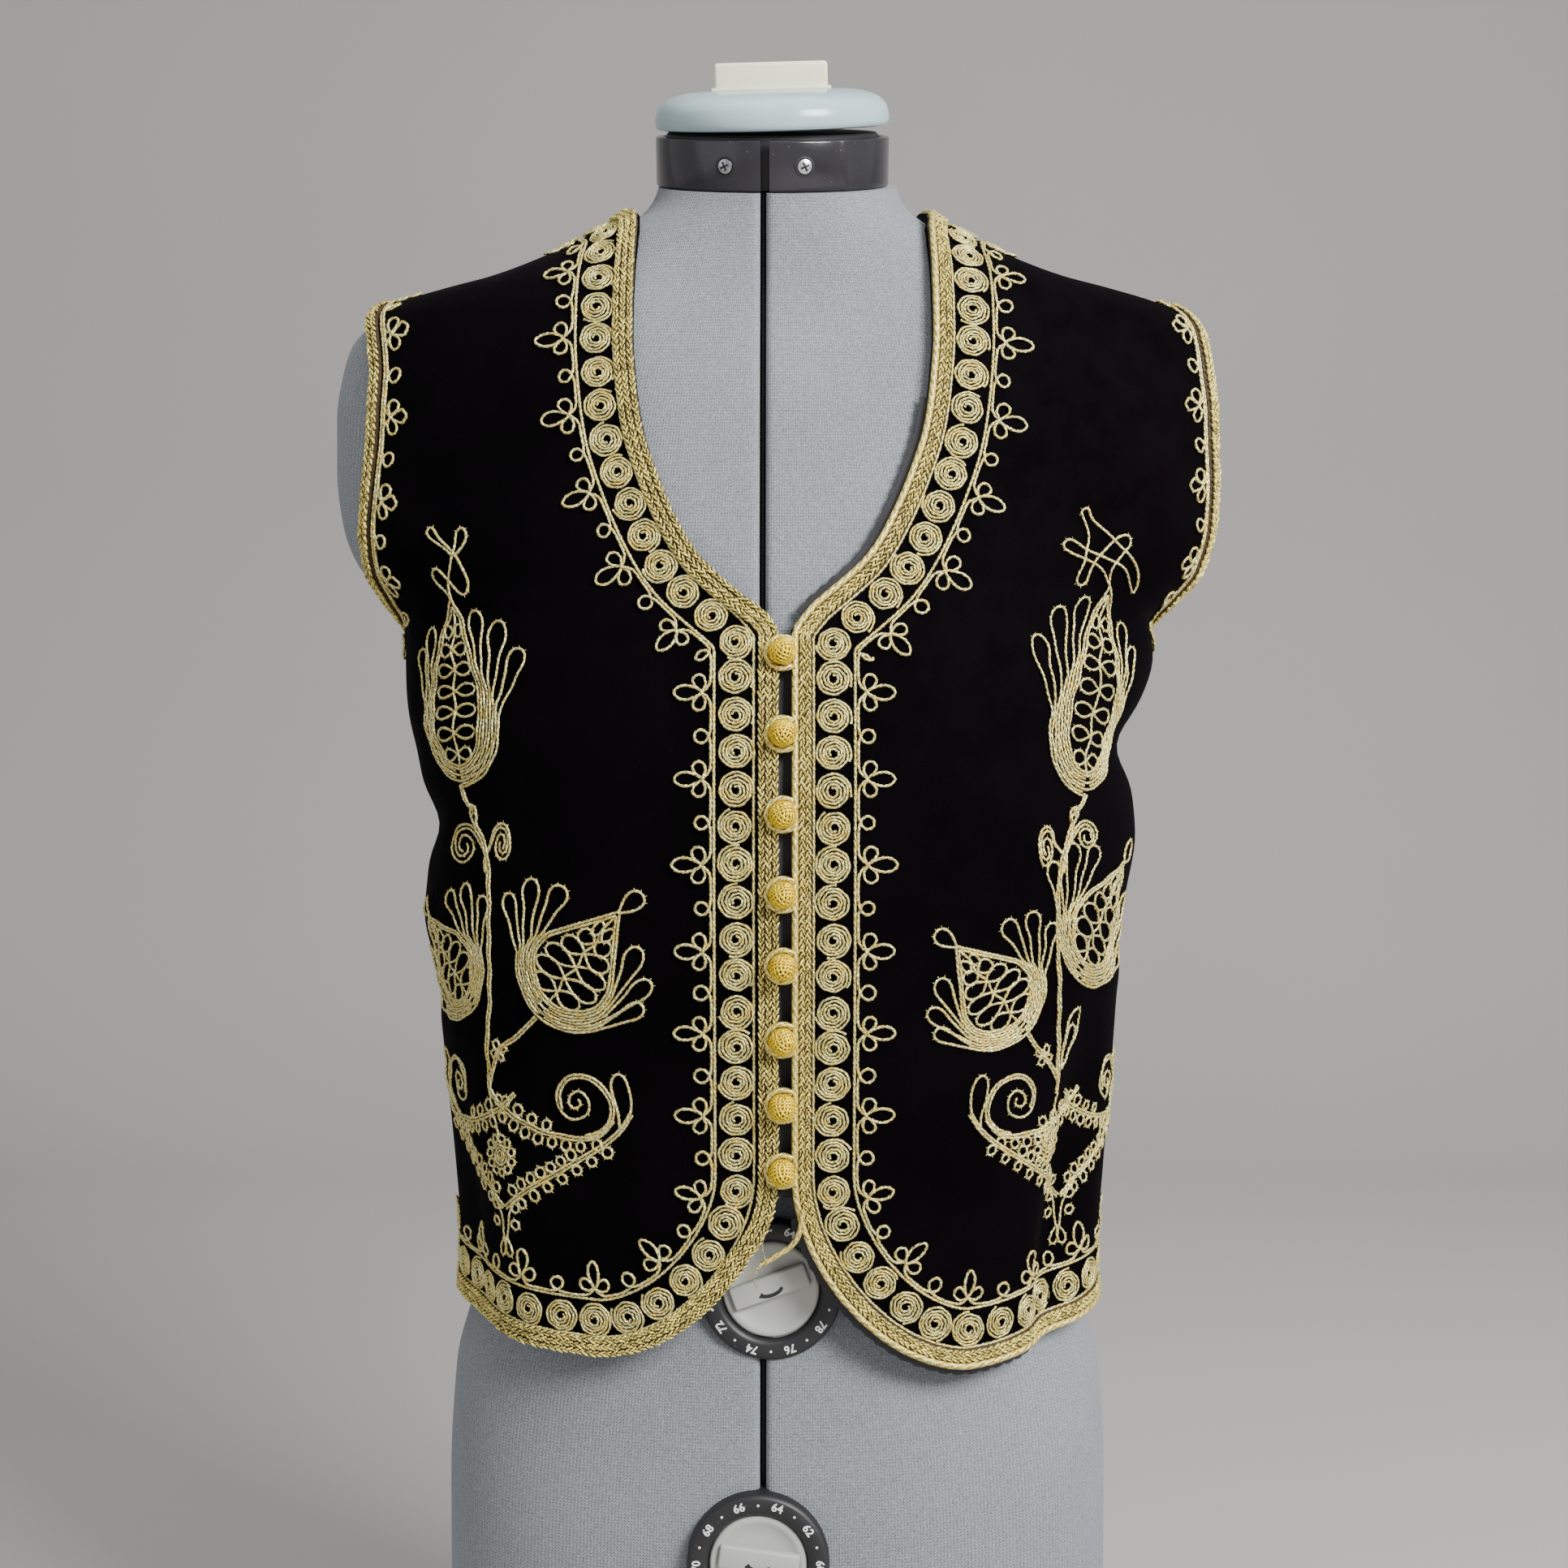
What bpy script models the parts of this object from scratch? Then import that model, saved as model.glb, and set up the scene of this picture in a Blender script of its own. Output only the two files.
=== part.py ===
"""Black velvet vest with gold braid and coiled-cord rosettes, worn by a dress form.

Metres, +Z up, the front faces -Y, the wearer's left is +X. The origin is the centre of the stand's
underside. One smooth function gives the form's surface and another the cloth's outer surface, both by
an angle (0 at the centre front, 90 degrees at the wearer's left) and a height. Panels, braids, rosette
bands and buttons are all placed on the cloth's surface.
"""

import math

import bmesh
import bpy
import numpy as np
from mathutils import Matrix, Vector
from mathutils.bvhtree import BVHTree

# Driving sizes of the cloth
WALL = 0.002
SEAM_GAP = 0.0003
CLOTH_LIFT = 0.0038
CLOTH_BLEND = 0.004
VEST_CENTRE_X = 0.0024
FRONT_GAP = 0.0070
HEM_CORNER_WIDTH = 0.074
HEM_CORNER_TOP = 0.360
HEM_FRONT_RIGHT = 0.281
HEM_FRONT_LEFT = 0.275
HEM_SIDE = 0.292
HEM_BACK = 0.286
NECK_POINT_HEIGHT = 0.784
BACK_NECK_HEIGHT = 0.768

# Trims
TRIM_GAP = 0.0007
TRIM_STEP = 0.013
LAID_REACH = 0.004
BRAID_WIDTH = 0.0086
BRAID_HEIGHT = 0.0016
ARM_BRAID_WIDTH = 0.0062
ARM_BRAID_GAP = 0.0014
ROSETTE_CENTRE = 0.0186
ROSETTE_PITCH = 0.0153
ROSETTE_RADIUS = 0.0072
ROSETTE_HEIGHT = 0.0012
ROSETTE_WAIST = 0.40
UNDERLAP_HALF_WIDTH = 0.012
UNDERLAP_THICKNESS = 0.0012
UNDERLAP_GAP = 0.0007
LINING_THICKNESS = 0.0008
LINING_SHOWS = 0.0020
LINING_GAP = 0.0009

# Ball buttons and their cord loops
BUTTON_RADIUS = 0.0053
BUTTON_STAND_OFF = 0.0063
BUTTON_HEIGHTS = (0.5800, 0.5470, 0.5147, 0.4818, 0.4524, 0.4214, 0.3934, 0.3655)
LOOP_CORD_RADIUS = 0.0011
LOOP_RADIUS = 0.0065
LOOP_STAND_OFF = 0.0034
LOOP_HALF_TURN = math.radians(115)

# Dress form
SLIT_X = -0.0060
SLIT_WIDTH = 0.0040
SLIT_DEPTH = 0.014
FORM_BOTTOM = 0.080
NECK_TILT = math.radians(17)
NECK_CENTRE_X = -0.0023
COLLAR_BASE_HEIGHT = 0.7975
COLLAR_HALF_WIDTH = 0.0532
COLLAR_HALF_DEPTH = 0.0560
COLLAR_THICKNESS = 0.0030
COLLAR_HEIGHT = 0.0215
COLLAR_SPLIT_X = -0.0030
SCREW_OFFSET = 0.0172
SCREW_RADIUS = 0.0036
SCREW_RECESS = 0.0018
CAP_GAP = 0.0022
CAP_HEIGHT = 0.0165
CAP_ROLL = math.radians(-1.5)
HANDLE_SIZE = (0.0510, 0.0100, 0.0115)
DIAL_RADIUS = 0.0305
DIAL_HUB_RADIUS = 0.0208
DIAL_DEPTH = 0.016
DIAL_PROUD = 0.0050
POLE_RADIUS = 0.016
PLINTH_RADIUS = 0.155
PLINTH_HEIGHT = 0.018
MESH_GAP = 0.0003

# Sections of the dress form: height, half width, front depth, back depth, centre y, power
FORM_SECTIONS = (
    (0.080, 0.142, 0.086, 0.104, 0.000, 2.3),
    (0.088, 0.149, 0.092, 0.111, 0.000, 2.3),
    (0.110, 0.153, 0.095, 0.115, 0.000, 2.3),
    (0.200, 0.153, 0.093, 0.112, 0.000, 2.3),
    (0.254, 0.150, 0.089, 0.102, 0.000, 2.3),
    (0.285, 0.142, 0.085, 0.092, 0.000, 2.3),
    (0.308, 0.136, 0.083, 0.086, 0.000, 2.2),
    (0.335, 0.131, 0.082, 0.080, 0.000, 2.2),
    (0.380, 0.131, 0.086, 0.081, 0.000, 2.2),
    (0.440, 0.137, 0.096, 0.087, 0.000, 2.2),
    (0.500, 0.144, 0.104, 0.092, 0.000, 2.3),
    (0.540, 0.148, 0.106, 0.094, 0.000, 2.3),
    (0.575, 0.153, 0.103, 0.094, 0.000, 2.3),
    (0.592, 0.160, 0.100, 0.093, 0.000, 2.2),
    (0.602, 0.170, 0.098, 0.093, 0.000, 2.2),
    (0.612, 0.183, 0.096, 0.092, 0.000, 2.1),
    (0.622, 0.193, 0.094, 0.091, 0.000, 2.1),
    (0.640, 0.200, 0.090, 0.090, 0.000, 2.1),
    (0.665, 0.203, 0.084, 0.087, 0.000, 2.1),
    (0.690, 0.203, 0.078, 0.083, 0.000, 2.1),
    (0.710, 0.200, 0.072, 0.078, 0.000, 2.1),
    (0.722, 0.196, 0.068, 0.074, 0.000, 2.1),
    (0.731, 0.188, 0.065, 0.070, 0.000, 2.1),
    (0.737, 0.178, 0.063, 0.067, 0.000, 2.0),
    (0.743, 0.158, 0.061, 0.064, 0.000, 2.0),
    (0.748, 0.138, 0.060, 0.062, 0.000, 2.0),
    (0.757, 0.112, 0.058, 0.060, 0.000, 2.0),
    (0.766, 0.091, 0.057, 0.058, 0.000, 2.0),
    (0.774, 0.074, 0.056, 0.057, 0.000, 2.0),
    (0.781, 0.0625, 0.055, 0.056, -0.001, 2.0),
    (0.790, 0.0560, 0.054, 0.055, -0.002, 2.0),
    (0.800, 0.0535, 0.053, 0.055, -0.003, 2.0),
    (0.830, 0.0520, 0.053, 0.054, -0.004, 2.0),
)

# Where the cloth hangs free of the form: height, half width, front depth, back depth, power
DRAPE_SECTIONS = (
    (0.260, 0.1440, 0.0985, 0.1040, 2.5),
    (0.300, 0.1455, 0.1000, 0.1010, 2.5),
    (0.350, 0.1490, 0.1040, 0.0980, 2.5),
    (0.400, 0.1535, 0.1080, 0.0970, 2.5),
    (0.440, 0.1565, 0.1120, 0.0970, 2.5),
    (0.480, 0.1595, 0.1150, 0.0980, 2.5),
    (0.520, 0.1625, 0.1155, 0.0990, 2.4),
    (0.560, 0.1665, 0.1110, 0.0990, 2.4),
    (0.590, 0.1700, 0.1040, 0.0960, 2.3),
    (0.620, 0.1500, 0.0900, 0.0860, 2.2),
    (0.660, 0.1200, 0.0700, 0.0700, 2.2),
    (0.790, 0.0300, 0.0200, 0.0200, 2.2),
)

# Bust fullness of the form: angle, height, rise, half angle, half height
BUST = (math.radians(40), 0.520, 0.0130, math.radians(17), 0.040)

# Folds of the cloth: angle in degrees, height, depth (negative is a trough), half angle, half height,
# and how many degrees the fold moves round the body for each metre of height
FOLDS = (
    (-86, 0.506, -0.0075, 20, 0.013, 0),
    (-82, 0.462, 0.0035, 24, 0.016, 0),
    (-88, 0.560, 0.0030, 22, 0.018, 0),
    (88, 0.541, -0.0110, 22, 0.014, 0),
    (84, 0.497, 0.0030, 24, 0.018, 0),
    (90, 0.578, 0.0030, 20, 0.014, 0),
    (62, 0.330, -0.0085, 5, 0.085, 25),
    (76, 0.330, 0.0020, 7, 0.075, 25),
    (-70, 0.320, -0.0045, 7, 0.080, -20),
    (-52, 0.300, 0.0030, 8, 0.070, -10),
    (44, 0.300, 0.0030, 8, 0.060, 10),
    (118, 0.330, -0.0050, 8, 0.090, 15),
    (-118, 0.345, -0.0055, 8, 0.095, -15),
    (146, 0.310, 0.0045, 10, 0.080, 0),
    (-150, 0.320, 0.0045, 10, 0.080, 0),
    (178, 0.330, -0.0045, 9, 0.100, 5),
    (125, 0.520, -0.0035, 16, 0.016, -60),
    (-128, 0.500, -0.0035, 16, 0.016, 60),
)

# Neckline of one front: distance from the vest's centre line, height
NECKLINE = (
    (0.0035, 0.590),
    (0.0110, 0.6000),
    (0.0220, 0.6095),
    (0.0350, 0.6220),
    (0.0455, 0.6400),
    (0.0535, 0.6590),
    (0.0590, 0.6760),
    (0.0620, 0.6950),
    (0.0640, 0.7200),
    (0.0640, 0.7450),
    (0.0635, 0.7600),
    (0.0630, 0.7700),
    (0.0635, 0.7760),
)

# Armhole edge of front and back: distance in front of the side line, height
ARMHOLE = (
    (0.0000, 0.5980),
    (0.0200, 0.6015),
    (0.0330, 0.6110),
    (0.0420, 0.6310),
    (0.0450, 0.6600),
    (0.0420, 0.6950),
    (0.0330, 0.7200),
    (0.0180, 0.7350),
    (0.0000, 0.7400),
)

# How deep the armhole is in front and behind, as shares of the table, on each side of the wearer
ARMHOLE_SHARES = {-1: (1.0, 1.0), 1: (0.66, 1.2)}

# Tidy colours of the finishes: red, green, blue, roughness, metallic
FINISHES = {
    "velvet": (0.004, 0.003, 0.005, 0.95, 0.0),
    "lining": (0.006, 0.006, 0.010, 0.35, 0.0),
    "gold_braid": (0.62, 0.45, 0.16, 0.45, 0.3),
    "gold_cord": (0.74, 0.66, 0.38, 0.50, 0.2),
    "button_thread": (0.85, 0.64, 0.12, 0.50, 0.1),
    "form_jersey": (0.33, 0.36, 0.39, 0.90, 0.0),
    "form_frame": (0.02, 0.02, 0.022, 0.60, 0.0),
    "collar_plastic": (0.06, 0.06, 0.07, 0.35, 0.0),
    "cap_plastic": (0.50, 0.60, 0.62, 0.25, 0.0),
    "ivory_plastic": (0.78, 0.78, 0.64, 0.40, 0.0),
    "dial_ring": (0.02, 0.022, 0.026, 0.30, 0.0),
    "dial_hub": (0.52, 0.53, 0.48, 0.40, 0.0),
    "steel": (0.60, 0.62, 0.64, 0.30, 1.0),
    "stand_metal": (0.10, 0.10, 0.11, 0.40, 0.6),
}


def clear_scene():
    """Remove what the startup file holds."""
    for obj in list(bpy.data.objects):
        bpy.data.objects.remove(obj, do_unlink=True)


def collection(name):
    """A new collection in the scene."""
    made = bpy.data.collections.new(name)
    bpy.context.scene.collection.children.link(made)
    return made


def material(name):
    """The material of one finish, made once."""
    found = bpy.data.materials.get(name)
    if found:
        return found
    red, green, blue, roughness, metallic = FINISHES[name]
    made = bpy.data.materials.new(name)
    made.use_nodes = True
    shader = made.node_tree.nodes["Principled BSDF"]
    shader.inputs["Base Color"].default_value = (red, green, blue, 1)
    shader.inputs["Roughness"].default_value = roughness
    shader.inputs["Metallic"].default_value = metallic
    return made


# Curves through short tables


def slopes(knots, values):
    """Slopes of a curve through the knots that never overshoots them."""
    step = np.diff(knots)[:, None]
    rise = np.diff(values, axis=0) / step
    inner = np.zeros_like(values)
    same = rise[:-1] * rise[1:] > 0
    weight_a = 2 * step[1:] + step[:-1]
    weight_b = step[1:] + 2 * step[:-1]
    with np.errstate(divide="ignore", invalid="ignore"):
        mean = (weight_a + weight_b) / (weight_a / rise[:-1] + weight_b / rise[1:])
    inner[1:-1] = np.where(same, mean, 0.0)
    inner[0] = rise[0]
    inner[-1] = rise[-1]
    return inner


def table_curve(table, at):
    """The other columns of a table, read smoothly at values of its first column."""
    table = np.array(table, float)
    knots = table[:, 0]
    values = table[:, 1:]
    tangent = slopes(knots, values)
    at = np.clip(np.asarray(at, float), knots[0], knots[-1])
    row = np.clip(np.searchsorted(knots, at, side="right") - 1, 0, len(knots) - 2)
    width = (knots[row + 1] - knots[row])[..., None]
    t = ((at - knots[row]) / width[..., 0])[..., None]
    return (
        values[row] * (2 * t**3 - 3 * t**2 + 1)
        + tangent[row] * width * (t**3 - 2 * t**2 + t)
        + values[row + 1] * (3 * t**2 - 2 * t**3)
        + tangent[row + 1] * width * (t**3 - t**2)
    )


# The two smooth surfaces


def oval_radius(angle, half_width, front, back, power):
    """Distance from the axis to an oval that is flatter than an ellipse where the power is over 2."""
    depth = np.where(np.cos(angle) > 0, front, back)
    across = np.abs(np.sin(angle) / half_width) ** power
    along = np.abs(np.cos(angle) / depth) ** power
    return (across + along) ** (-1 / power)


def form_radius(angle, height, grow=0.0):
    """The form's radius at an angle and a height, with its bust, grown on all sides by grow."""
    columns = np.moveaxis(table_curve(FORM_SECTIONS, height), -1, 0)
    half_width, front, back, _, power = columns
    radius = oval_radius(angle, half_width + grow, front + grow, back + grow, power)
    bust_angle, bust_height, rise, half_angle, half_height = BUST
    from_bust = (np.abs(angle) - bust_angle) / half_angle
    up = (height - bust_height) / half_height
    return radius + rise * np.exp(-(from_bust**2) - up**2)


def form_centre(height):
    """How far back the form's axis lies at a height."""
    return table_curve(FORM_SECTIONS, height)[..., 3]


def fold_relief(angle, height):
    """How far the folds move the cloth out at an angle and a height."""
    relief = np.zeros(np.broadcast(angle, height).shape)
    for at, level, depth, half_angle, half_height, lean in FOLDS:
        centre = np.radians(at + lean * (height - level))
        turned = (angle - centre + np.pi) % (2 * np.pi) - np.pi
        round_it = turned / math.radians(half_angle)
        up = (height - level) / half_height
        relief += depth * np.exp(-(round_it**2) - up**2)
    return relief


def cloth_radius(angle, height):
    """The cloth's outer radius: it lies on the form, or hangs free where it is wider."""
    turned = (angle + np.pi) % (2 * np.pi) - np.pi
    tilts = np.radians((-90, -45, 0, 45, 90))
    lying = np.max(
        [form_radius(turned, height + CLOTH_LIFT * math.sin(t), CLOTH_LIFT * math.cos(t)) for t in tilts],
        axis=0,
    )
    columns = np.moveaxis(table_curve(DRAPE_SECTIONS, height), -1, 0)
    hanging = oval_radius(turned, *columns) + fold_relief(turned, height)
    apart = lying - hanging
    return (lying + hanging + np.sqrt(apart**2 + CLOTH_BLEND**2)) / 2


def surface_point(radius, angle, height):
    """Points at radii, angles and heights round the form's axis."""
    angle, height = np.broadcast_arrays(angle, height)
    return np.stack(
        (
            radius * np.sin(angle),
            form_centre(height) - radius * np.cos(angle),
            height.astype(float),
        ),
        axis=-1,
    )


def cloth_point(angle, height):
    """Points of the cloth's outer surface."""
    angle = np.asarray(angle, float)
    height = np.asarray(height, float)
    return surface_point(cloth_radius(angle, height), angle, height)


def cloth_tangents(angle, height):
    """How the cloth's surface moves with the angle and with the height, and its outward normal."""
    small = 1e-4
    by_angle = cloth_point(angle + small, height) - cloth_point(angle - small, height)
    by_height = cloth_point(angle, height + small) - cloth_point(angle, height - small)
    by_angle /= 2 * small
    by_height /= 2 * small
    normal = np.cross(by_angle, by_height)
    normal /= np.linalg.norm(normal, axis=-1, keepdims=True)
    return by_angle, by_height, normal


def moved(angle, height, direction, distance):
    """Where a walk over the cloth ends, from angles and heights along directions in space."""
    steps = max(1, math.ceil(abs(distance) / 0.003))
    for _ in range(steps):
        by_angle, by_height, _ = cloth_tangents(angle, height)
        a = (by_angle * by_angle).sum(-1)
        b = (by_angle * by_height).sum(-1)
        c = (by_height * by_height).sum(-1)
        p = (by_angle * direction).sum(-1)
        q = (by_height * direction).sum(-1)
        across = (c * p - b * q) / (a * c - b * b)
        up = (a * q - b * p) / (a * c - b * b)
        length = np.linalg.norm(by_angle * across[..., None] + by_height * up[..., None], axis=-1)
        angle = angle + across / length * distance / steps
        height = height + up / length * distance / steps
    return angle, height


def angle_at(x, height):
    """The angle, from 0 to a right angle, at which the cloth is x from the middle plane."""
    tried = np.linspace(0, math.pi / 2, 241)
    reach = cloth_point(tried, np.full_like(tried, height))[:, 0]
    widest = int(np.argmax(reach))
    return float(np.interp(x, reach[: widest + 1], tried[: widest + 1]))


# Outlines of the panels, as rows of angle and height on the wearer's left


def resampled(points, count):
    """A line of angles and heights, made evenly spaced over the cloth."""
    points = np.array(points, float)
    fine = np.linspace(0, len(points) - 1, 40 * len(points))
    dense = np.stack([np.interp(fine, np.arange(len(points)), column) for column in points.T], axis=-1)
    placed = cloth_point(dense[:, 0], dense[:, 1])
    run = np.concatenate([[0], np.cumsum(np.linalg.norm(np.diff(placed, axis=0), axis=1))])
    wanted = np.linspace(0, run[-1], count)
    return np.stack([np.interp(wanted, run, column) for column in dense.T], axis=-1)


def rounded(table, count):
    """A smooth line through a short table of points, by the length of its chords."""
    table = np.array(table, float)
    chords = np.concatenate([[0], np.cumsum(np.linalg.norm(np.diff(table, axis=0), axis=1))])
    return table_curve(np.column_stack([chords, table]), np.linspace(0, chords[-1], count))


def hem_height(angle, side):
    """Height of the hem at an angle from 0 to 180 degrees, on one side of the vest."""
    front = HEM_FRONT_LEFT if side > 0 else HEM_FRONT_RIGHT
    share = np.sin(np.clip(angle, 0, math.pi)) ** 6
    ends = np.where(np.cos(angle) > 0, front, HEM_BACK)
    return ends + (HEM_SIDE - ends) * share


def front_edge(side):
    """The front's free edge: round the hem's corner, up the closure and along the neckline."""
    shift = side * VEST_CENTRE_X
    half_gap = FRONT_GAP / 2
    start = angle_at(shift + half_gap + HEM_CORNER_WIDTH, 0.285)
    base = float(hem_height(start, side))
    turn = np.linspace(0, math.pi / 2, 12)
    corner = []
    for t in turn:
        x = shift + half_gap + HEM_CORNER_WIDTH * (1 - math.sin(t) ** 1.15)
        z = HEM_CORNER_TOP - (HEM_CORNER_TOP - base) * math.cos(t) ** 1.15
        corner.append((angle_at(x, z), z))
    closure = [(angle_at(shift + half_gap, z), z) for z in np.linspace(HEM_CORNER_TOP, NECKLINE[0][1], 12)]
    neck = [(angle_at(shift + x, z), z) for x, z in rounded(NECKLINE, 30)]
    top = [(math.pi / 2, NECK_POINT_HEIGHT)]
    return corner, closure, neck, top


def angle_in_front(depth, height):
    """The angle, from 0 to a right angle, at which the cloth is this far in front of the side line."""
    tried = np.linspace(math.pi / 2, 0.2, 241)
    ahead = cloth_radius(tried, np.full_like(tried, height)) * np.cos(tried)
    return float(np.interp(depth, ahead, tried))


def arm_edge(side, part):
    """The armhole's edge from the side seam to the shoulder's tip, on the front or, mirrored, the back.

    part is 0 for the front and 1 for the back.
    """
    scale = ARMHOLE_SHARES[side][part]
    return [(angle_in_front(scale * depth, z), z) for depth, z in rounded(ARMHOLE, 24)]


def panel_rows(inner, outer, bottom, columns):
    """Angles and heights of a panel between its inner and its outer edge, row by row.

    bottom gives the hem's height at an angle.
    """
    across = np.linspace(0, 1, columns)
    rows = inner[:, None, :] * (1 - across)[None, :, None] + outer[:, None, :] * across[None, :, None]
    up = np.linspace(0, 1, len(inner))[:, None]
    rows[..., 1] += (1 - up) ** 6 * (bottom(rows[0, :, 0]) - rows[0, :, 1])
    return rows


# Meshes


def link(mesh, name, finish, where):
    """An object of a mesh, in a collection, with its finish."""
    obj = bpy.data.objects.new(name, mesh)
    mesh.materials.append(material(finish))
    where.objects.link(obj)
    return obj


def swept_mesh(name, rings, closed=False):
    """A solid through rings of the same number of points, with flat ends unless it closes on itself."""
    count, around = rings.shape[:2]
    index = np.arange(count * around).reshape(count, around)
    ahead = np.roll(index, -1, axis=0) if closed else index[1:]
    here = index if closed else index[:-1]
    sides = np.stack([here, np.roll(here, -1, axis=1), np.roll(ahead, -1, axis=1), ahead], axis=-1)
    faces = sides.reshape(-1, 4).tolist()
    if not closed:
        faces += [index[0, ::-1].tolist(), index[-1].tolist()]
    mesh = bpy.data.meshes.new(name)
    mesh.from_pydata(rings.reshape(-1, 3).tolist(), [], faces)
    work = bmesh.new()
    work.from_mesh(mesh)
    bmesh.ops.recalc_face_normals(work, faces=work.faces)
    work.to_mesh(mesh)
    work.free()
    return mesh


def panel_layers(rows, side, seam_side):
    """Outer and inner points of a panel's rows; seam_side is -1 in front of the side seams, 1 behind."""
    angle = side * rows[..., 0]
    outer = cloth_point(angle, rows[..., 1])
    inner = outer - cloth_tangents(angle, rows[..., 1])[2] * WALL
    for layer in (outer, inner):
        for edge in (layer[:, -1], layer[-1]):
            edge[:, 1] = seam_side * np.maximum(seam_side * edge[:, 1], SEAM_GAP / 2)
    return outer, inner


def sheet_solid(name, layers, where):
    """A velvet panel from one or more pairs of outer and inner grids, joined where they meet."""
    work = bmesh.new()
    for outer, inner in layers:
        rows, columns = outer.shape[:2]
        verts = [work.verts.new(point) for point in outer.reshape(-1, 3)]
        verts += [work.verts.new(point) for point in inner.reshape(-1, 3)]
        index = np.arange(2 * rows * columns).reshape(2, rows, columns)
        for layer in index:
            quads = np.stack([layer[:-1, :-1], layer[:-1, 1:], layer[1:, 1:], layer[1:, :-1]], axis=-1)
            for quad in quads.reshape(-1, 4):
                work.faces.new([verts[i] for i in quad])
        rim = np.concatenate([index[0, 0], index[0, 1:, -1], index[0, -1, -2::-1], index[0, -2:0:-1, 0]])
        depth = rows * columns
        for here, ahead in zip(rim, np.roll(rim, -1)):
            corners = (here, ahead, ahead + depth, here + depth)
            joined = max(abs(verts[here].co.x), abs(verts[ahead].co.x)) < 0.00001
            if not joined:
                work.faces.new([verts[i] for i in corners])
    bmesh.ops.remove_doubles(work, verts=work.verts, dist=0.00001)
    bmesh.ops.recalc_face_normals(work, faces=work.faces)
    mesh = bpy.data.meshes.new(name)
    work.to_mesh(mesh)
    work.free()
    return link(mesh, name, "velvet", where)


def surface_tree(panels):
    """A search tree over the faces of the panels, for what is laid on them."""
    verts = []
    faces = []
    for panel in panels:
        start = len(verts)
        verts += [vert.co.copy() for vert in panel.data.vertices]
        faces += [[start + i for i in face.vertices] for face in panel.data.polygons]
    return BVHTree.FromPolygons(verts, faces)


def laid(tree, places, normals):
    """Places of the smooth surface, moved out where a face of the panels stands above it."""
    found = []
    for place, normal in zip(places, normals):
        place = Vector(place)
        normal = Vector(normal)
        hit = tree.ray_cast(place + normal * LAID_REACH, -normal, LAID_REACH)[0]
        found.append(hit or place)
    return np.array(found)


# The vest's cloth


def front_panel(side, name, where):
    """One front of the vest; side is 1 for the wearer's left and -1 for the right."""
    corner, closure, neck, top = front_edge(side)
    inner = np.concatenate(
        [resampled(corner, 7)[:-1], resampled(closure, 9)[:-1], resampled(neck + top, 12)]
    )
    side_seam = [(math.pi / 2, HEM_SIDE), (math.pi / 2, ARMHOLE[0][1])]
    outer = np.concatenate([resampled(side_seam, 13)[:-1], resampled(arm_edge(side, 0), 14)])
    rows = panel_rows(inner, outer, lambda angle: hem_height(angle, side), 11)
    return sheet_solid(name, [panel_layers(rows, side, -1)], where)


def back_panel(name, where):
    """The back in one piece: two halves that share the points of the centre line."""
    centre = [(math.pi, HEM_BACK), (math.pi, BACK_NECK_HEIGHT)]
    rise = NECK_POINT_HEIGHT - BACK_NECK_HEIGHT
    turn = np.linspace(0, math.pi / 2, 12)
    neck = [(math.pi - t, BACK_NECK_HEIGHT + rise * math.sin(t) ** 2) for t in turn]
    inner = np.concatenate([resampled(centre, 20)[:-1], resampled(neck, 7)])
    side_seam = [(math.pi / 2, HEM_SIDE), (math.pi / 2, ARMHOLE[0][1])]
    layers = []
    for side in (1, -1):
        arm = [(math.pi - angle, height) for angle, height in arm_edge(side, 1)]
        outer = np.concatenate([resampled(side_seam, 13)[:-1], resampled(arm, 14)])
        rows = panel_rows(inner, outer, lambda angle: hem_height(angle, 1), 9)
        layers.append(panel_layers(rows, side, 1))
    return sheet_solid(name, layers, where)


# Trims that follow an edge


def whole_edge(side):
    """The vest's edge from the middle of the back hem, round the front, to the middle of the back neck."""
    corner, closure, neck, top = front_edge(side)
    start = corner[0][0]
    back_hem = [(a, float(hem_height(a, side))) for a in np.linspace(math.pi, start, 40)]
    turn = np.linspace(0, math.pi / 2, 14)
    rise = NECK_POINT_HEIGHT - BACK_NECK_HEIGHT
    back_neck = [(math.pi / 2 + t, BACK_NECK_HEIGHT + rise * math.cos(t) ** 2) for t in turn]
    return back_hem[:-1] + corner[:-1] + closure[:-1] + neck + top + back_neck[1:]


def whole_armhole(side):
    """The armhole's edge, all round: up the front and down the back."""
    back = [(math.pi - angle, height) for angle, height in arm_edge(side, 1)[::-1]]
    return arm_edge(side, 0) + back[1:]


def smoothed(vectors, window, closed):
    """Directions averaged with their neighbours along a line, as unit vectors."""
    mode = "wrap" if closed else "edge"
    padded = np.pad(vectors, ((window, window), (0, 0)), mode=mode)
    kernel = np.hanning(2 * window + 3)[1:-1]
    soft = np.stack([np.convolve(column, kernel, "valid") for column in padded.T], axis=-1)
    return soft / np.linalg.norm(soft, axis=1, keepdims=True)


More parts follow.
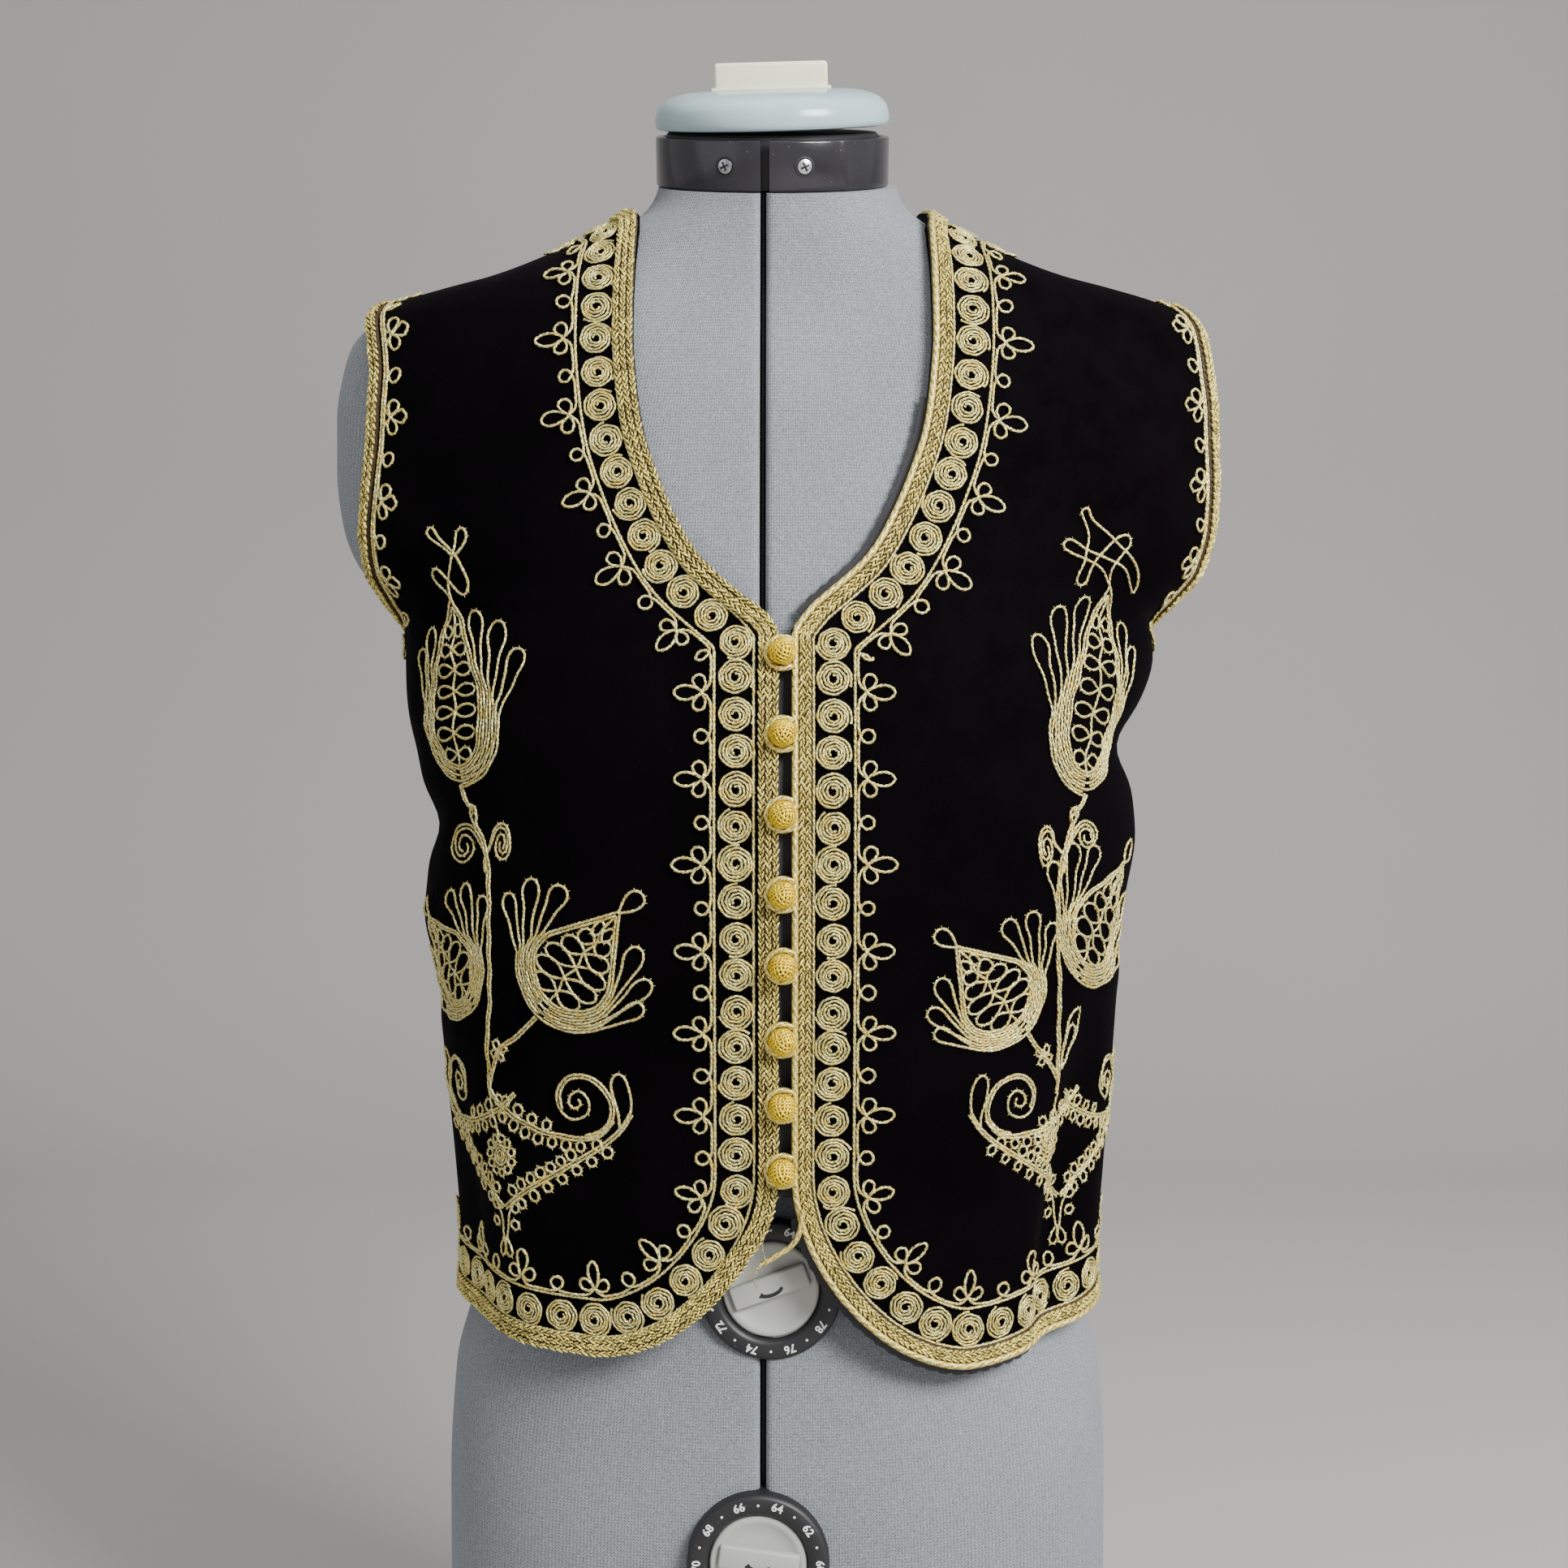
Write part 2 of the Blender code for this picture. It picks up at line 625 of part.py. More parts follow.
class EdgeLine:
    """A line along an edge of the cloth that gives places at a distance inside it.

    side is 1 on the wearer's left. turn is 1 where the cloth lies to the right of the line as one looks
    at it from outside, on the wearer's left.
    """

    def __init__(self, tree, points, side, turn=1, closed=False, softness=0.010):
        self.tree = tree
        fine = np.array(points, float)
        fine[:, 0] *= side
        length = self.run_of(fine)[-1]
        self.points = resampled(fine, max(24, round(length / 0.002)))
        self.run = self.run_of(self.points)
        self.length = self.run[-1]
        placed = cloth_point(self.points[:, 0], self.points[:, 1])
        along = np.gradient(placed, axis=0)
        if closed:
            along[0] = along[-1] = placed[1] - placed[-2]
        normal = cloth_tangents(self.points[:, 0], self.points[:, 1])[2]
        inward = np.cross(along, normal) * side * turn
        inward /= np.linalg.norm(inward, axis=1, keepdims=True)
        window = max(1, round(softness / 0.002))
        self.inward = smoothed(inward, window, closed)

    @staticmethod
    def run_of(points):
        """Length along a line of angles and heights, at each of its points."""
        placed = cloth_point(points[:, 0], points[:, 1])
        steps = np.linalg.norm(np.diff(placed, axis=0), axis=1)
        return np.concatenate([[0], np.cumsum(steps)])

    def spots(self, run, inside):
        """Angles and heights at lengths along the line and a distance inside it."""
        angle = np.interp(run, self.run, self.points[:, 0])
        height = np.interp(run, self.run, self.points[:, 1])
        inward = np.stack([np.interp(run, self.run, column) for column in self.inward.T], axis=-1)
        return moved(angle, height, inward, inside) if inside else (angle, height)

    def places(self, run, inside, out):
        """Points in space at a distance inside the line, moved out from the cloth's surface."""
        angle, height = self.spots(run, inside)
        return self.raised(angle, height, out)

    def raised(self, angle, height, out):
        """Points above the panels' faces at angles and heights."""
        normal = cloth_tangents(angle, height)[2]
        return laid(self.tree, cloth_point(angle, height), normal) + normal * out


def strip(name, line, runs, near, far, low, high, finish, where, slope=0.0006, closed=False):
    """A flat trim along an edge line, from one distance inside it to another, with sloped sides."""
    ring = [
        line.places(runs, near, low),
        line.places(runs, near + slope, high),
        line.places(runs, far - slope, high),
        line.places(runs, far, low),
    ]
    rings = np.stack(ring, axis=1)
    return link(swept_mesh(name, rings, closed), name, finish, where)


def edge_braid(tree, side, name, where):
    """The plaited braid round one half of the vest's outer edge."""
    line = EdgeLine(tree, whole_edge(side), side)
    runs = np.linspace(MESH_GAP, line.length - MESH_GAP, round(line.length / TRIM_STEP))
    top = TRIM_GAP + BRAID_HEIGHT
    return strip(name, line, runs, 0.0, BRAID_WIDTH, TRIM_GAP, top, "gold_braid", where)


def arm_braid(tree, side, name, where):
    """The plaited braid round one armhole."""
    line = EdgeLine(tree, whole_armhole(side), side, turn=-1, closed=True)
    count = round(line.length / TRIM_STEP)
    runs = np.linspace(0, line.length, count, endpoint=False)
    top = ARM_BRAID_GAP + BRAID_HEIGHT
    return strip(
        name, line, runs, 0.0, ARM_BRAID_WIDTH, ARM_BRAID_GAP, top, "gold_braid", where, closed=True
    )


def rosette_band(tree, side, name, where):
    """The chain of coiled-cord rosettes inside the edge braid, as one scalloped band."""
    edge = EdgeLine(tree, whole_edge(side), side)
    angle, height = edge.spots(edge.run, ROSETTE_CENTRE)
    middle = EdgeLine(tree, np.column_stack([angle * side, height]), side, softness=0.004)
    count = int(middle.length / ROSETTE_PITCH)
    pitch = middle.length / count
    shares = np.array([0.0, 0.5])
    waist = ROSETTE_WAIST * ROSETTE_RADIUS
    halves = np.array([waist, ROSETTE_RADIUS])
    runs = (np.arange(count)[:, None] + shares).ravel() * pitch
    half = np.tile(halves, count)
    runs = np.append(np.clip(runs, MESH_GAP, None), middle.length - MESH_GAP)
    half = np.append(half, waist)
    low = TRIM_GAP
    high = TRIM_GAP + ROSETTE_HEIGHT
    sides = []
    for sign in (-1, 1):
        angle, height = edge_spots_each(middle, runs, sign * half)
        sides.append((middle.raised(angle, height, low), middle.raised(angle, height, high)))
    rings = np.stack([sides[0][0], sides[0][1], sides[1][1], sides[1][0]], axis=1)
    return link(swept_mesh(name, rings), name, "gold_cord", where)


def edge_spots_each(line, runs, insides):
    """Angles and heights at lengths along a line, each at its own distance inside it."""
    angle, height = line.spots(runs, 0.0)
    inward = np.stack([np.interp(runs, line.run, column) for column in line.inward.T], axis=-1)
    steps = 4
    for _ in range(steps):
        by_angle, by_height, _ = cloth_tangents(angle, height)
        a = (by_angle * by_angle).sum(-1)
        b = (by_angle * by_height).sum(-1)
        c = (by_height * by_height).sum(-1)
        p = (by_angle * inward).sum(-1)
        q = (by_height * inward).sum(-1)
        angle = angle + (c * p - b * q) / (a * c - b * b) * insides / steps
        height = height + (a * q - b * p) / (a * c - b * b) * insides / steps
    return angle, height


# The closure


def underlap(where):
    """The black strip behind the gap between the fronts."""
    heights = np.linspace(HEM_CORNER_TOP - 0.008, NECKLINE[0][1] - 0.014, 16)
    rings = []
    for height in heights:
        ring = []
        for x, depth in ((-1, 0), (0, 0), (1, 0), (1, 1), (0, 1), (-1, 1)):
            angle = math.asin((VEST_CENTRE_X + x * UNDERLAP_HALF_WIDTH) / 0.11)
            normal = cloth_tangents(np.array(angle), np.array(height))[2]
            inside = WALL + UNDERLAP_GAP + depth * UNDERLAP_THICKNESS
            ring.append(cloth_point(angle, height) - normal * inside)
        rings.append(ring)
    return link(swept_mesh("front_underlap", np.array(rings)), "front_underlap", "lining", where)


def lining_edge(tree, name, low, high, where):
    """Black lining that shows past the left front's edge between two heights."""
    line = EdgeLine(tree, whole_edge(1), 1)
    height = np.interp(line.run, line.run, line.points[:, 1])
    front = np.abs(line.points[:, 0]) < math.radians(60)
    inside = (height > low) & (height < high) & front
    runs = line.run[inside]
    runs = np.linspace(runs[0], runs[-1], round((runs[-1] - runs[0]) / 0.008))
    high = LINING_THICKNESS - WALL
    outer = -(LINING_GAP + LINING_SHOWS)
    return strip(name, line, runs, outer, -LINING_GAP, -WALL, high, "lining", where, slope=0.0002)


def closure_frame(height, out):
    """A place on the closure's centre line, and the directions across, up and out from the cloth."""
    angle = np.array(math.asin(VEST_CENTRE_X / 0.11))
    by_angle, by_height, normal = cloth_tangents(angle, np.array(height))
    place = Vector(cloth_point(angle, height)) + Vector(normal) * out
    across = Vector(by_angle).normalized()
    outward = Vector(normal)
    return place, across, outward.cross(across).normalized(), outward


def ball_button(name, height, where):
    """A thread-covered ball button standing in the gap between the fronts."""
    place = closure_frame(height, BUTTON_STAND_OFF)[0]
    mesh = bpy.data.meshes.new(name)
    work = bmesh.new()
    bmesh.ops.create_uvsphere(work, u_segments=8, v_segments=6, radius=BUTTON_RADIUS)
    work.to_mesh(mesh)
    work.free()
    obj = link(mesh, name, "button_thread", where)
    obj.location = place
    return obj


def cord_object(name, points, radius, finish, where):
    """A round cord through points, with closed ends."""
    curve = bpy.data.curves.new(name, "CURVE")
    curve.dimensions = "3D"
    curve.bevel_depth = radius
    curve.bevel_resolution = 0
    curve.use_fill_caps = True
    spline = curve.splines.new("POLY")
    spline.points.add(len(points) - 1)
    for spot, point in zip(spline.points, points):
        spot.co = (*point, 1)
    obj = bpy.data.objects.new(name, curve)
    curve.materials.append(material(finish))
    where.objects.link(obj)
    return obj


def button_loop(name, height, where):
    """The cord loop of the left front that goes round a ball button."""
    place, across, up, _ = closure_frame(height, LOOP_STAND_OFF)
    turns = np.linspace(-LOOP_HALF_TURN, LOOP_HALF_TURN, 11)
    points = [
        place + across * (LOOP_RADIUS * math.cos(t)) + up * (LOOP_RADIUS * math.sin(t)) for t in turns
    ]
    return cord_object(name, points, LOOP_CORD_RADIUS, "gold_braid", where)


def tail_loop(where):
    """The lowest loop, which no button fills: it hangs from the left edge to the right one."""
    route = (
        (0.0082, 0.3490, 0.0036),
        (0.0079, 0.3430, 0.0038),
        (0.0062, 0.3370, 0.0040),
        (0.0030, 0.3330, 0.0042),
        (-0.0015, 0.3300, 0.0042),
        (-0.0062, 0.3270, 0.0040),
        (-0.0095, 0.3250, 0.0036),
    )
    points = []
    for x, height, out in route:
        angle = math.asin((VEST_CENTRE_X + x) / 0.105)
        normal = cloth_tangents(np.array(angle), np.array(height))[2]
        points.append(cloth_point(angle, height) + normal * out)
    return cord_object("tail_loop", points, LOOP_CORD_RADIUS, "gold_braid", where)


# The dress form


def form_heights():
    """Heights of the form's rings: each row of the table, with more where rows are far apart."""
    rows = [row[0] for row in FORM_SECTIONS]
    heights = []
    for low, high in zip(rows, rows[1:]):
        count = max(1, math.ceil((high - low) / 0.036))
        heights += list(np.linspace(low, high, count, endpoint=False))
    return heights + [rows[-1]]


def neck_plane():
    """A point of the tilted plane on which the collar sits, and its normal."""
    normal = Vector((0, -math.sin(NECK_TILT), math.cos(NECK_TILT)))
    return Vector((0, 0, COLLAR_BASE_HEIGHT)), normal


def cut_above(mesh, point, normal):
    """Cut a solid off above a plane and close it."""
    work = bmesh.new()
    work.from_mesh(mesh)
    geometry = work.verts[:] + work.edges[:] + work.faces[:]
    bmesh.ops.bisect_plane(work, geom=geometry, plane_co=point, plane_no=normal, clear_outer=True)
    open_edges = [edge for edge in work.edges if edge.is_boundary]
    bmesh.ops.holes_fill(work, edges=open_edges)
    bmesh.ops.recalc_face_normals(work, faces=work.faces)
    work.to_mesh(mesh)
    work.free()


def form_half(side, name, where):
    """One half of the form's padded shell, with a flat face along the slit."""
    edge = side * SLIT_X + SLIT_WIDTH / 2
    rings = []
    for height in form_heights():
        first = math.asin(edge / form_radius(0.0, height))
        last = math.asin(edge / form_radius(math.pi, height))
        angles = side * np.linspace(first, math.pi - last, 17)
        heights = np.full_like(angles, height)
        ring = surface_point(form_radius(angles, heights), angles, heights)
        ring[0, 0] = ring[-1, 0] = side * edge
        rings.append(ring)
    mesh = swept_mesh(name, np.array(rings))
    point, normal = neck_plane()
    cut_above(mesh, point - normal * MESH_GAP, normal)
    return link(mesh, name, "form_jersey", where)


def form_core(where):
    """The dark frame that shows in the slit between the halves."""
    half = SLIT_WIDTH / 2 - MESH_GAP
    rings = []
    for height in form_heights():
        centre = float(form_centre(height))
        front = centre - float(form_radius(np.array(0.0), np.array(height))) + SLIT_DEPTH
        back = centre + float(form_radius(np.array(math.pi), np.array(height))) - SLIT_DEPTH
        rings.append(
            [
                (SLIT_X - half, front, height),
                (SLIT_X + half, front, height),
                (SLIT_X + half, back, height),
                (SLIT_X - half, back, height),
            ]
        )
    mesh = swept_mesh("form_core", np.array(rings))
    point, normal = neck_plane()
    cut_above(mesh, point - normal * MESH_GAP, normal)
    return link(mesh, "form_core", "form_frame", where)


def cylinder_mesh(name, radius, length, sides, bevel=0.0):
    """A capped cylinder along local Z, centred on its own origin."""
    mesh = bpy.data.meshes.new(name)
    work = bmesh.new()
    bmesh.ops.create_cone(
        work,
        cap_ends=True,
        segments=sides,
        radius1=radius,
        radius2=radius,
        depth=length,
    )
    if bevel:
        top = [edge for edge in work.edges if all(vert.co.z > 0 for vert in edge.verts)]
        bmesh.ops.bevel(work, geom=top, offset=bevel, segments=2, profile=0.5, affect="EDGES")
    work.to_mesh(mesh)
    work.free()
    return mesh


# The tilted frame of the collar, core and cap: its Z leans towards the front
NECK_FRAME = Matrix.Translation((NECK_CENTRE_X, 0, COLLAR_BASE_HEIGHT)) @ Matrix.Rotation(NECK_TILT, 4, "X")
DIALS = (("waist_dial", -0.0026, 0.3085), ("hip_dial", -0.0080, 0.1930))
FACE_FRONT = Matrix.Rotation(math.radians(90), 4, "X")


def dial_face(x, height):
    """How far forward the form reaches at the middle of a dial."""
    radius = float(form_radius(np.array(math.atan(x / 0.09)), np.array(height)))
    return -math.sqrt(radius**2 - x**2)


def dial(name, x, height, where, cutters, shells):
    """An adjusting dial at the front: a dark ring round a pale hub, let into the shell."""
    face = dial_face(x, height)
    middle = Vector((x, face - DIAL_PROUD + DIAL_DEPTH / 2, height))
    cutter = bpy.data.objects.new(
        name + "_cutter", cylinder_mesh(name + "_cutter", DIAL_RADIUS + MESH_GAP, 0.06, 40)
    )
    cutter.matrix_world = Matrix.Translation((x, face + DIAL_DEPTH - DIAL_PROUD + MESH_GAP - 0.03, height))
    cutter.matrix_world = cutter.matrix_world @ FACE_FRONT
    cutter.hide_render = True
    cutter.display_type = "WIRE"
    cutters.objects.link(cutter)
    for shell in shells:
        cut = shell.modifiers.new(name, "BOOLEAN")
        cut.object = cutter
        cut.operation = "DIFFERENCE"
    profile = [
        (DIAL_HUB_RADIUS + MESH_GAP, -DIAL_DEPTH / 2),
        (DIAL_RADIUS, -DIAL_DEPTH / 2),
        (DIAL_RADIUS, DIAL_DEPTH / 2 - 0.0022),
        (DIAL_RADIUS - 0.0016, DIAL_DEPTH / 2),
        (DIAL_HUB_RADIUS + 0.0020, DIAL_DEPTH / 2),
        (DIAL_HUB_RADIUS + MESH_GAP, DIAL_DEPTH / 2 - 0.0026),
    ]
    turns = np.linspace(0, 2 * math.pi, 32, endpoint=False)
    rings = np.array([[(r * math.cos(t), r * math.sin(t), z) for r, z in profile] for t in turns])
    ring = link(swept_mesh(name + "_ring", rings, closed=True), name + "_ring", "dial_ring", where)
    ring.matrix_world = Matrix.Translation(middle) @ FACE_FRONT
    hub_length = DIAL_DEPTH - 0.0022
    hub_mesh = cylinder_mesh(name + "_hub", DIAL_HUB_RADIUS, hub_length, 32, bevel=0.0012)
    hub = link(hub_mesh, name + "_hub", "dial_hub", where)
    back = Vector((x, face - DIAL_PROUD + DIAL_DEPTH - hub_length / 2, height))
    hub.matrix_world = Matrix.Translation(back) @ FACE_FRONT


def oval(turn, half_width, half_depth):
    """A point of the neck's oval; turn 0 is the centre front."""
    return half_width * math.sin(turn), -half_depth * math.cos(turn)


def collar_band(side, name, where, cutters):
    """Half of the dark plastic band round the neck, with a hole for its screw."""
    gap = math.asin((SLIT_WIDTH / 2 + side * COLLAR_SPLIT_X) / COLLAR_HALF_WIDTH)
    back_gap = math.asin(SLIT_WIDTH / 2 / COLLAR_HALF_WIDTH)
    rings = []
    for t in np.linspace(gap, math.pi - back_gap, 22):
        ring = []
        for inset, rise in ((0, 0), (0, 1), (1, 1), (1, 0)):
            x, y = oval(
                side * t,
                COLLAR_HALF_WIDTH - inset * COLLAR_THICKNESS,
                COLLAR_HALF_DEPTH - inset * COLLAR_THICKNESS,
            )
            ring.append((x, y, rise * COLLAR_HEIGHT))
        rings.append(ring)
    band = link(swept_mesh(name, np.array(rings)), name, "collar_plastic", where)
    band.matrix_world = NECK_FRAME
    place, turn = screw_place(side)
    cutter_mesh = cylinder_mesh(name + "_cutter", SCREW_RADIUS + MESH_GAP, 0.03, 20)
    cutter = bpy.data.objects.new(name + "_cutter", cutter_mesh)
    cutter.matrix_world = NECK_FRAME @ Matrix.Translation(place) @ turn
    cutter.hide_render = True
    cutter.display_type = "WIRE"
    cutters.objects.link(cutter)
    cut = band.modifiers.new("screw hole", "BOOLEAN")
    cut.object = cutter
    screw = link(cylinder_mesh(name + "_screw", SCREW_RADIUS, 0.002, 16), name + "_screw", "steel", where)
    inwards = turn @ Vector((0, 0, -1))
    screw.matrix_world = NECK_FRAME @ Matrix.Translation(place + inwards * SCREW_RECESS) @ turn
    return band


def screw_place(side):
    """Middle of a screw's head on the collar's outer face, and the turn of its axis."""
    x = COLLAR_SPLIT_X + side * SCREW_OFFSET
    t = math.asin(x / COLLAR_HALF_WIDTH)
    place = Vector((*oval(t, COLLAR_HALF_WIDTH, COLLAR_HALF_DEPTH), COLLAR_HEIGHT * 0.50))
    return place, Matrix.Rotation(t * 0.95, 4, "Z") @ FACE_FRONT


def neck_core(where):
    """The dark block inside the collar that carries the cap."""
    inset = COLLAR_THICKNESS + MESH_GAP + 0.0016
    turns = np.linspace(0, 2 * math.pi, 36, endpoint=False)
    rings = [
        [(*oval(t, COLLAR_HALF_WIDTH - inset, COLLAR_HALF_DEPTH - inset), z) for t in turns]
        for z in (0.0, COLLAR_HEIGHT + CAP_GAP - MESH_GAP)
    ]
    core = link(swept_mesh("neck_core", np.array(rings)), "neck_core", "form_frame", where)
    core.matrix_world = NECK_FRAME
    return core


def neck_cap(where):
    """The domed cap over the neck, and the flat handle that stands on it."""
    profile = (
        (0.93, 0.0),
        (0.985, 0.0010),
        (1.0, 0.0034),
        (0.995, 0.0066),
        (0.965, 0.0100),
        (0.905, 0.0128),
        (0.80, 0.0150),
        (0.62, CAP_HEIGHT),
    )
    turns = np.linspace(0, 2 * math.pi, 30, endpoint=False)
    rings = [
        [(*oval(t, COLLAR_HALF_WIDTH * share, COLLAR_HALF_DEPTH * share), z) for t in turns]
        for share, z in profile
    ]
    base = Matrix.Translation((0, 0, COLLAR_HEIGHT + CAP_GAP)) @ Matrix.Rotation(CAP_ROLL, 4, "Y")
    cap = link(swept_mesh("neck_cap", np.array(rings)), "neck_cap", "cap_plastic", where)
    lift = COLLAR_HALF_WIDTH * math.sin(abs(CAP_ROLL))
    cap_frame = NECK_FRAME @ Matrix.Translation((0, 0, lift)) @ base
    cap.matrix_world = cap_frame
    mesh = bpy.data.meshes.new("cap_handle")
    work = bmesh.new()
    bmesh.ops.create_cube(work, size=1.0)
    bmesh.ops.scale(work, vec=HANDLE_SIZE, verts=work.verts)
    bmesh.ops.bevel(work, geom=work.edges[:], offset=0.0010, segments=2, profile=0.5, affect="EDGES")
    work.to_mesh(mesh)
    work.free()
    handle = link(mesh, "cap_handle", "ivory_plastic", where)
    rise = CAP_HEIGHT + MESH_GAP + HANDLE_SIZE[2] / 2
    handle.matrix_world = cap_frame @ Matrix.Translation((0, 0, rise))


def stand(where):
    """The short pole and round plinth that carry the form."""
    plinth = link(
        cylinder_mesh("plinth", PLINTH_RADIUS, PLINTH_HEIGHT, 40, bevel=0.004), "plinth", "stand_metal", where
    )
    plinth.location = (0, 0, PLINTH_HEIGHT / 2)
    low = PLINTH_HEIGHT + MESH_GAP
    high = FORM_BOTTOM - MESH_GAP
    pole = link(cylinder_mesh("pole", POLE_RADIUS, high - low, 24), "pole", "stand_metal", where)
    pole.location = (0, 0, (low + high) / 2)


def smooth_round_pieces(where):
    """Shade round faces smooth and leave real corners sharp."""
    for obj in where.objects:
        if obj.type == "MESH":
            obj.data.shade_smooth()
            obj.data.set_sharp_from_angle(angle=math.radians(40))


def main():
    """Build the form, the vest on it and the vest's trims."""
    clear_scene()
    parts = collection("velvet_vest_on_dress_form")
    cutters = collection("cutters")

    shells = [
        form_half(-1, "form_right", parts),
        form_half(1, "form_left", parts),
        form_core(parts),
    ]
    for name, x, height in DIALS:
        dial(name, x, height, parts, cutters, shells)
    collar_band(-1, "collar_right", parts, cutters)
    collar_band(1, "collar_left", parts, cutters)
    neck_core(parts)
    neck_cap(parts)
    stand(parts)

    panels = [
        front_panel(-1, "front_right", parts),
        front_panel(1, "front_left", parts),
        back_panel("back", parts),
    ]
    tree = surface_tree(panels)
    underlap(parts)
    lining_edge(tree, "lining_edge_hem", 0.2765, 0.345, parts)
    lining_edge(tree, "lining_edge_neck", 0.596, 0.690, parts)

    for side, word in ((-1, "right"), (1, "left")):
        edge_braid(tree, side, "edge_braid_" + word, parts)
        arm_braid(tree, side, "arm_braid_" + word, parts)
        rosette_band(tree, side, "rosettes_" + word, parts)
    for number, height in enumerate(BUTTON_HEIGHTS, 1):
        ball_button(f"button_{number}", height, parts)
        button_loop(f"button_loop_{number}", height, parts)
    tail_loop(parts)
    smooth_round_pieces(parts)
    bpy.context.view_layer.update()


main()
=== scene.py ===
"""Looks of a black velvet vest with gold cord embroidery, worn by a grey adjustable dress form.

Metres, +Z up, the front faces -Y and the wearer's left is +X. The cloth and the form are smooth functions
of an angle (0 at the centre front, 90 degrees at the wearer's left) and a height. Every cord is a path
drawn flat in millimetres, laid on the cloth and swept by Geometry Nodes.
"""

from __future__ import annotations

import logging
import math
from dataclasses import dataclass, field
from enum import Enum
from typing import Any, Callable, Iterable, Optional, Sequence

import bmesh
import bpy
import numpy as np
from bmesh.types import BMesh
from bpy.types import ID, Material, Mesh, NodeSocket, NodeTree, Object
from mathutils import Matrix, Vector

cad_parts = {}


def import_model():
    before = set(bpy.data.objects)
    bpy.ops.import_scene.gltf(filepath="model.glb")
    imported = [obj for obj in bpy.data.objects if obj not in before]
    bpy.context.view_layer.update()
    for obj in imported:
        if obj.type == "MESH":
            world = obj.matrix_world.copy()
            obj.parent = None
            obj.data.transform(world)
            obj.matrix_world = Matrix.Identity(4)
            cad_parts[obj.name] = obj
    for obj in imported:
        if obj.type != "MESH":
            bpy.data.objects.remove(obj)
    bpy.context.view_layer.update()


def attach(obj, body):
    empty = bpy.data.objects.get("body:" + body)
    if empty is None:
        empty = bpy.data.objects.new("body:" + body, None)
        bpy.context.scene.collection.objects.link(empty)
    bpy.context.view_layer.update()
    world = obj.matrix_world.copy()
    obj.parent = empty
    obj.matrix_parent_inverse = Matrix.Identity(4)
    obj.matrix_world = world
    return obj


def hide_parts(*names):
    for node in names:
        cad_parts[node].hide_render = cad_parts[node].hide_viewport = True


LOG = logging.getLogger("vest")
Array = np.ndarray
Point2 = tuple[float, float]
Point3 = tuple[float, float, float]
Colour = tuple[float, float, float]

MM = 0.001
VEST_CENTRE_X = 0.0024
FRONT_GAP = 0.0070
CLOTH_LIFT = 0.0038
CLOTH_BLEND = 0.004
WALL = 0.0017
SEAM_GAP = 0.0003
HEM_CORNER_WIDTH = 0.074
HEM_CORNER_TOP = 0.360
HEM_FRONT_RIGHT = 0.281
HEM_FRONT_LEFT = 0.275
HEM_SIDE = 0.292
HEM_BACK = 0.286
NECK_POINT_HEIGHT = 0.784
BACK_NECK_HEIGHT = 0.768
SLIT_X = -0.0060
SLIT_WIDTH = 0.0040
SLIT_SHOWN = 0.0026
BUTTON_HEIGHTS = (0.58, 0.547, 0.5147, 0.4818, 0.4524, 0.4214, 0.3934, 0.3655)
CLOSURE_REACH = 0.11
CORD_SIDES = 4
CORD_KNOBS = 0.17
NECK_TILT = math.radians(17)
NECK_CENTRE_X = -0.0023
COLLAR_BASE_HEIGHT = 0.7975
NECK_FRAME = Matrix.Translation((NECK_CENTRE_X, 0, COLLAR_BASE_HEIGHT)) @ Matrix.Rotation(NECK_TILT, 4, "X")
FACE_FRONT = Matrix.Rotation(math.radians(90), 4, "X")

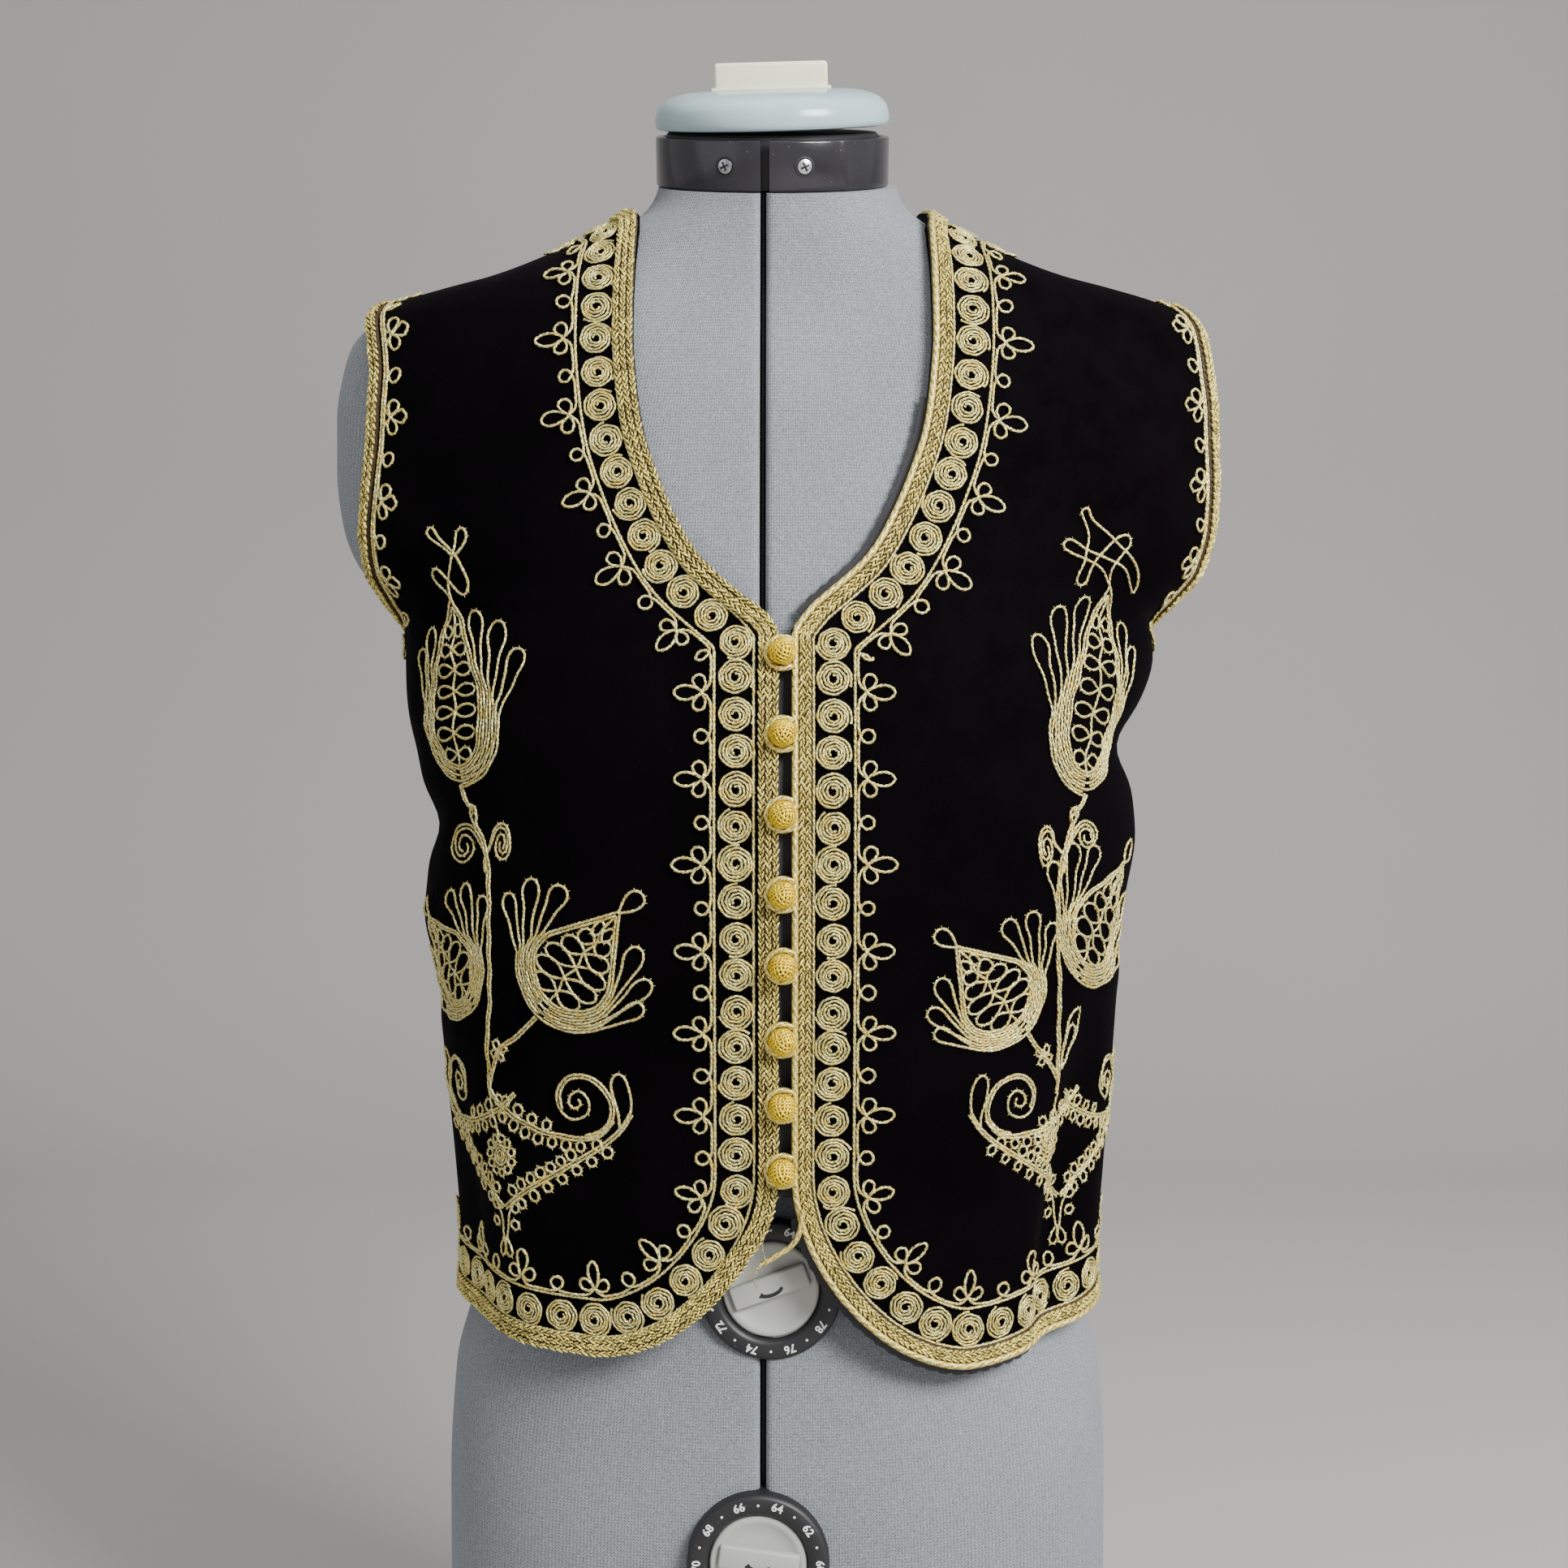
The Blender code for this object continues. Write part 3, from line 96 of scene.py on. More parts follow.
# Sections of the dress form: height, half width, front depth, back depth, centre y, power
FORM_SECTIONS = (
    (0.080, 0.142, 0.086, 0.104, 0.000, 2.3),
    (0.088, 0.149, 0.092, 0.111, 0.000, 2.3),
    (0.110, 0.153, 0.095, 0.115, 0.000, 2.3),
    (0.200, 0.153, 0.093, 0.112, 0.000, 2.3),
    (0.254, 0.150, 0.089, 0.102, 0.000, 2.3),
    (0.285, 0.142, 0.085, 0.092, 0.000, 2.3),
    (0.308, 0.136, 0.083, 0.086, 0.000, 2.2),
    (0.335, 0.131, 0.082, 0.080, 0.000, 2.2),
    (0.380, 0.131, 0.086, 0.081, 0.000, 2.2),
    (0.440, 0.137, 0.096, 0.087, 0.000, 2.2),
    (0.500, 0.144, 0.104, 0.092, 0.000, 2.3),
    (0.540, 0.148, 0.106, 0.094, 0.000, 2.3),
    (0.575, 0.153, 0.103, 0.094, 0.000, 2.3),
    (0.592, 0.160, 0.100, 0.093, 0.000, 2.2),
    (0.602, 0.170, 0.098, 0.093, 0.000, 2.2),
    (0.612, 0.183, 0.096, 0.092, 0.000, 2.1),
    (0.622, 0.193, 0.094, 0.091, 0.000, 2.1),
    (0.640, 0.200, 0.090, 0.090, 0.000, 2.1),
    (0.665, 0.203, 0.084, 0.087, 0.000, 2.1),
    (0.690, 0.203, 0.078, 0.083, 0.000, 2.1),
    (0.710, 0.200, 0.072, 0.078, 0.000, 2.1),
    (0.722, 0.196, 0.068, 0.074, 0.000, 2.1),
    (0.731, 0.188, 0.065, 0.070, 0.000, 2.1),
    (0.737, 0.178, 0.063, 0.067, 0.000, 2.0),
    (0.743, 0.158, 0.061, 0.064, 0.000, 2.0),
    (0.748, 0.138, 0.060, 0.062, 0.000, 2.0),
    (0.757, 0.112, 0.058, 0.060, 0.000, 2.0),
    (0.766, 0.091, 0.057, 0.058, 0.000, 2.0),
    (0.774, 0.074, 0.056, 0.057, 0.000, 2.0),
    (0.781, 0.0625, 0.055, 0.056, -0.001, 2.0),
    (0.790, 0.0560, 0.054, 0.055, -0.002, 2.0),
    (0.800, 0.0535, 0.053, 0.055, -0.003, 2.0),
    (0.830, 0.0520, 0.053, 0.054, -0.004, 2.0),
)

# Where the cloth hangs free of the form: height, half width, front depth, back depth, power
DRAPE_SECTIONS = (
    (0.260, 0.1440, 0.0985, 0.1040, 2.5),
    (0.300, 0.1455, 0.1000, 0.1010, 2.5),
    (0.350, 0.1490, 0.1040, 0.0980, 2.5),
    (0.400, 0.1535, 0.1080, 0.0970, 2.5),
    (0.440, 0.1565, 0.1120, 0.0970, 2.5),
    (0.480, 0.1595, 0.1150, 0.0980, 2.5),
    (0.520, 0.1625, 0.1155, 0.0990, 2.4),
    (0.560, 0.1665, 0.1110, 0.0990, 2.4),
    (0.590, 0.1700, 0.1040, 0.0960, 2.3),
    (0.620, 0.1500, 0.0900, 0.0860, 2.2),
    (0.660, 0.1200, 0.0700, 0.0700, 2.2),
    (0.790, 0.0300, 0.0200, 0.0200, 2.2),
)

# Bust fullness of the form: angle, height, rise, half angle, half height
BUST = (math.radians(40), 0.520, 0.0130, math.radians(17), 0.040)

# Large folds of the solids: angle in degrees, height, depth, half angle, half height, degrees moved per metre
FOLDS = (
    (-86, 0.506, -0.0075, 20, 0.013, 0),
    (-82, 0.462, 0.0035, 24, 0.016, 0),
    (-88, 0.560, 0.0030, 22, 0.018, 0),
    (88, 0.541, -0.0110, 22, 0.014, 0),
    (84, 0.497, 0.0030, 24, 0.018, 0),
    (90, 0.578, 0.0030, 20, 0.014, 0),
    (62, 0.330, -0.0085, 5, 0.085, 25),
    (76, 0.330, 0.0020, 7, 0.075, 25),
    (-70, 0.320, -0.0045, 7, 0.080, -20),
    (-52, 0.300, 0.0030, 8, 0.070, -10),
    (44, 0.300, 0.0030, 8, 0.060, 10),
    (118, 0.330, -0.0050, 8, 0.090, 15),
    (-118, 0.345, -0.0055, 8, 0.095, -15),
    (146, 0.310, 0.0045, 10, 0.080, 0),
    (-150, 0.320, 0.0045, 10, 0.080, 0),
    (178, 0.330, -0.0045, 9, 0.100, 5),
    (125, 0.520, -0.0035, 16, 0.016, -60),
    (-128, 0.500, -0.0035, 16, 0.016, 60),
)

# Small creases that only the cloth shells show, in the same columns
CREASES = (
    (-60, 0.566, -0.0016, 13, 0.007, 35),
    (-66, 0.548, 0.0014, 12, 0.007, 35),
    (64, 0.590, -0.0016, 12, 0.006, -30),
    (58, 0.570, 0.0012, 14, 0.007, -30),
    (-72, 0.430, -0.0018, 12, 0.008, 60),
    (-64, 0.415, 0.0012, 12, 0.008, 60),
    (70, 0.455, -0.0018, 13, 0.009, -50),
    (66, 0.438, 0.0012, 13, 0.008, -50),
    (-28, 0.310, 0.0012, 5, 0.050, -12),
    (30, 0.312, 0.0012, 5, 0.050, 12),
    (-104, 0.470, -0.0018, 10, 0.030, 110),
    (108, 0.440, -0.0018, 11, 0.028, -120),
    (-140, 0.560, -0.0016, 18, 0.009, 25),
    (138, 0.572, -0.0016, 18, 0.009, -30),
    (160, 0.470, -0.0014, 12, 0.016, 80),
    (-165, 0.430, -0.0014, 12, 0.018, -70),
    (-152, 0.395, 0.0012, 10, 0.030, 30),
    (155, 0.385, 0.0012, 11, 0.030, -20),
)

# Neckline of one front: distance from the vest's centre line, height
NECKLINE = (
    (0.0035, 0.590),
    (0.0110, 0.6000),
    (0.0220, 0.6095),
    (0.0350, 0.6220),
    (0.0455, 0.6400),
    (0.0535, 0.6590),
    (0.0590, 0.6760),
    (0.0620, 0.6950),
    (0.0640, 0.7200),
    (0.0640, 0.7450),
    (0.0635, 0.7600),
    (0.0630, 0.7700),
    (0.0635, 0.7760),
)

# Armhole edge: distance in front of the side line, height; and its depth's share in front and behind
ARMHOLE = (
    (0.0000, 0.5980),
    (0.0200, 0.6015),
    (0.0330, 0.6110),
    (0.0420, 0.6310),
    (0.0450, 0.6600),
    (0.0420, 0.6950),
    (0.0330, 0.7200),
    (0.0180, 0.7350),
    (0.0000, 0.7400),
)
ARMHOLE_SHARES = {-1: (1.0, 1.0), 1: (0.66, 1.2)}


# Lines of points, and curves through short tables


def run_length(points: Array) -> Array:
    """Length along a line of points, at each point."""
    return np.concatenate([[0], np.cumsum(np.linalg.norm(np.diff(points, axis=0), axis=1))])


def read_rows(at: Any, run: Array, rows: Array) -> Array:
    """Rows read at places between them; run is each row's own place."""
    return np.stack([np.interp(at, run, column) for column in rows.T], axis=-1)


def evenly(points: Array, step: float) -> Array:
    """A line of points made evenly spaced."""
    run = run_length(points)
    return read_rows(np.linspace(0, run[-1], max(3, round(run[-1] / step) + 1)), run, points)


def unit(vectors: Any) -> Array:
    """Vectors in the last axis, made 1 long."""
    vectors = np.asarray(vectors, float)
    return vectors / np.maximum(np.linalg.norm(vectors, axis=-1, keepdims=True), 1e-12)


def slopes(knots: Array, values: Array) -> Array:
    """Slopes of a curve that never overshoots its knots.

    Args:
        knots: where the values stand.
        values: one row for each knot.

    Returns:
        One slope for each value.
    """
    step = np.diff(knots)[:, None]
    rise = np.diff(values, axis=0) / step
    inner = np.zeros_like(values)
    same = rise[:-1] * rise[1:] > 0
    weight_a = 2 * step[1:] + step[:-1]
    weight_b = step[1:] + 2 * step[:-1]
    with np.errstate(divide="ignore", invalid="ignore"):
        mean = (weight_a + weight_b) / (weight_a / rise[:-1] + weight_b / rise[1:])
    inner[1:-1] = np.where(same, mean, 0.0)
    inner[0] = rise[0]
    inner[-1] = rise[-1]
    return inner


def table_curve(table: Sequence[Sequence[float]], at: Any) -> Array:
    """The other columns of a table, read smoothly at values of its first column.

    Args:
        table: rows of numbers with a rising first column.
        at: where to read it.

    Returns:
        The columns, in the last axis.
    """
    rows = np.array(table, float)
    knots = rows[:, 0]
    values = rows[:, 1:]
    tangent = slopes(knots, values)
    at = np.clip(np.asarray(at, float), knots[0], knots[-1])
    row = np.clip(np.searchsorted(knots, at, side="right") - 1, 0, len(knots) - 2)
    width = (knots[row + 1] - knots[row])[..., None]
    t = (at - knots[row])[..., None] / width
    return (
        values[row] * (2 * t**3 - 3 * t**2 + 1)
        + tangent[row] * width * (t**3 - 2 * t**2 + t)
        + values[row + 1] * (3 * t**2 - 2 * t**3)
        + tangent[row + 1] * width * (t**3 - t**2)
    )


def rounded(table: Sequence[Sequence[float]], count: int) -> Array:
    """A smooth line through a short table of points.

    Args:
        table: the points.
        count: how many points the line gets.

    Returns:
        The points of the line.
    """
    points = np.array(table, float)
    chords = run_length(points)
    return table_curve(np.column_stack([chords, points]), np.linspace(0, chords[-1], count))


# The two smooth surfaces


def oval_radius(angle: Array, half_width: Any, front: Any, back: Any, power: Any) -> Array:
    """Distance from the axis to an oval that is fuller than an ellipse where the power is over 2."""
    depth = np.where(np.cos(angle) > 0, front, back)
    across = np.abs(np.sin(angle) / half_width) ** power
    along = np.abs(np.cos(angle) / depth) ** power
    return (across + along) ** (-1 / power)


def form_radius(angle: Array, height: Array, grow: float = 0.0) -> Array:
    """The form's radius at an angle and a height, grown on all sides by grow."""
    half_width, front, back, _, power = np.moveaxis(table_curve(FORM_SECTIONS, height), -1, 0)
    radius = oval_radius(angle, half_width + grow, front + grow, back + grow, power)
    bust_angle, bust_height, rise, half_angle, half_height = BUST
    from_bust = (np.abs(angle) - bust_angle) / half_angle
    up = (height - bust_height) / half_height
    return radius + rise * np.exp(-(from_bust**2) - up**2)


def relief(rows: Sequence[Sequence[float]], angle: Array, height: Array) -> Array:
    """How far folds move the cloth out.

    Args:
        rows: folds in the columns of FOLDS.
        angle: angles in radians.
        height: heights.

    Returns:
        The sum of the folds' reliefs.
    """
    total = np.zeros(np.broadcast(angle, height).shape)
    for at, level, depth, half_angle, half_height, lean in rows:
        centre = np.radians(at + lean * (height - level))
        turned = (angle - centre + np.pi) % (2 * np.pi) - np.pi
        round_it = turned / math.radians(half_angle)
        up = (height - level) / half_height
        total += depth * np.exp(-(round_it**2) - up**2)
    return total


def cloth_radius(angle: Array, height: Array) -> Array:
    """The cloth's outer radius: it lies on the form, or hangs free where it is wider."""
    turned = (angle + np.pi) % (2 * np.pi) - np.pi
    tilts = np.radians((-90, -45, 0, 45, 90))
    lying = np.max(
        [form_radius(turned, height + CLOTH_LIFT * math.sin(t), CLOTH_LIFT * math.cos(t)) for t in tilts],
        axis=0,
    )
    columns = np.moveaxis(table_curve(DRAPE_SECTIONS, height), -1, 0)
    hanging = oval_radius(turned, *columns) + relief(FOLDS, turned, height)
    apart = lying - hanging
    joined = (lying + hanging + np.sqrt(apart**2 + CLOTH_BLEND**2)) / 2
    return joined + np.maximum(relief(CREASES, turned, height), lying - joined - 0.0006)


def surface_point(radius: Array, angle: Array, height: Array) -> Array:
    """Points at radii, angles and heights round the form's axis."""
    angle, height = np.broadcast_arrays(angle, height)
    centre = table_curve(FORM_SECTIONS, height)[..., 3]
    return np.stack((radius * np.sin(angle), centre - radius * np.cos(angle), height.astype(float)), axis=-1)


def form_point(angle: Any, height: Any) -> Array:
    """Points of the form's surface."""
    angle, height = np.broadcast_arrays(np.asarray(angle, float), np.asarray(height, float))
    return surface_point(form_radius(angle, height), angle, height)


def cloth_point(angle: Any, height: Any) -> Array:
    """Points of the cloth's outer surface."""
    angle, height = np.broadcast_arrays(np.asarray(angle, float), np.asarray(height, float))
    return surface_point(cloth_radius(angle, height), angle, height)


def tangents(point: Callable[[Any, Any], Array], angle: Array, height: Array) -> tuple[Array, Array, Array]:
    """How a surface moves with the angle and with the height, and its outward normal."""
    small = 2e-4
    by_angle = (point(angle + small, height) - point(angle - small, height)) / (2 * small)
    by_height = (point(angle, height + small) - point(angle, height - small)) / (2 * small)
    return by_angle, by_height, unit(np.cross(by_angle, by_height))


def cloth_normal(angle: Any, height: Any) -> Array:
    """The cloth's outward normals."""
    return tangents(cloth_point, angle, height)[2]


def on_cloth(angle: Any, height: Any, out: Any) -> Array:
    """Points a distance out from the cloth's surface."""
    return cloth_point(angle, height) + cloth_normal(angle, height) * np.asarray(out, float)[..., None]


def walked(angle: Array, height: Array, direction: Array, distance: Array) -> tuple[Array, Array]:
    """Where walks over the cloth end.

    Args:
        angle: angles at the start.
        height: heights at the start.
        direction: unit directions in space.
        distance: how far each walk goes; negative walks go backwards.

    Returns:
        Angles and heights at the end.
    """
    distance = np.broadcast_to(np.asarray(distance, float), np.shape(angle))
    steps = max(1, math.ceil(float(np.max(np.abs(distance), initial=0)) / 0.004))
    for _ in range(steps):
        by_angle, by_height, _ = tangents(cloth_point, angle, height)
        a = (by_angle * by_angle).sum(-1)
        b = (by_angle * by_height).sum(-1)
        c = (by_height * by_height).sum(-1)
        p = (by_angle * direction).sum(-1)
        q = (by_height * direction).sum(-1)
        across = (c * p - b * q) / (a * c - b * b)
        up = (a * q - b * p) / (a * c - b * b)
        length = np.linalg.norm(by_angle * across[..., None] + by_height * up[..., None], axis=-1)
        angle = angle + across / length * distance / steps
        height = height + up / length * distance / steps
    return angle, height


def angle_at(x: float, height: float) -> float:
    """The angle, from 0 to a right angle, at which the cloth is x from the middle plane."""
    tried = np.linspace(0, math.pi / 2, 241)
    reach = cloth_point(tried, np.full_like(tried, height))[:, 0]
    widest = int(np.argmax(reach))
    return float(np.interp(x, reach[: widest + 1], tried[: widest + 1]))


def angle_in_front(depth: float, height: float) -> float:
    """The angle, from 0 to a right angle, at which the cloth is this far in front of the side line."""
    tried = np.linspace(math.pi / 2, 0.2, 241)
    ahead = cloth_radius(tried, np.full_like(tried, height)) * np.cos(tried)
    return float(np.interp(depth, ahead, tried))


# Outlines of the panels, as rows of angle and height on the wearer's left


def cloth_run(points: Array) -> Array:
    """Length over the cloth along a line of angles and heights, at each of its points."""
    return run_length(cloth_point(points[:, 0], points[:, 1]))


def resampled(points: Any, count: int) -> Array:
    """A line of angles and heights, made evenly spaced over the cloth."""
    points = np.array(points, float)
    fine = np.linspace(0, len(points) - 1, 40 * len(points))
    dense = read_rows(fine, np.arange(len(points)), points)
    run = cloth_run(dense)
    return read_rows(np.linspace(0, run[-1], count), run, dense)


def hem_height(angle: Any, side: int) -> Any:
    """Height of the hem at an angle from 0 to 180 degrees, on one side of the vest."""
    front = HEM_FRONT_LEFT if side > 0 else HEM_FRONT_RIGHT
    share = np.sin(np.clip(angle, 0, math.pi)) ** 6
    ends = np.where(np.cos(angle) > 0, front, HEM_BACK)
    return ends + (HEM_SIDE - ends) * share


def front_edge(side: int) -> tuple[list, list, list, list]:
    """The front's free edge: the hem's corner, the closure, the neckline and the neck point."""
    shift = side * VEST_CENTRE_X
    half_gap = FRONT_GAP / 2
    start = angle_at(shift + half_gap + HEM_CORNER_WIDTH, 0.285)
    base = float(hem_height(start, side))
    corner = []
    for t in np.linspace(0, math.pi / 2, 12):
        x = shift + half_gap + HEM_CORNER_WIDTH * (1 - math.sin(t) ** 1.15)
        z = HEM_CORNER_TOP - (HEM_CORNER_TOP - base) * math.cos(t) ** 1.15
        corner.append((angle_at(x, z), z))
    closure = [(angle_at(shift + half_gap, z), z) for z in np.linspace(HEM_CORNER_TOP, NECKLINE[0][1], 12)]
    neck = [(angle_at(shift + x, z), z) for x, z in rounded(NECKLINE, 30)]
    return corner, closure, neck, [(math.pi / 2, NECK_POINT_HEIGHT)]


def arm_edge(side: int, part: int) -> list:
    """The armhole's edge from the side seam to the shoulder's tip; part is 0 in front and 1 behind."""
    scale = ARMHOLE_SHARES[side][part]
    return [(angle_in_front(scale * depth, z), z) for depth, z in rounded(ARMHOLE, 24)]


def back_neck() -> list:
    """The back neckline from the centre back to the neck point."""
    rise = NECK_POINT_HEIGHT - BACK_NECK_HEIGHT
    turn = np.linspace(0, math.pi / 2, 14)
    return [(math.pi - t, BACK_NECK_HEIGHT + rise * math.sin(t) ** 2) for t in turn]


def whole_edge(side: int) -> list:
    """The vest's edge from the centre back hem, round the front, to the centre back neck."""
    corner, closure, neck, top = front_edge(side)
    start = corner[0][0]
    back_hem = [(a, float(hem_height(a, side))) for a in np.linspace(math.pi, start, 60)]
    return back_hem[:-1] + corner[:-1] + closure[:-1] + neck + top + back_neck()[-2::-1]


def whole_armhole(side: int) -> list:
    """The armhole's edge, all round: up the front and down the back."""
    back = [(math.pi - angle, height) for angle, height in arm_edge(side, 1)[::-1]]
    return arm_edge(side, 0) + back[1:]


class EdgeLine:
    """A line along an edge of the cloth that gives places at a distance inside it."""

    STEP = 0.0015

    def __init__(self, points: Any, side: int, turn: int = 1, closed: bool = False, softness: float = 0.010):
        """Measure the line and the direction inwards along it.

        Args:
            points: angles and heights on the wearer's left.
            side: 1 for the wearer's left, -1 for the right.
            turn: 1 where the cloth lies to the right of the line, seen from outside on the left side.
            closed: whether the line ends where it starts.
            softness: how far the inward direction is averaged along the line.
        """
        line = np.array(points, float)
        line[:, 0] *= side
        self.points = resampled(line, max(24, round(cloth_run(line)[-1] / self.STEP)))
        self.run = cloth_run(self.points)
        self.length = float(self.run[-1])
        placed = cloth_point(self.points[:, 0], self.points[:, 1])
        along = np.gradient(placed, axis=0)
        if closed:
            along[0] = along[-1] = placed[1] - placed[-2]
        normal = cloth_normal(self.points[:, 0], self.points[:, 1])
        inward = unit(np.cross(along, normal) * side * turn)
        window = max(1, round(softness / self.STEP))
        padded = np.pad(inward, ((window, window), (0, 0)), mode="wrap" if closed else "edge")
        kernel = np.hanning(2 * window + 3)[1:-1]
        self.inward = unit(np.stack([np.convolve(column, kernel, "valid") for column in padded.T], axis=-1))

    def spots(self, run: Any, inside: Any) -> tuple[Array, Array]:
        """Angles and heights at lengths along the line and distances inside it."""
        angle, height = read_rows(run, self.run, self.points).T
        return walked(angle, height, read_rows(run, self.run, self.inward), inside)


class FlatChart:
    """Flat coordinates on the cloth: millimetres round the body from a start angle, and height in mm."""

    def __init__(self, start: float):
        """Measure lengths round the cloth at many heights.

        Args:
            start: the angle where the first coordinate is 0.
        """
        self.levels = np.arange(0.262, 0.781, 0.004)
        self.angles = start + np.linspace(-math.pi * 0.62, math.pi * 0.62, 361)
        grid_angle, grid_level = np.meshgrid(self.angles, self.levels)
        placed = cloth_point(grid_angle, grid_level)
        steps = np.linalg.norm(np.diff(placed, axis=1), axis=2)
        run = np.concatenate([np.zeros((len(self.levels), 1)), np.cumsum(steps, axis=1)], axis=1)
        middle = len(self.angles) // 2
        self.run = (run - run[:, middle : middle + 1]) / MM

    def spots(self, points: Array) -> tuple[Array, Array]:
        """Angles and heights of flat points in millimetres."""
        height = points[:, 1] * MM
        place = np.clip((height - self.levels[0]) / 0.004, 0, len(self.levels) - 1.001)
        row = place.astype(int)
        share = place - row
        low = np.array([np.interp(u, self.run[r], self.angles) for u, r in zip(points[:, 0], row)])
        high = np.array([np.interp(u, self.run[r + 1], self.angles) for u, r in zip(points[:, 0], row)])
        return low * (1 - share) + high * share, height


# Node trees


class Value:
    """A socket's value, which Python's operators combine into Math nodes."""

    def __init__(self, maker: "NodeMaker", socket: Any):
        """Keep the socket and the maker of its tree."""
        self.maker = maker
        self.socket = socket

    def math(self, operation: str, *others: Any) -> "Value":
        """One Math node on this value and others."""
        return self.maker.math(operation, self, *others)

    def __add__(self, other: Any) -> "Value":
        """Sum."""
        return self.math("ADD", other)

    def __radd__(self, other: Any) -> "Value":
        """Sum, with the number first."""
        return self.math("ADD", other)

    def __sub__(self, other: Any) -> "Value":
        """Difference."""
        return self.math("SUBTRACT", other)

    def __rsub__(self, other: Any) -> "Value":
        """Difference, with the number first."""
        return self.maker.math("SUBTRACT", other, self)

    def __mul__(self, other: Any) -> "Value":
        """Product."""
        return self.math("MULTIPLY", other)

    def __rmul__(self, other: Any) -> "Value":
        """Product, with the number first."""
        return self.math("MULTIPLY", other)

    def __truediv__(self, other: Any) -> "Value":
        """Quotient."""
        return self.math("DIVIDE", other)

    def __pow__(self, other: Any) -> "Value":
        """Power."""
        return self.math("POWER", other)

    def sine(self) -> "Value":
        """Sine."""
        return self.math("SINE")

    def part(self, low: float, high: float) -> "Value":
        """How far the value is from low to high, smoothly, from 0 to 1."""
        inputs = {"Value": self, "From Min": low, "From Max": high}
        return self.maker.value("ShaderNodeMapRange", {"interpolation_type": "SMOOTHSTEP"}, inputs)


class NodeMaker:
    """Adds nodes to one tree."""

    def __init__(self, tree: NodeTree):
        """Start with an empty tree."""
        self.tree = tree
        tree.nodes.clear()

    def put(self, socket: Any, value: Any) -> None:
        """Link a value to a socket, or set the socket's own number."""
        if isinstance(value, Value):
            self.tree.links.new(value.socket, socket)
        elif isinstance(value, NodeSocket):
            self.tree.links.new(value, socket)
        else:
            socket.default_value = value

    def node(self, kind: str, settings: Optional[dict] = None, inputs: Optional[dict] = None) -> Any:
        """Add a node.

        Args:
            kind: the node's type.
            settings: its properties, which are set first.
            inputs: values or links by the socket's name or number.

        Returns:
            The node.
        """
        made = self.tree.nodes.new(kind)
        for key, setting in (settings or {}).items():
            setattr(made, key, setting)
        for key, value in (inputs or {}).items():
            self.put(made.inputs[key], value)
        return made

    def value(self, kind: str, settings: dict, inputs: dict, output: Any = 0) -> Value:
        """Add a node and give one of its outputs."""
        return Value(self, self.node(kind, settings, inputs).outputs[output])

    def math(self, operation: str, *terms: Any) -> Value:
        """A Math node on numbers and values."""
        return self.value("ShaderNodeMath", {"operation": operation}, dict(enumerate(terms)))

    def mix(self, share: Any, first: Any, second: Any) -> Value:
        """A colour between two colours; share 0 gives the first."""
        settings = {"data_type": "RGBA", "clamp_factor": True}
        return self.value("ShaderNodeMix", settings, {0: share, 6: first, 7: second}, 2)

    def attribute(self, name: str, output: str) -> Value:
        """An attribute of the mesh, read by a material."""
        return self.value("ShaderNodeAttribute", {"attribute_name": name}, {}, output)

    def parts(self, vector: Value) -> list[Value]:
        """The three numbers of a vector."""
        split = self.node("ShaderNodeSeparateXYZ", {}, {"Vector": vector})
        return [Value(self, output) for output in split.outputs]

    def stored(self, name: str, kind: str) -> Value:
        """A mesh's attribute, read by a Geometry Nodes tree."""
        return self.value("GeometryNodeInputNamedAttribute", {"data_type": kind}, {"Name": name}, "Attribute")

    def object_place(self) -> Value:
        """The place on the object, in metres."""
        return self.value("ShaderNodeTexCoord", {}, {}, "Object")

    def noise(self, scale: float, detail: float = 2.0, vector: Any = None) -> Value:
        """Even noise from 0 to 1, with its scale in lumps for each metre."""
        inputs = {"Vector": vector or self.object_place(), "Scale": scale, "Detail": detail}
        return self.value("ShaderNodeTexNoise", {"noise_dimensions": "3D"}, inputs, 0)

    def bump(self, height: Value, depth: float, strength: float = 1.0) -> Value:
        """A normal bent by a height from 0 to 1 that stands for a depth in metres."""
        return self.value("ShaderNodeBump", {}, {"Height": height, "Distance": depth, "Strength": strength})



def rgba(colour: Colour) -> tuple[float, float, float, float]:
    """A colour with full alpha."""
    return (*colour, 1.0)


@dataclass(frozen=True)
class Finish:
    """What every finish has: its name, its record slot, its colours and its gloss."""

    name: str
    slot: str
    light: Colour
    dark: Colour
    roughness: float = 0.6
    metallic: float = 0.0

    def constants(self) -> dict[str, Any]:
        """Shader values that stay the same all over."""
        return {}

    def surface(self, make: NodeMaker) -> dict[str, Any]:
        """Shader values that change over the surface.

        Args:
            make: the maker of the material's tree.

        Returns:
            Values by the names of the shader's sockets.
        """
        return {"Base Color": rgba(self.light)}

    def material(self) -> Material:
        """The material, made once."""
        found = bpy.data.materials.get(self.name)
        if found:
            return found
        made = bpy.data.materials.new(self.name)
        made.use_nodes = True
        make = NodeMaker(made.node_tree)
        inputs = {"Roughness": self.roughness, "Metallic": self.metallic}
        inputs.update(self.constants())
        inputs.update(self.surface(make))
        shader = make.node("ShaderNodeBsdfPrincipled", {}, inputs)
        make.node("ShaderNodeOutputMaterial", {}, {"Surface": shader.outputs[0]})
        return made


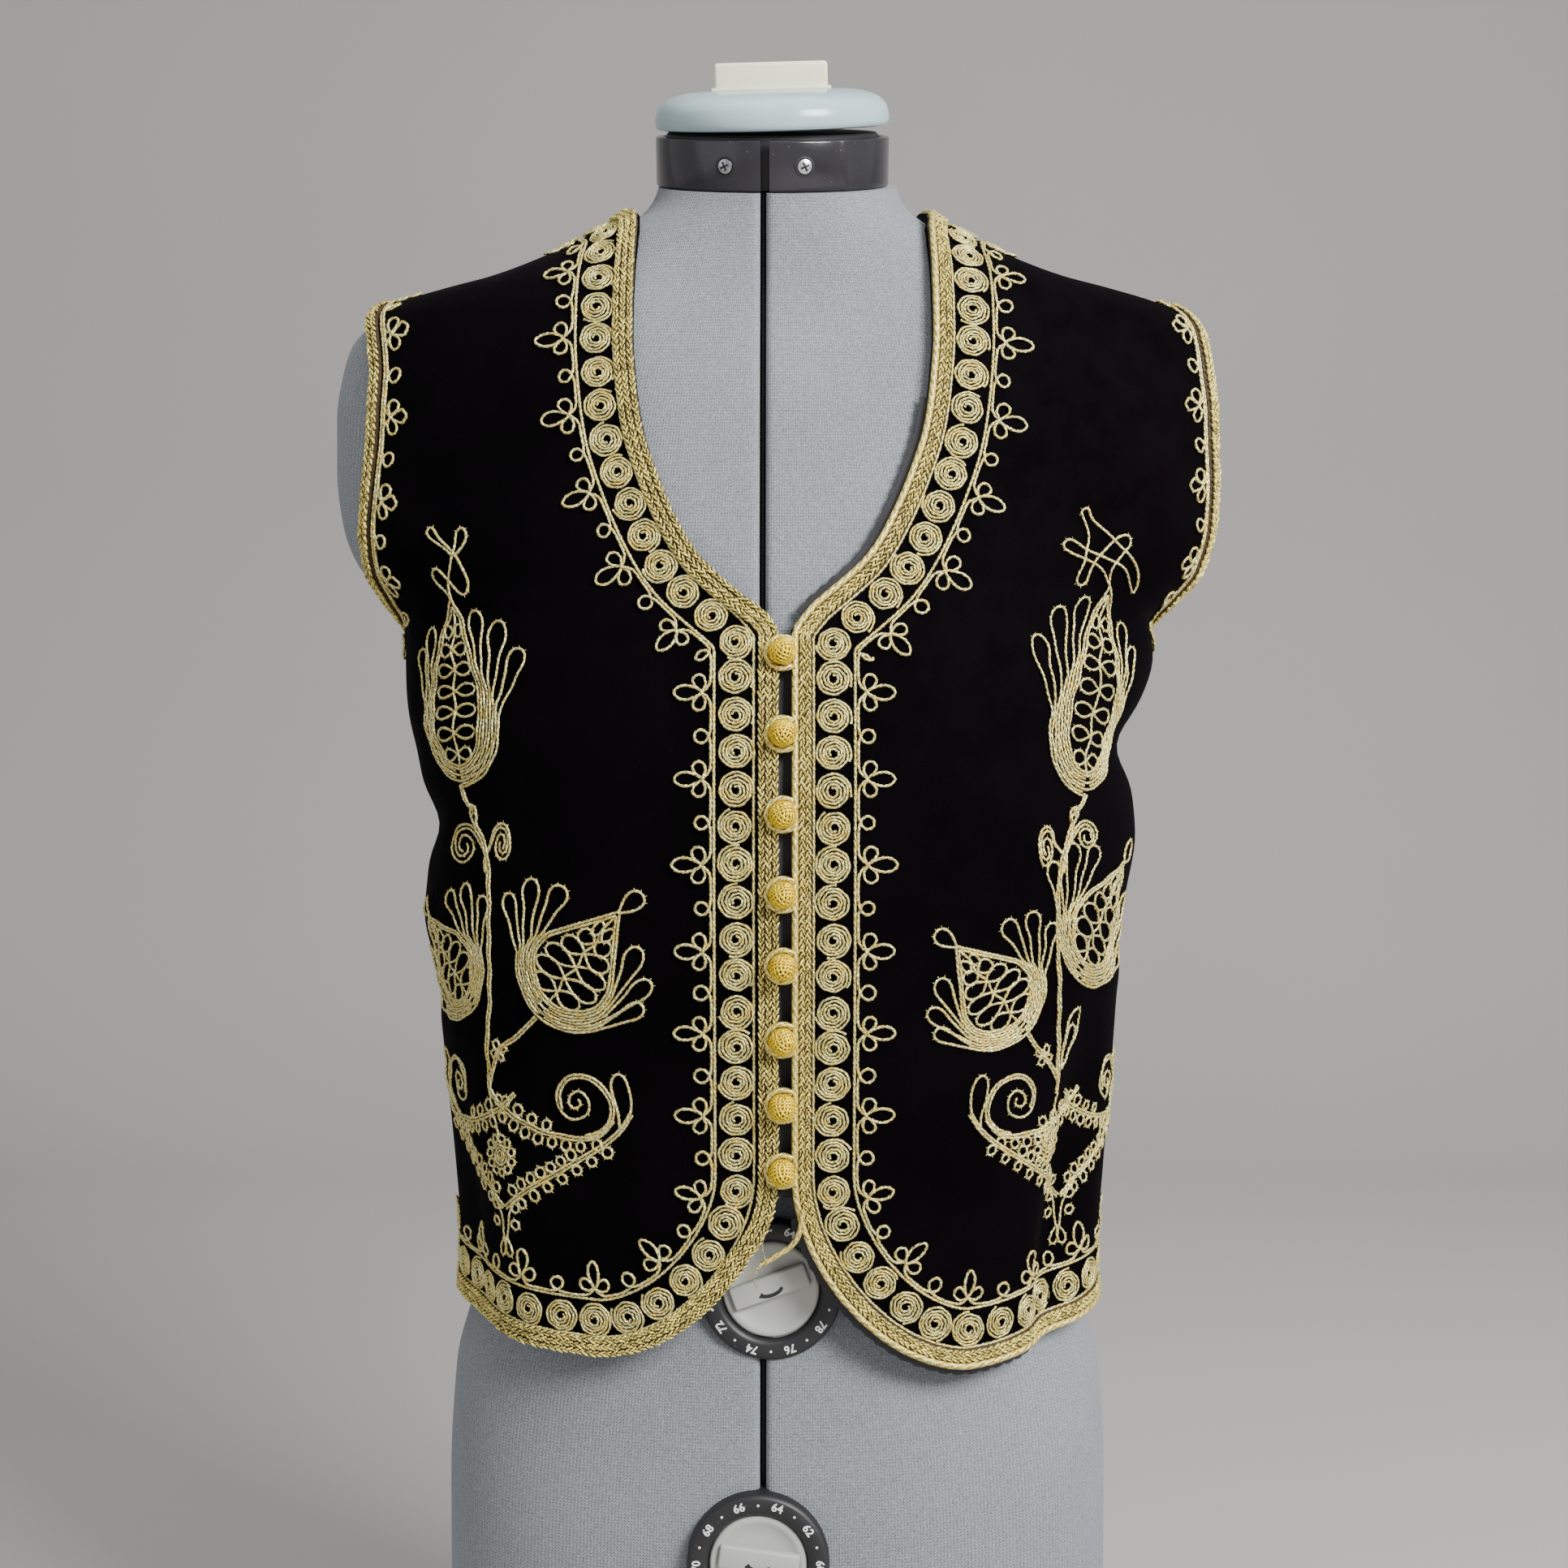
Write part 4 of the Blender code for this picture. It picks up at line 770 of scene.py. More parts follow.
@dataclass(frozen=True)
class Velvet(Finish):
    """Short black pile with brushed patches and a soft edge sheen."""

    def constants(self) -> dict[str, Any]:
        """A pile's soft sheen."""
        return {
            "Specular IOR Level": 0.03,
            "Sheen Weight": 0.008,
            "Sheen Roughness": 0.38,
            "Sheen Tint": rgba((0.55, 0.52, 0.62)),
        }

    def surface(self, make: NodeMaker) -> dict[str, Any]:
        """Patches of brushed pile, fine tufts and a little dust."""
        brushed = make.noise(16, 3).part(0.40, 0.66)
        streaks = make.noise(75, 2).part(0.40, 0.70)
        tufts = make.noise(1500, 1)
        share = brushed * 0.55 + streaks * 0.25 + tufts * 0.25
        dust = make.noise(900, 2).part(0.70, 0.78)
        colour = make.mix(share, rgba(self.dark), rgba(self.light))
        dusty = make.mix(dust * 0.05, colour, rgba((0.05, 0.05, 0.055)))
        bent = make.bump(tufts + make.noise(420, 2) * 0.6, 0.00035, 0.55)
        return {"Base Color": dusty, "Roughness": 0.80 + streaks * 0.15, "Normal": bent}


@dataclass(frozen=True)
class Satin(Finish):
    """Black lining with a fine twill."""

    def surface(self, make: NodeMaker) -> dict[str, Any]:
        """Fine crossed threads and soft creases, with painted shade that darkens the creases' low parts."""
        x, y, z = make.parts(make.object_place())
        twill = ((x + y + z) * (math.tau / 0.0006)).sine()
        creases = make.noise(45, 2)
        # Painted shade: the colour is darker where the crease relief is low.
        colour = make.mix(creases.part(0.3, 0.7), rgba(self.dark), rgba(self.light))
        return {
            "Base Color": colour,
            "Roughness": self.roughness + make.noise(60) * 0.12,
            "Normal": make.bump(twill * 0.25 + creases, 0.0004, 0.5),
        }


@dataclass(frozen=True)
class TwistedCord(Finish):
    """Metal thread wound on a core: strands that run round the cord as it goes along, with painted shade between the
    strands and painted glints.
    """

    strands: int = 2
    lay: float = 0.0030
    depth: float = 0.00022
    warm: Colour = (0.94, 0.68, 0.13)
    wire_pitch: float = 0.00042

    def surface(self, make: NodeMaker) -> dict[str, Any]:
        """Strands and the fine winding on them with painted shade in their grooves, painted glints, and tarnish that
        changes along the cord.
        """
        along = make.attribute("along", "Fac")
        x, y, _ = make.parts(make.attribute("around", "Vector"))
        turn = make.math("ARCTAN2", y, x)
        strand = (turn * float(self.strands) + along * (math.tau / self.lay)).sine() * 0.5 + 0.5
        wire = (along * (math.tau / self.wire_pitch) + turn).sine() * 0.5 + 0.5
        # Painted shade: the colour is dark in the grooves between strands and bright on their crowns.
        high = strand.part(0.05, 0.70)
        worn = make.noise(260, 3).part(0.40, 0.68)
        # Painted highlights: random bright glints in the colour.
        glint = make.noise(1150, 2).part(0.42, 0.58)
        thread = make.mix(worn * 0.72, rgba(self.light), rgba(self.warm))
        shade_and_glint = high * 0.36 + wire * 0.04 + glint * 0.48 + 0.20
        colour = make.mix(shade_and_glint, rgba(self.dark), thread)
        return {
            "Base Color": colour,
            "Roughness": self.roughness + worn * 0.12 - glint * 0.10,
            "Metallic": self.metallic - worn * 0.15,
            "Normal": make.bump(strand + wire * 0.18 + glint * 0.35, self.depth, 0.9),
        }


@dataclass(frozen=True)
class PlaitedBraid(Finish):
    """Flat thread bundles, lit brighter on their crowns; in dark colours the same finish makes the bed under them,
    whose dark between the bundles is painted shade.
    """

    def surface(self, make: NodeMaker) -> dict[str, Any]:
        """Bundles with fine threads and uneven tarnish."""
        patch = make.noise(330, 2).part(0.40, 0.60)
        thread = make.noise(1150, 2).part(0.43, 0.57)
        colour = make.mix(patch * 0.38 + thread * 0.54 + 0.16, rgba(self.dark), rgba(self.light))
        return {
            "Base Color": colour,
            "Roughness": self.roughness + thread * 0.16,
            "Normal": make.bump(thread, 0.00018, 0.8),
        }


@dataclass(frozen=True)
class Jersey(Finish):
    """Grey knit over foam: fine columns of stitches with a little lint."""

    column_pitch: float = 0.0016
    row_pitch: float = 0.0013

    def surface(self, make: NodeMaker) -> dict[str, Any]:
        """Stitch columns, soft shading of the foam and lint."""
        across, up, _ = make.parts(make.attribute("lay", "Vector"))
        column = (across * (math.tau / self.column_pitch)).sine()
        stitch = (up * (math.tau / self.row_pitch) + column * 1.6).sine()
        knit = column * 0.30 + stitch * 0.35 + 0.5
        mottled = make.noise(9, 2).part(0.3, 0.7)
        lint = make.noise(1500, 2).part(0.34, 0.68)
        share = knit * 0.34 + mottled * 0.14 + lint * 0.52
        colour = make.mix(share, rgba(self.dark), rgba(self.light))
        return {
            "Base Color": colour,
            "Roughness": self.roughness + mottled * 0.06,
            "Normal": make.bump(knit + make.noise(260, 2) * 0.7, 0.00030, 0.6),
        }

    def constants(self) -> dict[str, Any]:
        """Knit fuzz."""
        return {"Sheen Weight": 0.15, "Sheen Roughness": 0.5, "Specular IOR Level": 0.25}


@dataclass(frozen=True)
class Plastic(Finish):
    """Moulded plastic with a fine grain, soft flow marks and handling wear."""

    grain: float = 0.00003
    grain_scale: float = 1400.0

    def surface(self, make: NodeMaker) -> dict[str, Any]:
        """Grain, flow marks and dull patches."""
        flow = make.noise(28, 3).part(0.3, 0.7)
        grains = make.noise(self.grain_scale, 2)
        dust = make.noise(700, 2).part(0.68, 0.78)
        colour = make.mix(flow, rgba(self.dark), rgba(self.light))
        dusty = make.mix(dust * 0.12, colour, rgba((0.45, 0.44, 0.42)))
        return {
            "Base Color": dusty,
            "Roughness": self.roughness + flow * 0.06 + dust * 0.10,
            "Normal": make.bump(grains, self.grain, 0.8),
        }


@dataclass(frozen=True)
class Metal(Finish):
    """Plated or powder-coated metal."""

    def surface(self, make: NodeMaker) -> dict[str, Any]:
        """Orange-peel grain and rubbed patches."""
        rubbed = make.noise(60, 3).part(0.35, 0.7)
        colour = make.mix(rubbed, rgba(self.dark), rgba(self.light))
        return {
            "Base Color": colour,
            "Roughness": self.roughness + rubbed * 0.10,
            "Normal": make.bump(make.noise(900, 2), 0.00006, 0.7),
        }


@dataclass(frozen=True)
class Paper(Finish):
    """The studio's plain pale surface."""

    def surface(self, make: NodeMaker) -> dict[str, Any]:
        """Two tones in very large soft patches."""
        return {"Base Color": make.mix(make.noise(3, 3), rgba(self.dark), rgba(self.light))}


VELVET = Velvet("black_velvet", "velvet", (0.0018, 0.0009, 0.0018), (0.0005, 0.0002, 0.0005))
LINING = Satin("black_satin_lining", "lining", (0.012, 0.011, 0.015), (0.004, 0.004, 0.006), 0.42)
# Each cord's dark colour is the painted shade in its grooves.
CORD = TwistedCord("couched_gold_cord", "gold_cord", (1.0, 0.93, 0.44), (0.080, 0.050, 0.006), 0.38, 0.60)
ROSETTE_CORD = TwistedCord(
    "rosette_gold_cord", "gold_cord", (1.0, 0.93, 0.42), (0.055, 0.034, 0.004), 0.38, 0.60, 2, 0.0022, 0.00016
)
LOOP_CORD = TwistedCord(
    "loop_gold_cord", "gold_braid", (1.0, 0.86, 0.28), (0.07, 0.040, 0.004), 0.38, 0.60, 3, 0.0046
)
BUTTON_THREAD = TwistedCord(
    "button_gold_thread", "button_thread", (1.0, 0.78, 0.03), (0.40, 0.21, 0.003), 0.40, 0.60,
    2, 0.0016, 0.0001, (0.98, 0.66, 0.01),
)
# A dark core under the wound threads: painted shade between them.
BUTTON_SHADE_CORE = PlaitedBraid(
    "ball_core_thread", "button_thread", (0.20, 0.09, 0.004), (0.07, 0.03, 0.002), 0.6, 0.0
)
BRAID = PlaitedBraid("plaited_gold_braid", "gold_braid", (1.0, 0.86, 0.27), (0.080, 0.045, 0.004), 0.36, 0.60)
# A dark bed under the bundles: painted shade between them.
BRAID_SHADE_BED = PlaitedBraid("braid_bed", "gold_braid", (0.060, 0.032, 0.005), (0.012, 0.007, 0.002), 0.60, 0.2)
JERSEY = Jersey("grey_jersey", "form_jersey", (0.300, 0.325, 0.352), (0.100, 0.109, 0.120), 0.86)
FRAME_BLACK = Plastic("black_frame_plastic", "form_frame", (0.022, 0.022, 0.025), (0.012, 0.012, 0.014), 0.45)
COLLAR_GREY = Plastic(
    "dark_collar_plastic", "collar_plastic", (0.024, 0.022, 0.027), (0.015, 0.014, 0.018), 0.16
)
CAP_BLUE = Plastic("pale_cap_plastic", "cap_plastic", (0.40, 0.53, 0.56), (0.34, 0.455, 0.485), 0.20)
IVORY = Plastic("cream_knob_plastic", "ivory_plastic", (0.86, 0.86, 0.66), (0.78, 0.78, 0.59), 0.25)
RING_BLACK = Plastic("dial_ring_plastic", "dial_ring", (0.013, 0.013, 0.015), (0.008, 0.008, 0.010), 0.46)
HUB_GREY = Plastic("dial_hub_plastic", "dial_hub", (0.44, 0.445, 0.41), (0.36, 0.365, 0.34), 0.45)
MARK_WHITE = Plastic("dial_mark_ink", "dial_hub", (0.80, 0.80, 0.76), (0.66, 0.66, 0.63), 0.55)
STEEL = Metal("plated_steel", "steel", (0.66, 0.67, 0.68), (0.40, 0.41, 0.43), 0.26, 1.0)
STAND = Metal("dark_powder_coat", "stand_metal", (0.075, 0.075, 0.082), (0.050, 0.050, 0.056), 0.50, 0.2)
PAPER = Paper("pale_floor", "studio", (0.42, 0.408, 0.40), (0.40, 0.39, 0.38), 0.9)


# Meshes


def finished(obj: Object, finish: Finish, nodes: Sequence[str] = ()) -> Object:
    """Give a piece its finish, its body and the nodes it stands for.

    Args:
        obj: the piece, with its place in its mesh.
        finish: its finish.
        nodes: CAD nodes that it replaces.

    Returns:
        The piece.
    """
    if not obj.data.materials:
        obj.data.materials.append(finish.material())
    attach(obj, "root")
    if nodes:
        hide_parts(*nodes)
    LOG.info("%s: %d faces", obj.name, len(obj.data.polygons))
    return obj


def new_object(name: str, data: ID) -> Object:
    """An object of a mesh, a text, a light or a camera, at the origin, in the scene."""
    obj = bpy.data.objects.new(name, data)
    bpy.context.scene.collection.objects.link(obj)
    return obj


def shown(mesh: Mesh, finish: Finish, *nodes: str) -> Object:
    """A finished object of a mesh, with the mesh's name."""
    return finished(new_object(mesh.name, mesh), finish, nodes)


def shaded(work: BMesh, mesh: Mesh, sharp_angle: float = 0.0) -> Mesh:
    """Write an edited form into a mesh and shade it smooth, between sharp edges where an angle is given.

    Args:
        work: the edited form, which is freed.
        mesh: the mesh that it goes into.
        sharp_angle: edges sharper than this many degrees stay sharp; 0 keeps none.

    Returns:
        The mesh.
    """
    work.to_mesh(mesh)
    work.free()
    mesh.shade_smooth()
    if sharp_angle:
        mesh.set_sharp_from_angle(angle=math.radians(sharp_angle))
    return mesh


def clean_mesh(
    name: str, verts: Any, faces: Any, outward: bool = True, merge: float = 0.0, smooth_angle: float = 40
) -> Mesh:
    """A mesh of points and faces, shaded smooth between its sharp edges.

    Args:
        name: the mesh's name.
        verts: points.
        faces: lists of point numbers.
        outward: whether a closed mesh's faces are turned outwards.
        merge: points this close are made one.
        smooth_angle: edges sharper than this many degrees stay sharp.

    Returns:
        The mesh.
    """
    mesh = bpy.data.meshes.new(name)
    mesh.from_pydata(np.asarray(verts, float).reshape(-1, 3).tolist(), [], faces)
    work = bmesh.new()
    work.from_mesh(mesh)
    if merge:
        bmesh.ops.remove_doubles(work, verts=work.verts, dist=merge)
    if outward:
        bmesh.ops.recalc_face_normals(work, faces=work.faces)
    return shaded(work, mesh, smooth_angle)


def swept(name: str, rings: Array, closed: bool = False, smooth_angle: float = 40) -> Mesh:
    """A solid through rings of the same number of points, with flat ends unless it closes on itself."""
    count, around = rings.shape[:2]
    index = np.arange(count * around).reshape(count, around)
    ahead = np.roll(index, -1, axis=0) if closed else index[1:]
    here = index if closed else index[:-1]
    sides = np.stack([here, np.roll(here, -1, axis=1), np.roll(ahead, -1, axis=1), ahead], axis=-1)
    faces = sides.reshape(-1, 4).tolist()
    if not closed:
        faces += [index[0, ::-1].tolist(), index[-1].tolist()]
    return clean_mesh(name, rings, faces, smooth_angle=smooth_angle)


def lathe(name: str, profile: Sequence[Point2], segments: int, place: Matrix) -> Mesh:
    """A solid turned round local Z from a closed profile of radius and height.

    Args:
        name: the mesh's name.
        profile: radius and height, from the axis at the bottom round to the axis at the top.
        segments: how many steps round.
        place: where the solid's frame stands.

    Returns:
        The mesh.
    """
    turns = np.linspace(0, math.tau, segments, endpoint=False)
    line = np.array(profile, float)
    across, ahead, up = np.outer(np.cos(turns), line[:, 0]), np.outer(np.sin(turns), line[:, 0]), line[:, 1]
    points = np.stack([across, ahead, np.tile(up, (segments, 1))], axis=-1)
    index = np.arange(segments * len(line)).reshape(segments, len(line))
    ahead = np.roll(index, -1, axis=0)
    sides = np.stack([index[:, :-1], index[:, 1:], ahead[:, 1:], ahead[:, :-1]], axis=-1)
    spun = transformed(points.reshape(-1, 3), place)
    return clean_mesh(name, spun, sides.reshape(-1, 4).tolist(), merge=1e-6, smooth_angle=35)


def transformed(points: Array, place: Matrix) -> Array:
    """Points moved by a matrix."""
    turn = np.array(place)
    return points @ turn[:3, :3].T + turn[:3, 3]


def rounded_box(name: str, size: Sequence[float], radius: float, place: Matrix, steps: int = 3) -> Mesh:
    """A box with rounded edges."""
    work = bmesh.new()
    bmesh.ops.create_cube(work, size=1.0)
    bmesh.ops.scale(work, vec=size, verts=work.verts)
    bmesh.ops.bevel(work, geom=work.edges[:], offset=radius, segments=steps, profile=0.5, affect="EDGES")
    bmesh.ops.transform(work, matrix=place, verts=work.verts)
    return shaded(work, bpy.data.meshes.new(name), 50)


def joined_mesh(name: str, meshes: Sequence[Mesh]) -> Mesh:
    """One mesh of several."""
    work = bmesh.new()
    for mesh in meshes:
        work.from_mesh(mesh)
    return shaded(work, bpy.data.meshes.new(name), 45)


def evaluated_mesh(obj: Object) -> Mesh:
    """A plain mesh of an object as its modifiers or its text make it."""
    bpy.context.view_layer.update()
    graph = bpy.context.evaluated_depsgraph_get()
    return bpy.data.meshes.new_from_object(obj.evaluated_get(graph), depsgraph=graph)


def discard(obj: Object) -> None:
    """Remove a helper object and its mesh."""
    spent = obj.data
    bpy.data.objects.remove(obj)
    bpy.data.meshes.remove(spent)


def store(mesh: Mesh, name: str, rows: Array) -> None:
    """Give a mesh's points an attribute: a number each, or a vector each."""
    kind, key = ("FLOAT", "value") if rows.ndim == 1 else ("FLOAT_VECTOR", "vector")
    data = mesh.attributes.new(name, kind, "POINT").data
    data.foreach_set(key, np.ascontiguousarray(rows, np.float32).ravel())


# What follows a path or repeats: Geometry Nodes


def tree_of(name: str, inputs: Sequence[tuple[str, str]]) -> tuple[NodeMaker, Any]:
    """An empty Geometry Nodes tree with named inputs.

    Args:
        name: the tree's name.
        inputs: name and socket type of each input after the geometry.

    Returns:
        The tree's maker and its input node.
    """
    tree = bpy.data.node_groups.new(name, "GeometryNodeTree")
    tree.interface.new_socket("Geometry", in_out="INPUT", socket_type="NodeSocketGeometry")
    for label, kind in inputs:
        tree.interface.new_socket(label, in_out="INPUT", socket_type=kind)
    tree.interface.new_socket("Geometry", in_out="OUTPUT", socket_type="NodeSocketGeometry")
    make = NodeMaker(tree)
    return make, make.node("NodeGroupInput")


def baked(source: Object, tree: NodeTree, values: dict[str, Any], name: str) -> Object:
    """The plain mesh that a Geometry Nodes tree makes of an object, which it replaces.

    Args:
        source: the object that feeds the tree; it is removed.
        tree: the tree.
        values: the tree's inputs by name.
        name: the new object's name.

    Returns:
        The new object.
    """
    modifier = source.modifiers.new("nodes", "NODES")
    modifier.node_group = tree
    for item in tree.interface.items_tree:
        if item.item_type == "SOCKET" and item.in_out == "INPUT" and item.name in values:
            modifier[item.identifier] = values[item.name]
    mesh = evaluated_mesh(source)
    source.modifiers.clear()
    discard(source)
    mesh.name = name
    return new_object(name, mesh)


def end_tree(make: NodeMaker, geometry: Any, given: Any) -> NodeTree:
    """End a tree: its geometry made real, with the finish that is given to it."""
    whole = make.node("GeometryNodeRealizeInstances", {}, {"Geometry": geometry})
    inputs = {"Geometry": whole.outputs[0], "Material": given.outputs["Finish"]}
    last = make.node("GeometryNodeSetMaterial", {}, inputs)
    make.node("NodeGroupOutput", {}, {"Geometry": last.outputs["Geometry"]})
    return make.tree


def sweep_tree() -> NodeTree:
    """The tree that turns paths into round cords with their twist attributes."""
    found = bpy.data.node_groups.get("round cords")
    if found:
        return found
    inputs = (("Radius", "NodeSocketFloat"), ("Sides", "NodeSocketInt"), ("Finish", "NodeSocketMaterial"))
    make, given = tree_of("round cords", inputs)
    curve = make.node("GeometryNodeMeshToCurve", {}, {"Mesh": given.outputs["Geometry"]})
    radius = make.stored("thick", "FLOAT") * Value(make, given.outputs["Radius"])
    inputs = {"Resolution": given.outputs["Sides"], "Radius": 1.0}
    circle = make.node("GeometryNodeCurvePrimitiveCircle", {"mode": "RADIUS"}, inputs)
    place = make.node("GeometryNodeInputPosition")
    settings = {"data_type": "FLOAT_VECTOR", "domain": "POINT"}
    inputs = {"Geometry": circle.outputs["Curve"], "Name": "around", "Value": place.outputs[0]}
    ring = make.node("GeometryNodeStoreNamedAttribute", settings, inputs)
    path = make.node("GeometryNodeSetCurveRadius", {}, {"Curve": curve.outputs["Curve"], "Radius": radius})
    inputs = {"Curve": path.outputs["Curve"], "Profile Curve": ring.outputs["Geometry"], "Fill Caps": True}
    sweep = make.node("GeometryNodeCurveToMesh", {}, inputs)
    if "Scale" in sweep.inputs:
        make.put(sweep.inputs["Scale"], make.value("GeometryNodeInputRadius", {}, {}))
    smooth = make.node("GeometryNodeSetShadeSmooth", {}, {"Geometry": sweep.outputs["Mesh"]})
    return end_tree(make, smooth.outputs["Geometry"], given)


def scatter_tree() -> NodeTree:
    """The tree that sets a copy of a small piece on each point, turned and sized by its attributes."""
    found = bpy.data.node_groups.get("set pieces")
    if found:
        return found
    inputs = (("Piece", "NodeSocketObject"), ("Finish", "NodeSocketMaterial"))
    make, given = tree_of("set pieces", inputs)
    piece = {"Object": given.outputs["Piece"]}
    info = make.node("GeometryNodeObjectInfo", {"transform_space": "ORIGINAL"}, piece)
    points = make.node("GeometryNodeMeshToPoints", {}, {"Mesh": given.outputs["Geometry"]})
    inputs = {"Points": points.outputs["Points"], "Instance": info.outputs["Geometry"]}
    inputs |= {"Rotation": make.stored("turn", "FLOAT_VECTOR"), "Scale": make.stored("size", "FLOAT_VECTOR")}
    copies = make.node("GeometryNodeInstanceOnPoints", {}, inputs)
    return end_tree(make, copies.outputs["Instances"], given)


@dataclass
class CordWork:
    """Paths that are swept as one piece of round cord."""

    radius: float
    sides: int = CORD_SIDES
    knobs: float = 0.0
    knob_step: float = 0.00088
    paths: list[tuple[Array, Array, bool]] = field(default_factory=list)

    def add(self, points: Array, thick: Any = 1.0, closed: bool = False) -> None:
        """Add a path.

        Args:
            points: its points in space.
            thick: its thickness, as a multiple of the cord's, for the whole path or each point.
            closed: whether it ends where it starts.
        """
        thick = np.broadcast_to(np.asarray(thick, float), (len(points),))
        if self.knobs:
            points, thick = self.knobbly(points, thick)
        self.paths.append((points, thick, closed))

    def knobbly(self, points: Array, thick: Array) -> tuple[Array, Array]:
        """The path in short steps, thick and thin by turns and a little off its line, as twisted thread lies.

        Args:
            points: places along the path.
            thick: its thickness at each.

        Returns:
            More places, and their thickness.
        """
        run = run_length(points)
        number = np.arange(max(3, round(run[-1] / self.knob_step)))
        at = np.linspace(0, run[-1], len(number))
        wave = np.where(number % 2, 1.0, -1.0) * (0.75 + 0.5 * np.sin(number * 1.9))
        aside = np.sin(number[:, None] * np.array((2.3, 1.7, 2.9)))
        aside[[0, -1]] = 0
        fine = read_rows(at, run, points) + aside * self.radius * self.knobs * 0.55
        return fine, np.interp(at, run, thick) * (1 + self.knobs * wave)

    def length(self) -> float:
        """Length of all paths together, in metres."""
        return float(sum(run_length(points)[-1] for points, _, _ in self.paths))

    def source(self, name: str) -> Object:
        """The paths as an object of edges with their attributes."""
        verts = np.concatenate([points for points, _, _ in self.paths])
        edges = []
        start = 0
        for points, _, closed in self.paths:
            index = np.arange(start, start + len(points))
            edges.append(np.stack([index[:-1], index[1:]], axis=1))
            if closed:
                edges.append(np.array([[index[-1], index[0]]]))
            start += len(points)
        mesh = bpy.data.meshes.new(name + "_paths")
        mesh.from_pydata(verts.tolist(), np.concatenate(edges).tolist(), [])
        runs = [run_length(points) + 0.0137 * n for n, (points, _, _) in enumerate(self.paths)]
        thick = np.concatenate([thick for _, thick, _ in self.paths])
        store(mesh, "along", np.concatenate(runs))
        store(mesh, "thick", thick)
        return new_object(name + "_paths", mesh)

    def build(self, name: str, finish: Finish) -> Object:
        """Sweep the paths.

        Args:
            name: the piece's name.
            finish: its finish.

        Returns:
            The cord as one object.
        """
        values = {"Radius": self.radius, "Sides": self.sides, "Finish": finish.material()}
        made = baked(self.source(name), sweep_tree(), values, name)
        LOG.info("%s: %.2f m of cord", name, self.length())
        return made


@dataclass
class SetPieces:
    """Places where copies of one small piece are set."""

    points: list[Array] = field(default_factory=list)
    turns: list[Array] = field(default_factory=list)
    sizes: list[Array] = field(default_factory=list)

    def add(self, points: Array, forward: Array, normal: Array, size: Any) -> None:
        """Add places.

        Args:
            points: places in space.
            forward: directions of the piece's own Y.
            normal: directions of the piece's own Z.
            size: scale, one number, three, or three for each place.
        """
        normal = unit(normal)
        side = unit(np.cross(forward, normal))
        for axes in zip(side, np.cross(normal, side), normal):
            self.turns.append(np.array(Matrix(axes).transposed().to_euler("XYZ")))
        self.points.append(points)
        self.sizes.append(np.broadcast_to(np.asarray(size, float), points.shape))

    def build(self, name: str, piece: Object, finish: Finish) -> Object:
        """Set the copies and make them one plain mesh.

        Args:
            name: the new object's name.
            piece: the small piece, at the origin; it is removed.
            finish: the finish.

        Returns:
            The copies as one object.
        """
        mesh = bpy.data.meshes.new(name + "_points")
        mesh.from_pydata(np.concatenate(self.points).tolist(), [], [])
        store(mesh, "turn", np.array(self.turns))
        store(mesh, "size", np.concatenate(self.sizes))
        values = {"Piece": piece, "Finish": finish.material()}
        made = baked(new_object(name + "_points", mesh), scatter_tree(), values, name)
        discard(piece)
        return made


# Flat drawing, in millimetres


def uneven(number: float, salt: float = 0.0) -> float:
    """A steady number from -1 to 1 that makes hand work look uneven."""
    return 2 * ((math.sin(number * 12.9898 + salt * 78.233) * 43758.5453) % 1.0) - 1


def smooth_path(points: Sequence[Sequence[float]], step: float = 1.2, closed: bool = False) -> Array:
    """A Catmull-Rom line through points, evenly spaced.

    Args:
        points: the points.
        step: distance between the points of the result.
        closed: whether the line ends where it starts.

    Returns:
        The line.
    """
    given = np.array(points, float)
    if closed:
        padded = np.concatenate([given[-1:], given, given[:2]])
    else:
        padded = np.concatenate([2 * given[:1] - given[1:2], given, 2 * given[-1:] - given[-2:-1]])
    t = np.linspace(0, 1, 12, endpoint=False)[:, None]
    parts = [
        0.5 * (2 * b + (c - a) * t + (2 * a - 5 * b + 4 * c - d) * t**2 + (3 * b - 3 * c + d - a) * t**3)
        for a, b, c, d in zip(padded[:-3], padded[1:-2], padded[2:-1], padded[3:])
    ]
    return evenly(np.concatenate(parts + [padded[-2:-1]]), step)


def left_of(points: Array) -> Array:
    """Unit directions to the left of a flat line, at each of its points."""
    along = unit(np.gradient(points, axis=0))
    return np.stack([-along[:, 1], along[:, 0]], axis=1)


def beside(points: Array, distance: Any) -> Array:
    """A line beside a flat line; positive distances lie to its left."""
    return points + left_of(points) * np.broadcast_to(np.asarray(distance, float), (len(points),))[:, None]


def framed(points: Any, origin: Any, direction: Any, hand: float = 1.0) -> Array:
    """Flat points moved so that their Y runs in a direction.

    Args:
        points: points with Y along and X across.
        origin: where their origin goes.
        direction: where their Y points.
        hand: 1, or -1 to mirror them across Y.

    Returns:
        The moved points.
    """
    y = unit(direction)
    x = np.array([y[1], -y[0]]) * hand
    points = np.asarray(points, float)
    return np.array(origin, float) + points[:, :1] * x + points[:, 1:] * y


def petal(length: float, width: float, count: int = 22) -> Array:
    """A teardrop loop that starts and ends at the origin and reaches along Y."""
    turn = np.linspace(0, math.tau, count)
    rise = (1 - np.cos(turn)) / 2
    return np.stack([width / 2 * 1.30 * np.sin(turn) * rise**0.6, length * rise], axis=1)


def circle_line(radius: float, centre: Point2 = (0.0, 0.0), count: int = 0) -> Array:
    """A round loop; its last point is its first."""
    turn = np.linspace(-math.pi / 2, 1.5 * math.pi, count or max(10, round(math.tau * radius / 1.1)))
    return np.stack([centre[0] + radius * np.cos(turn), centre[1] + radius * np.sin(turn)], axis=1)


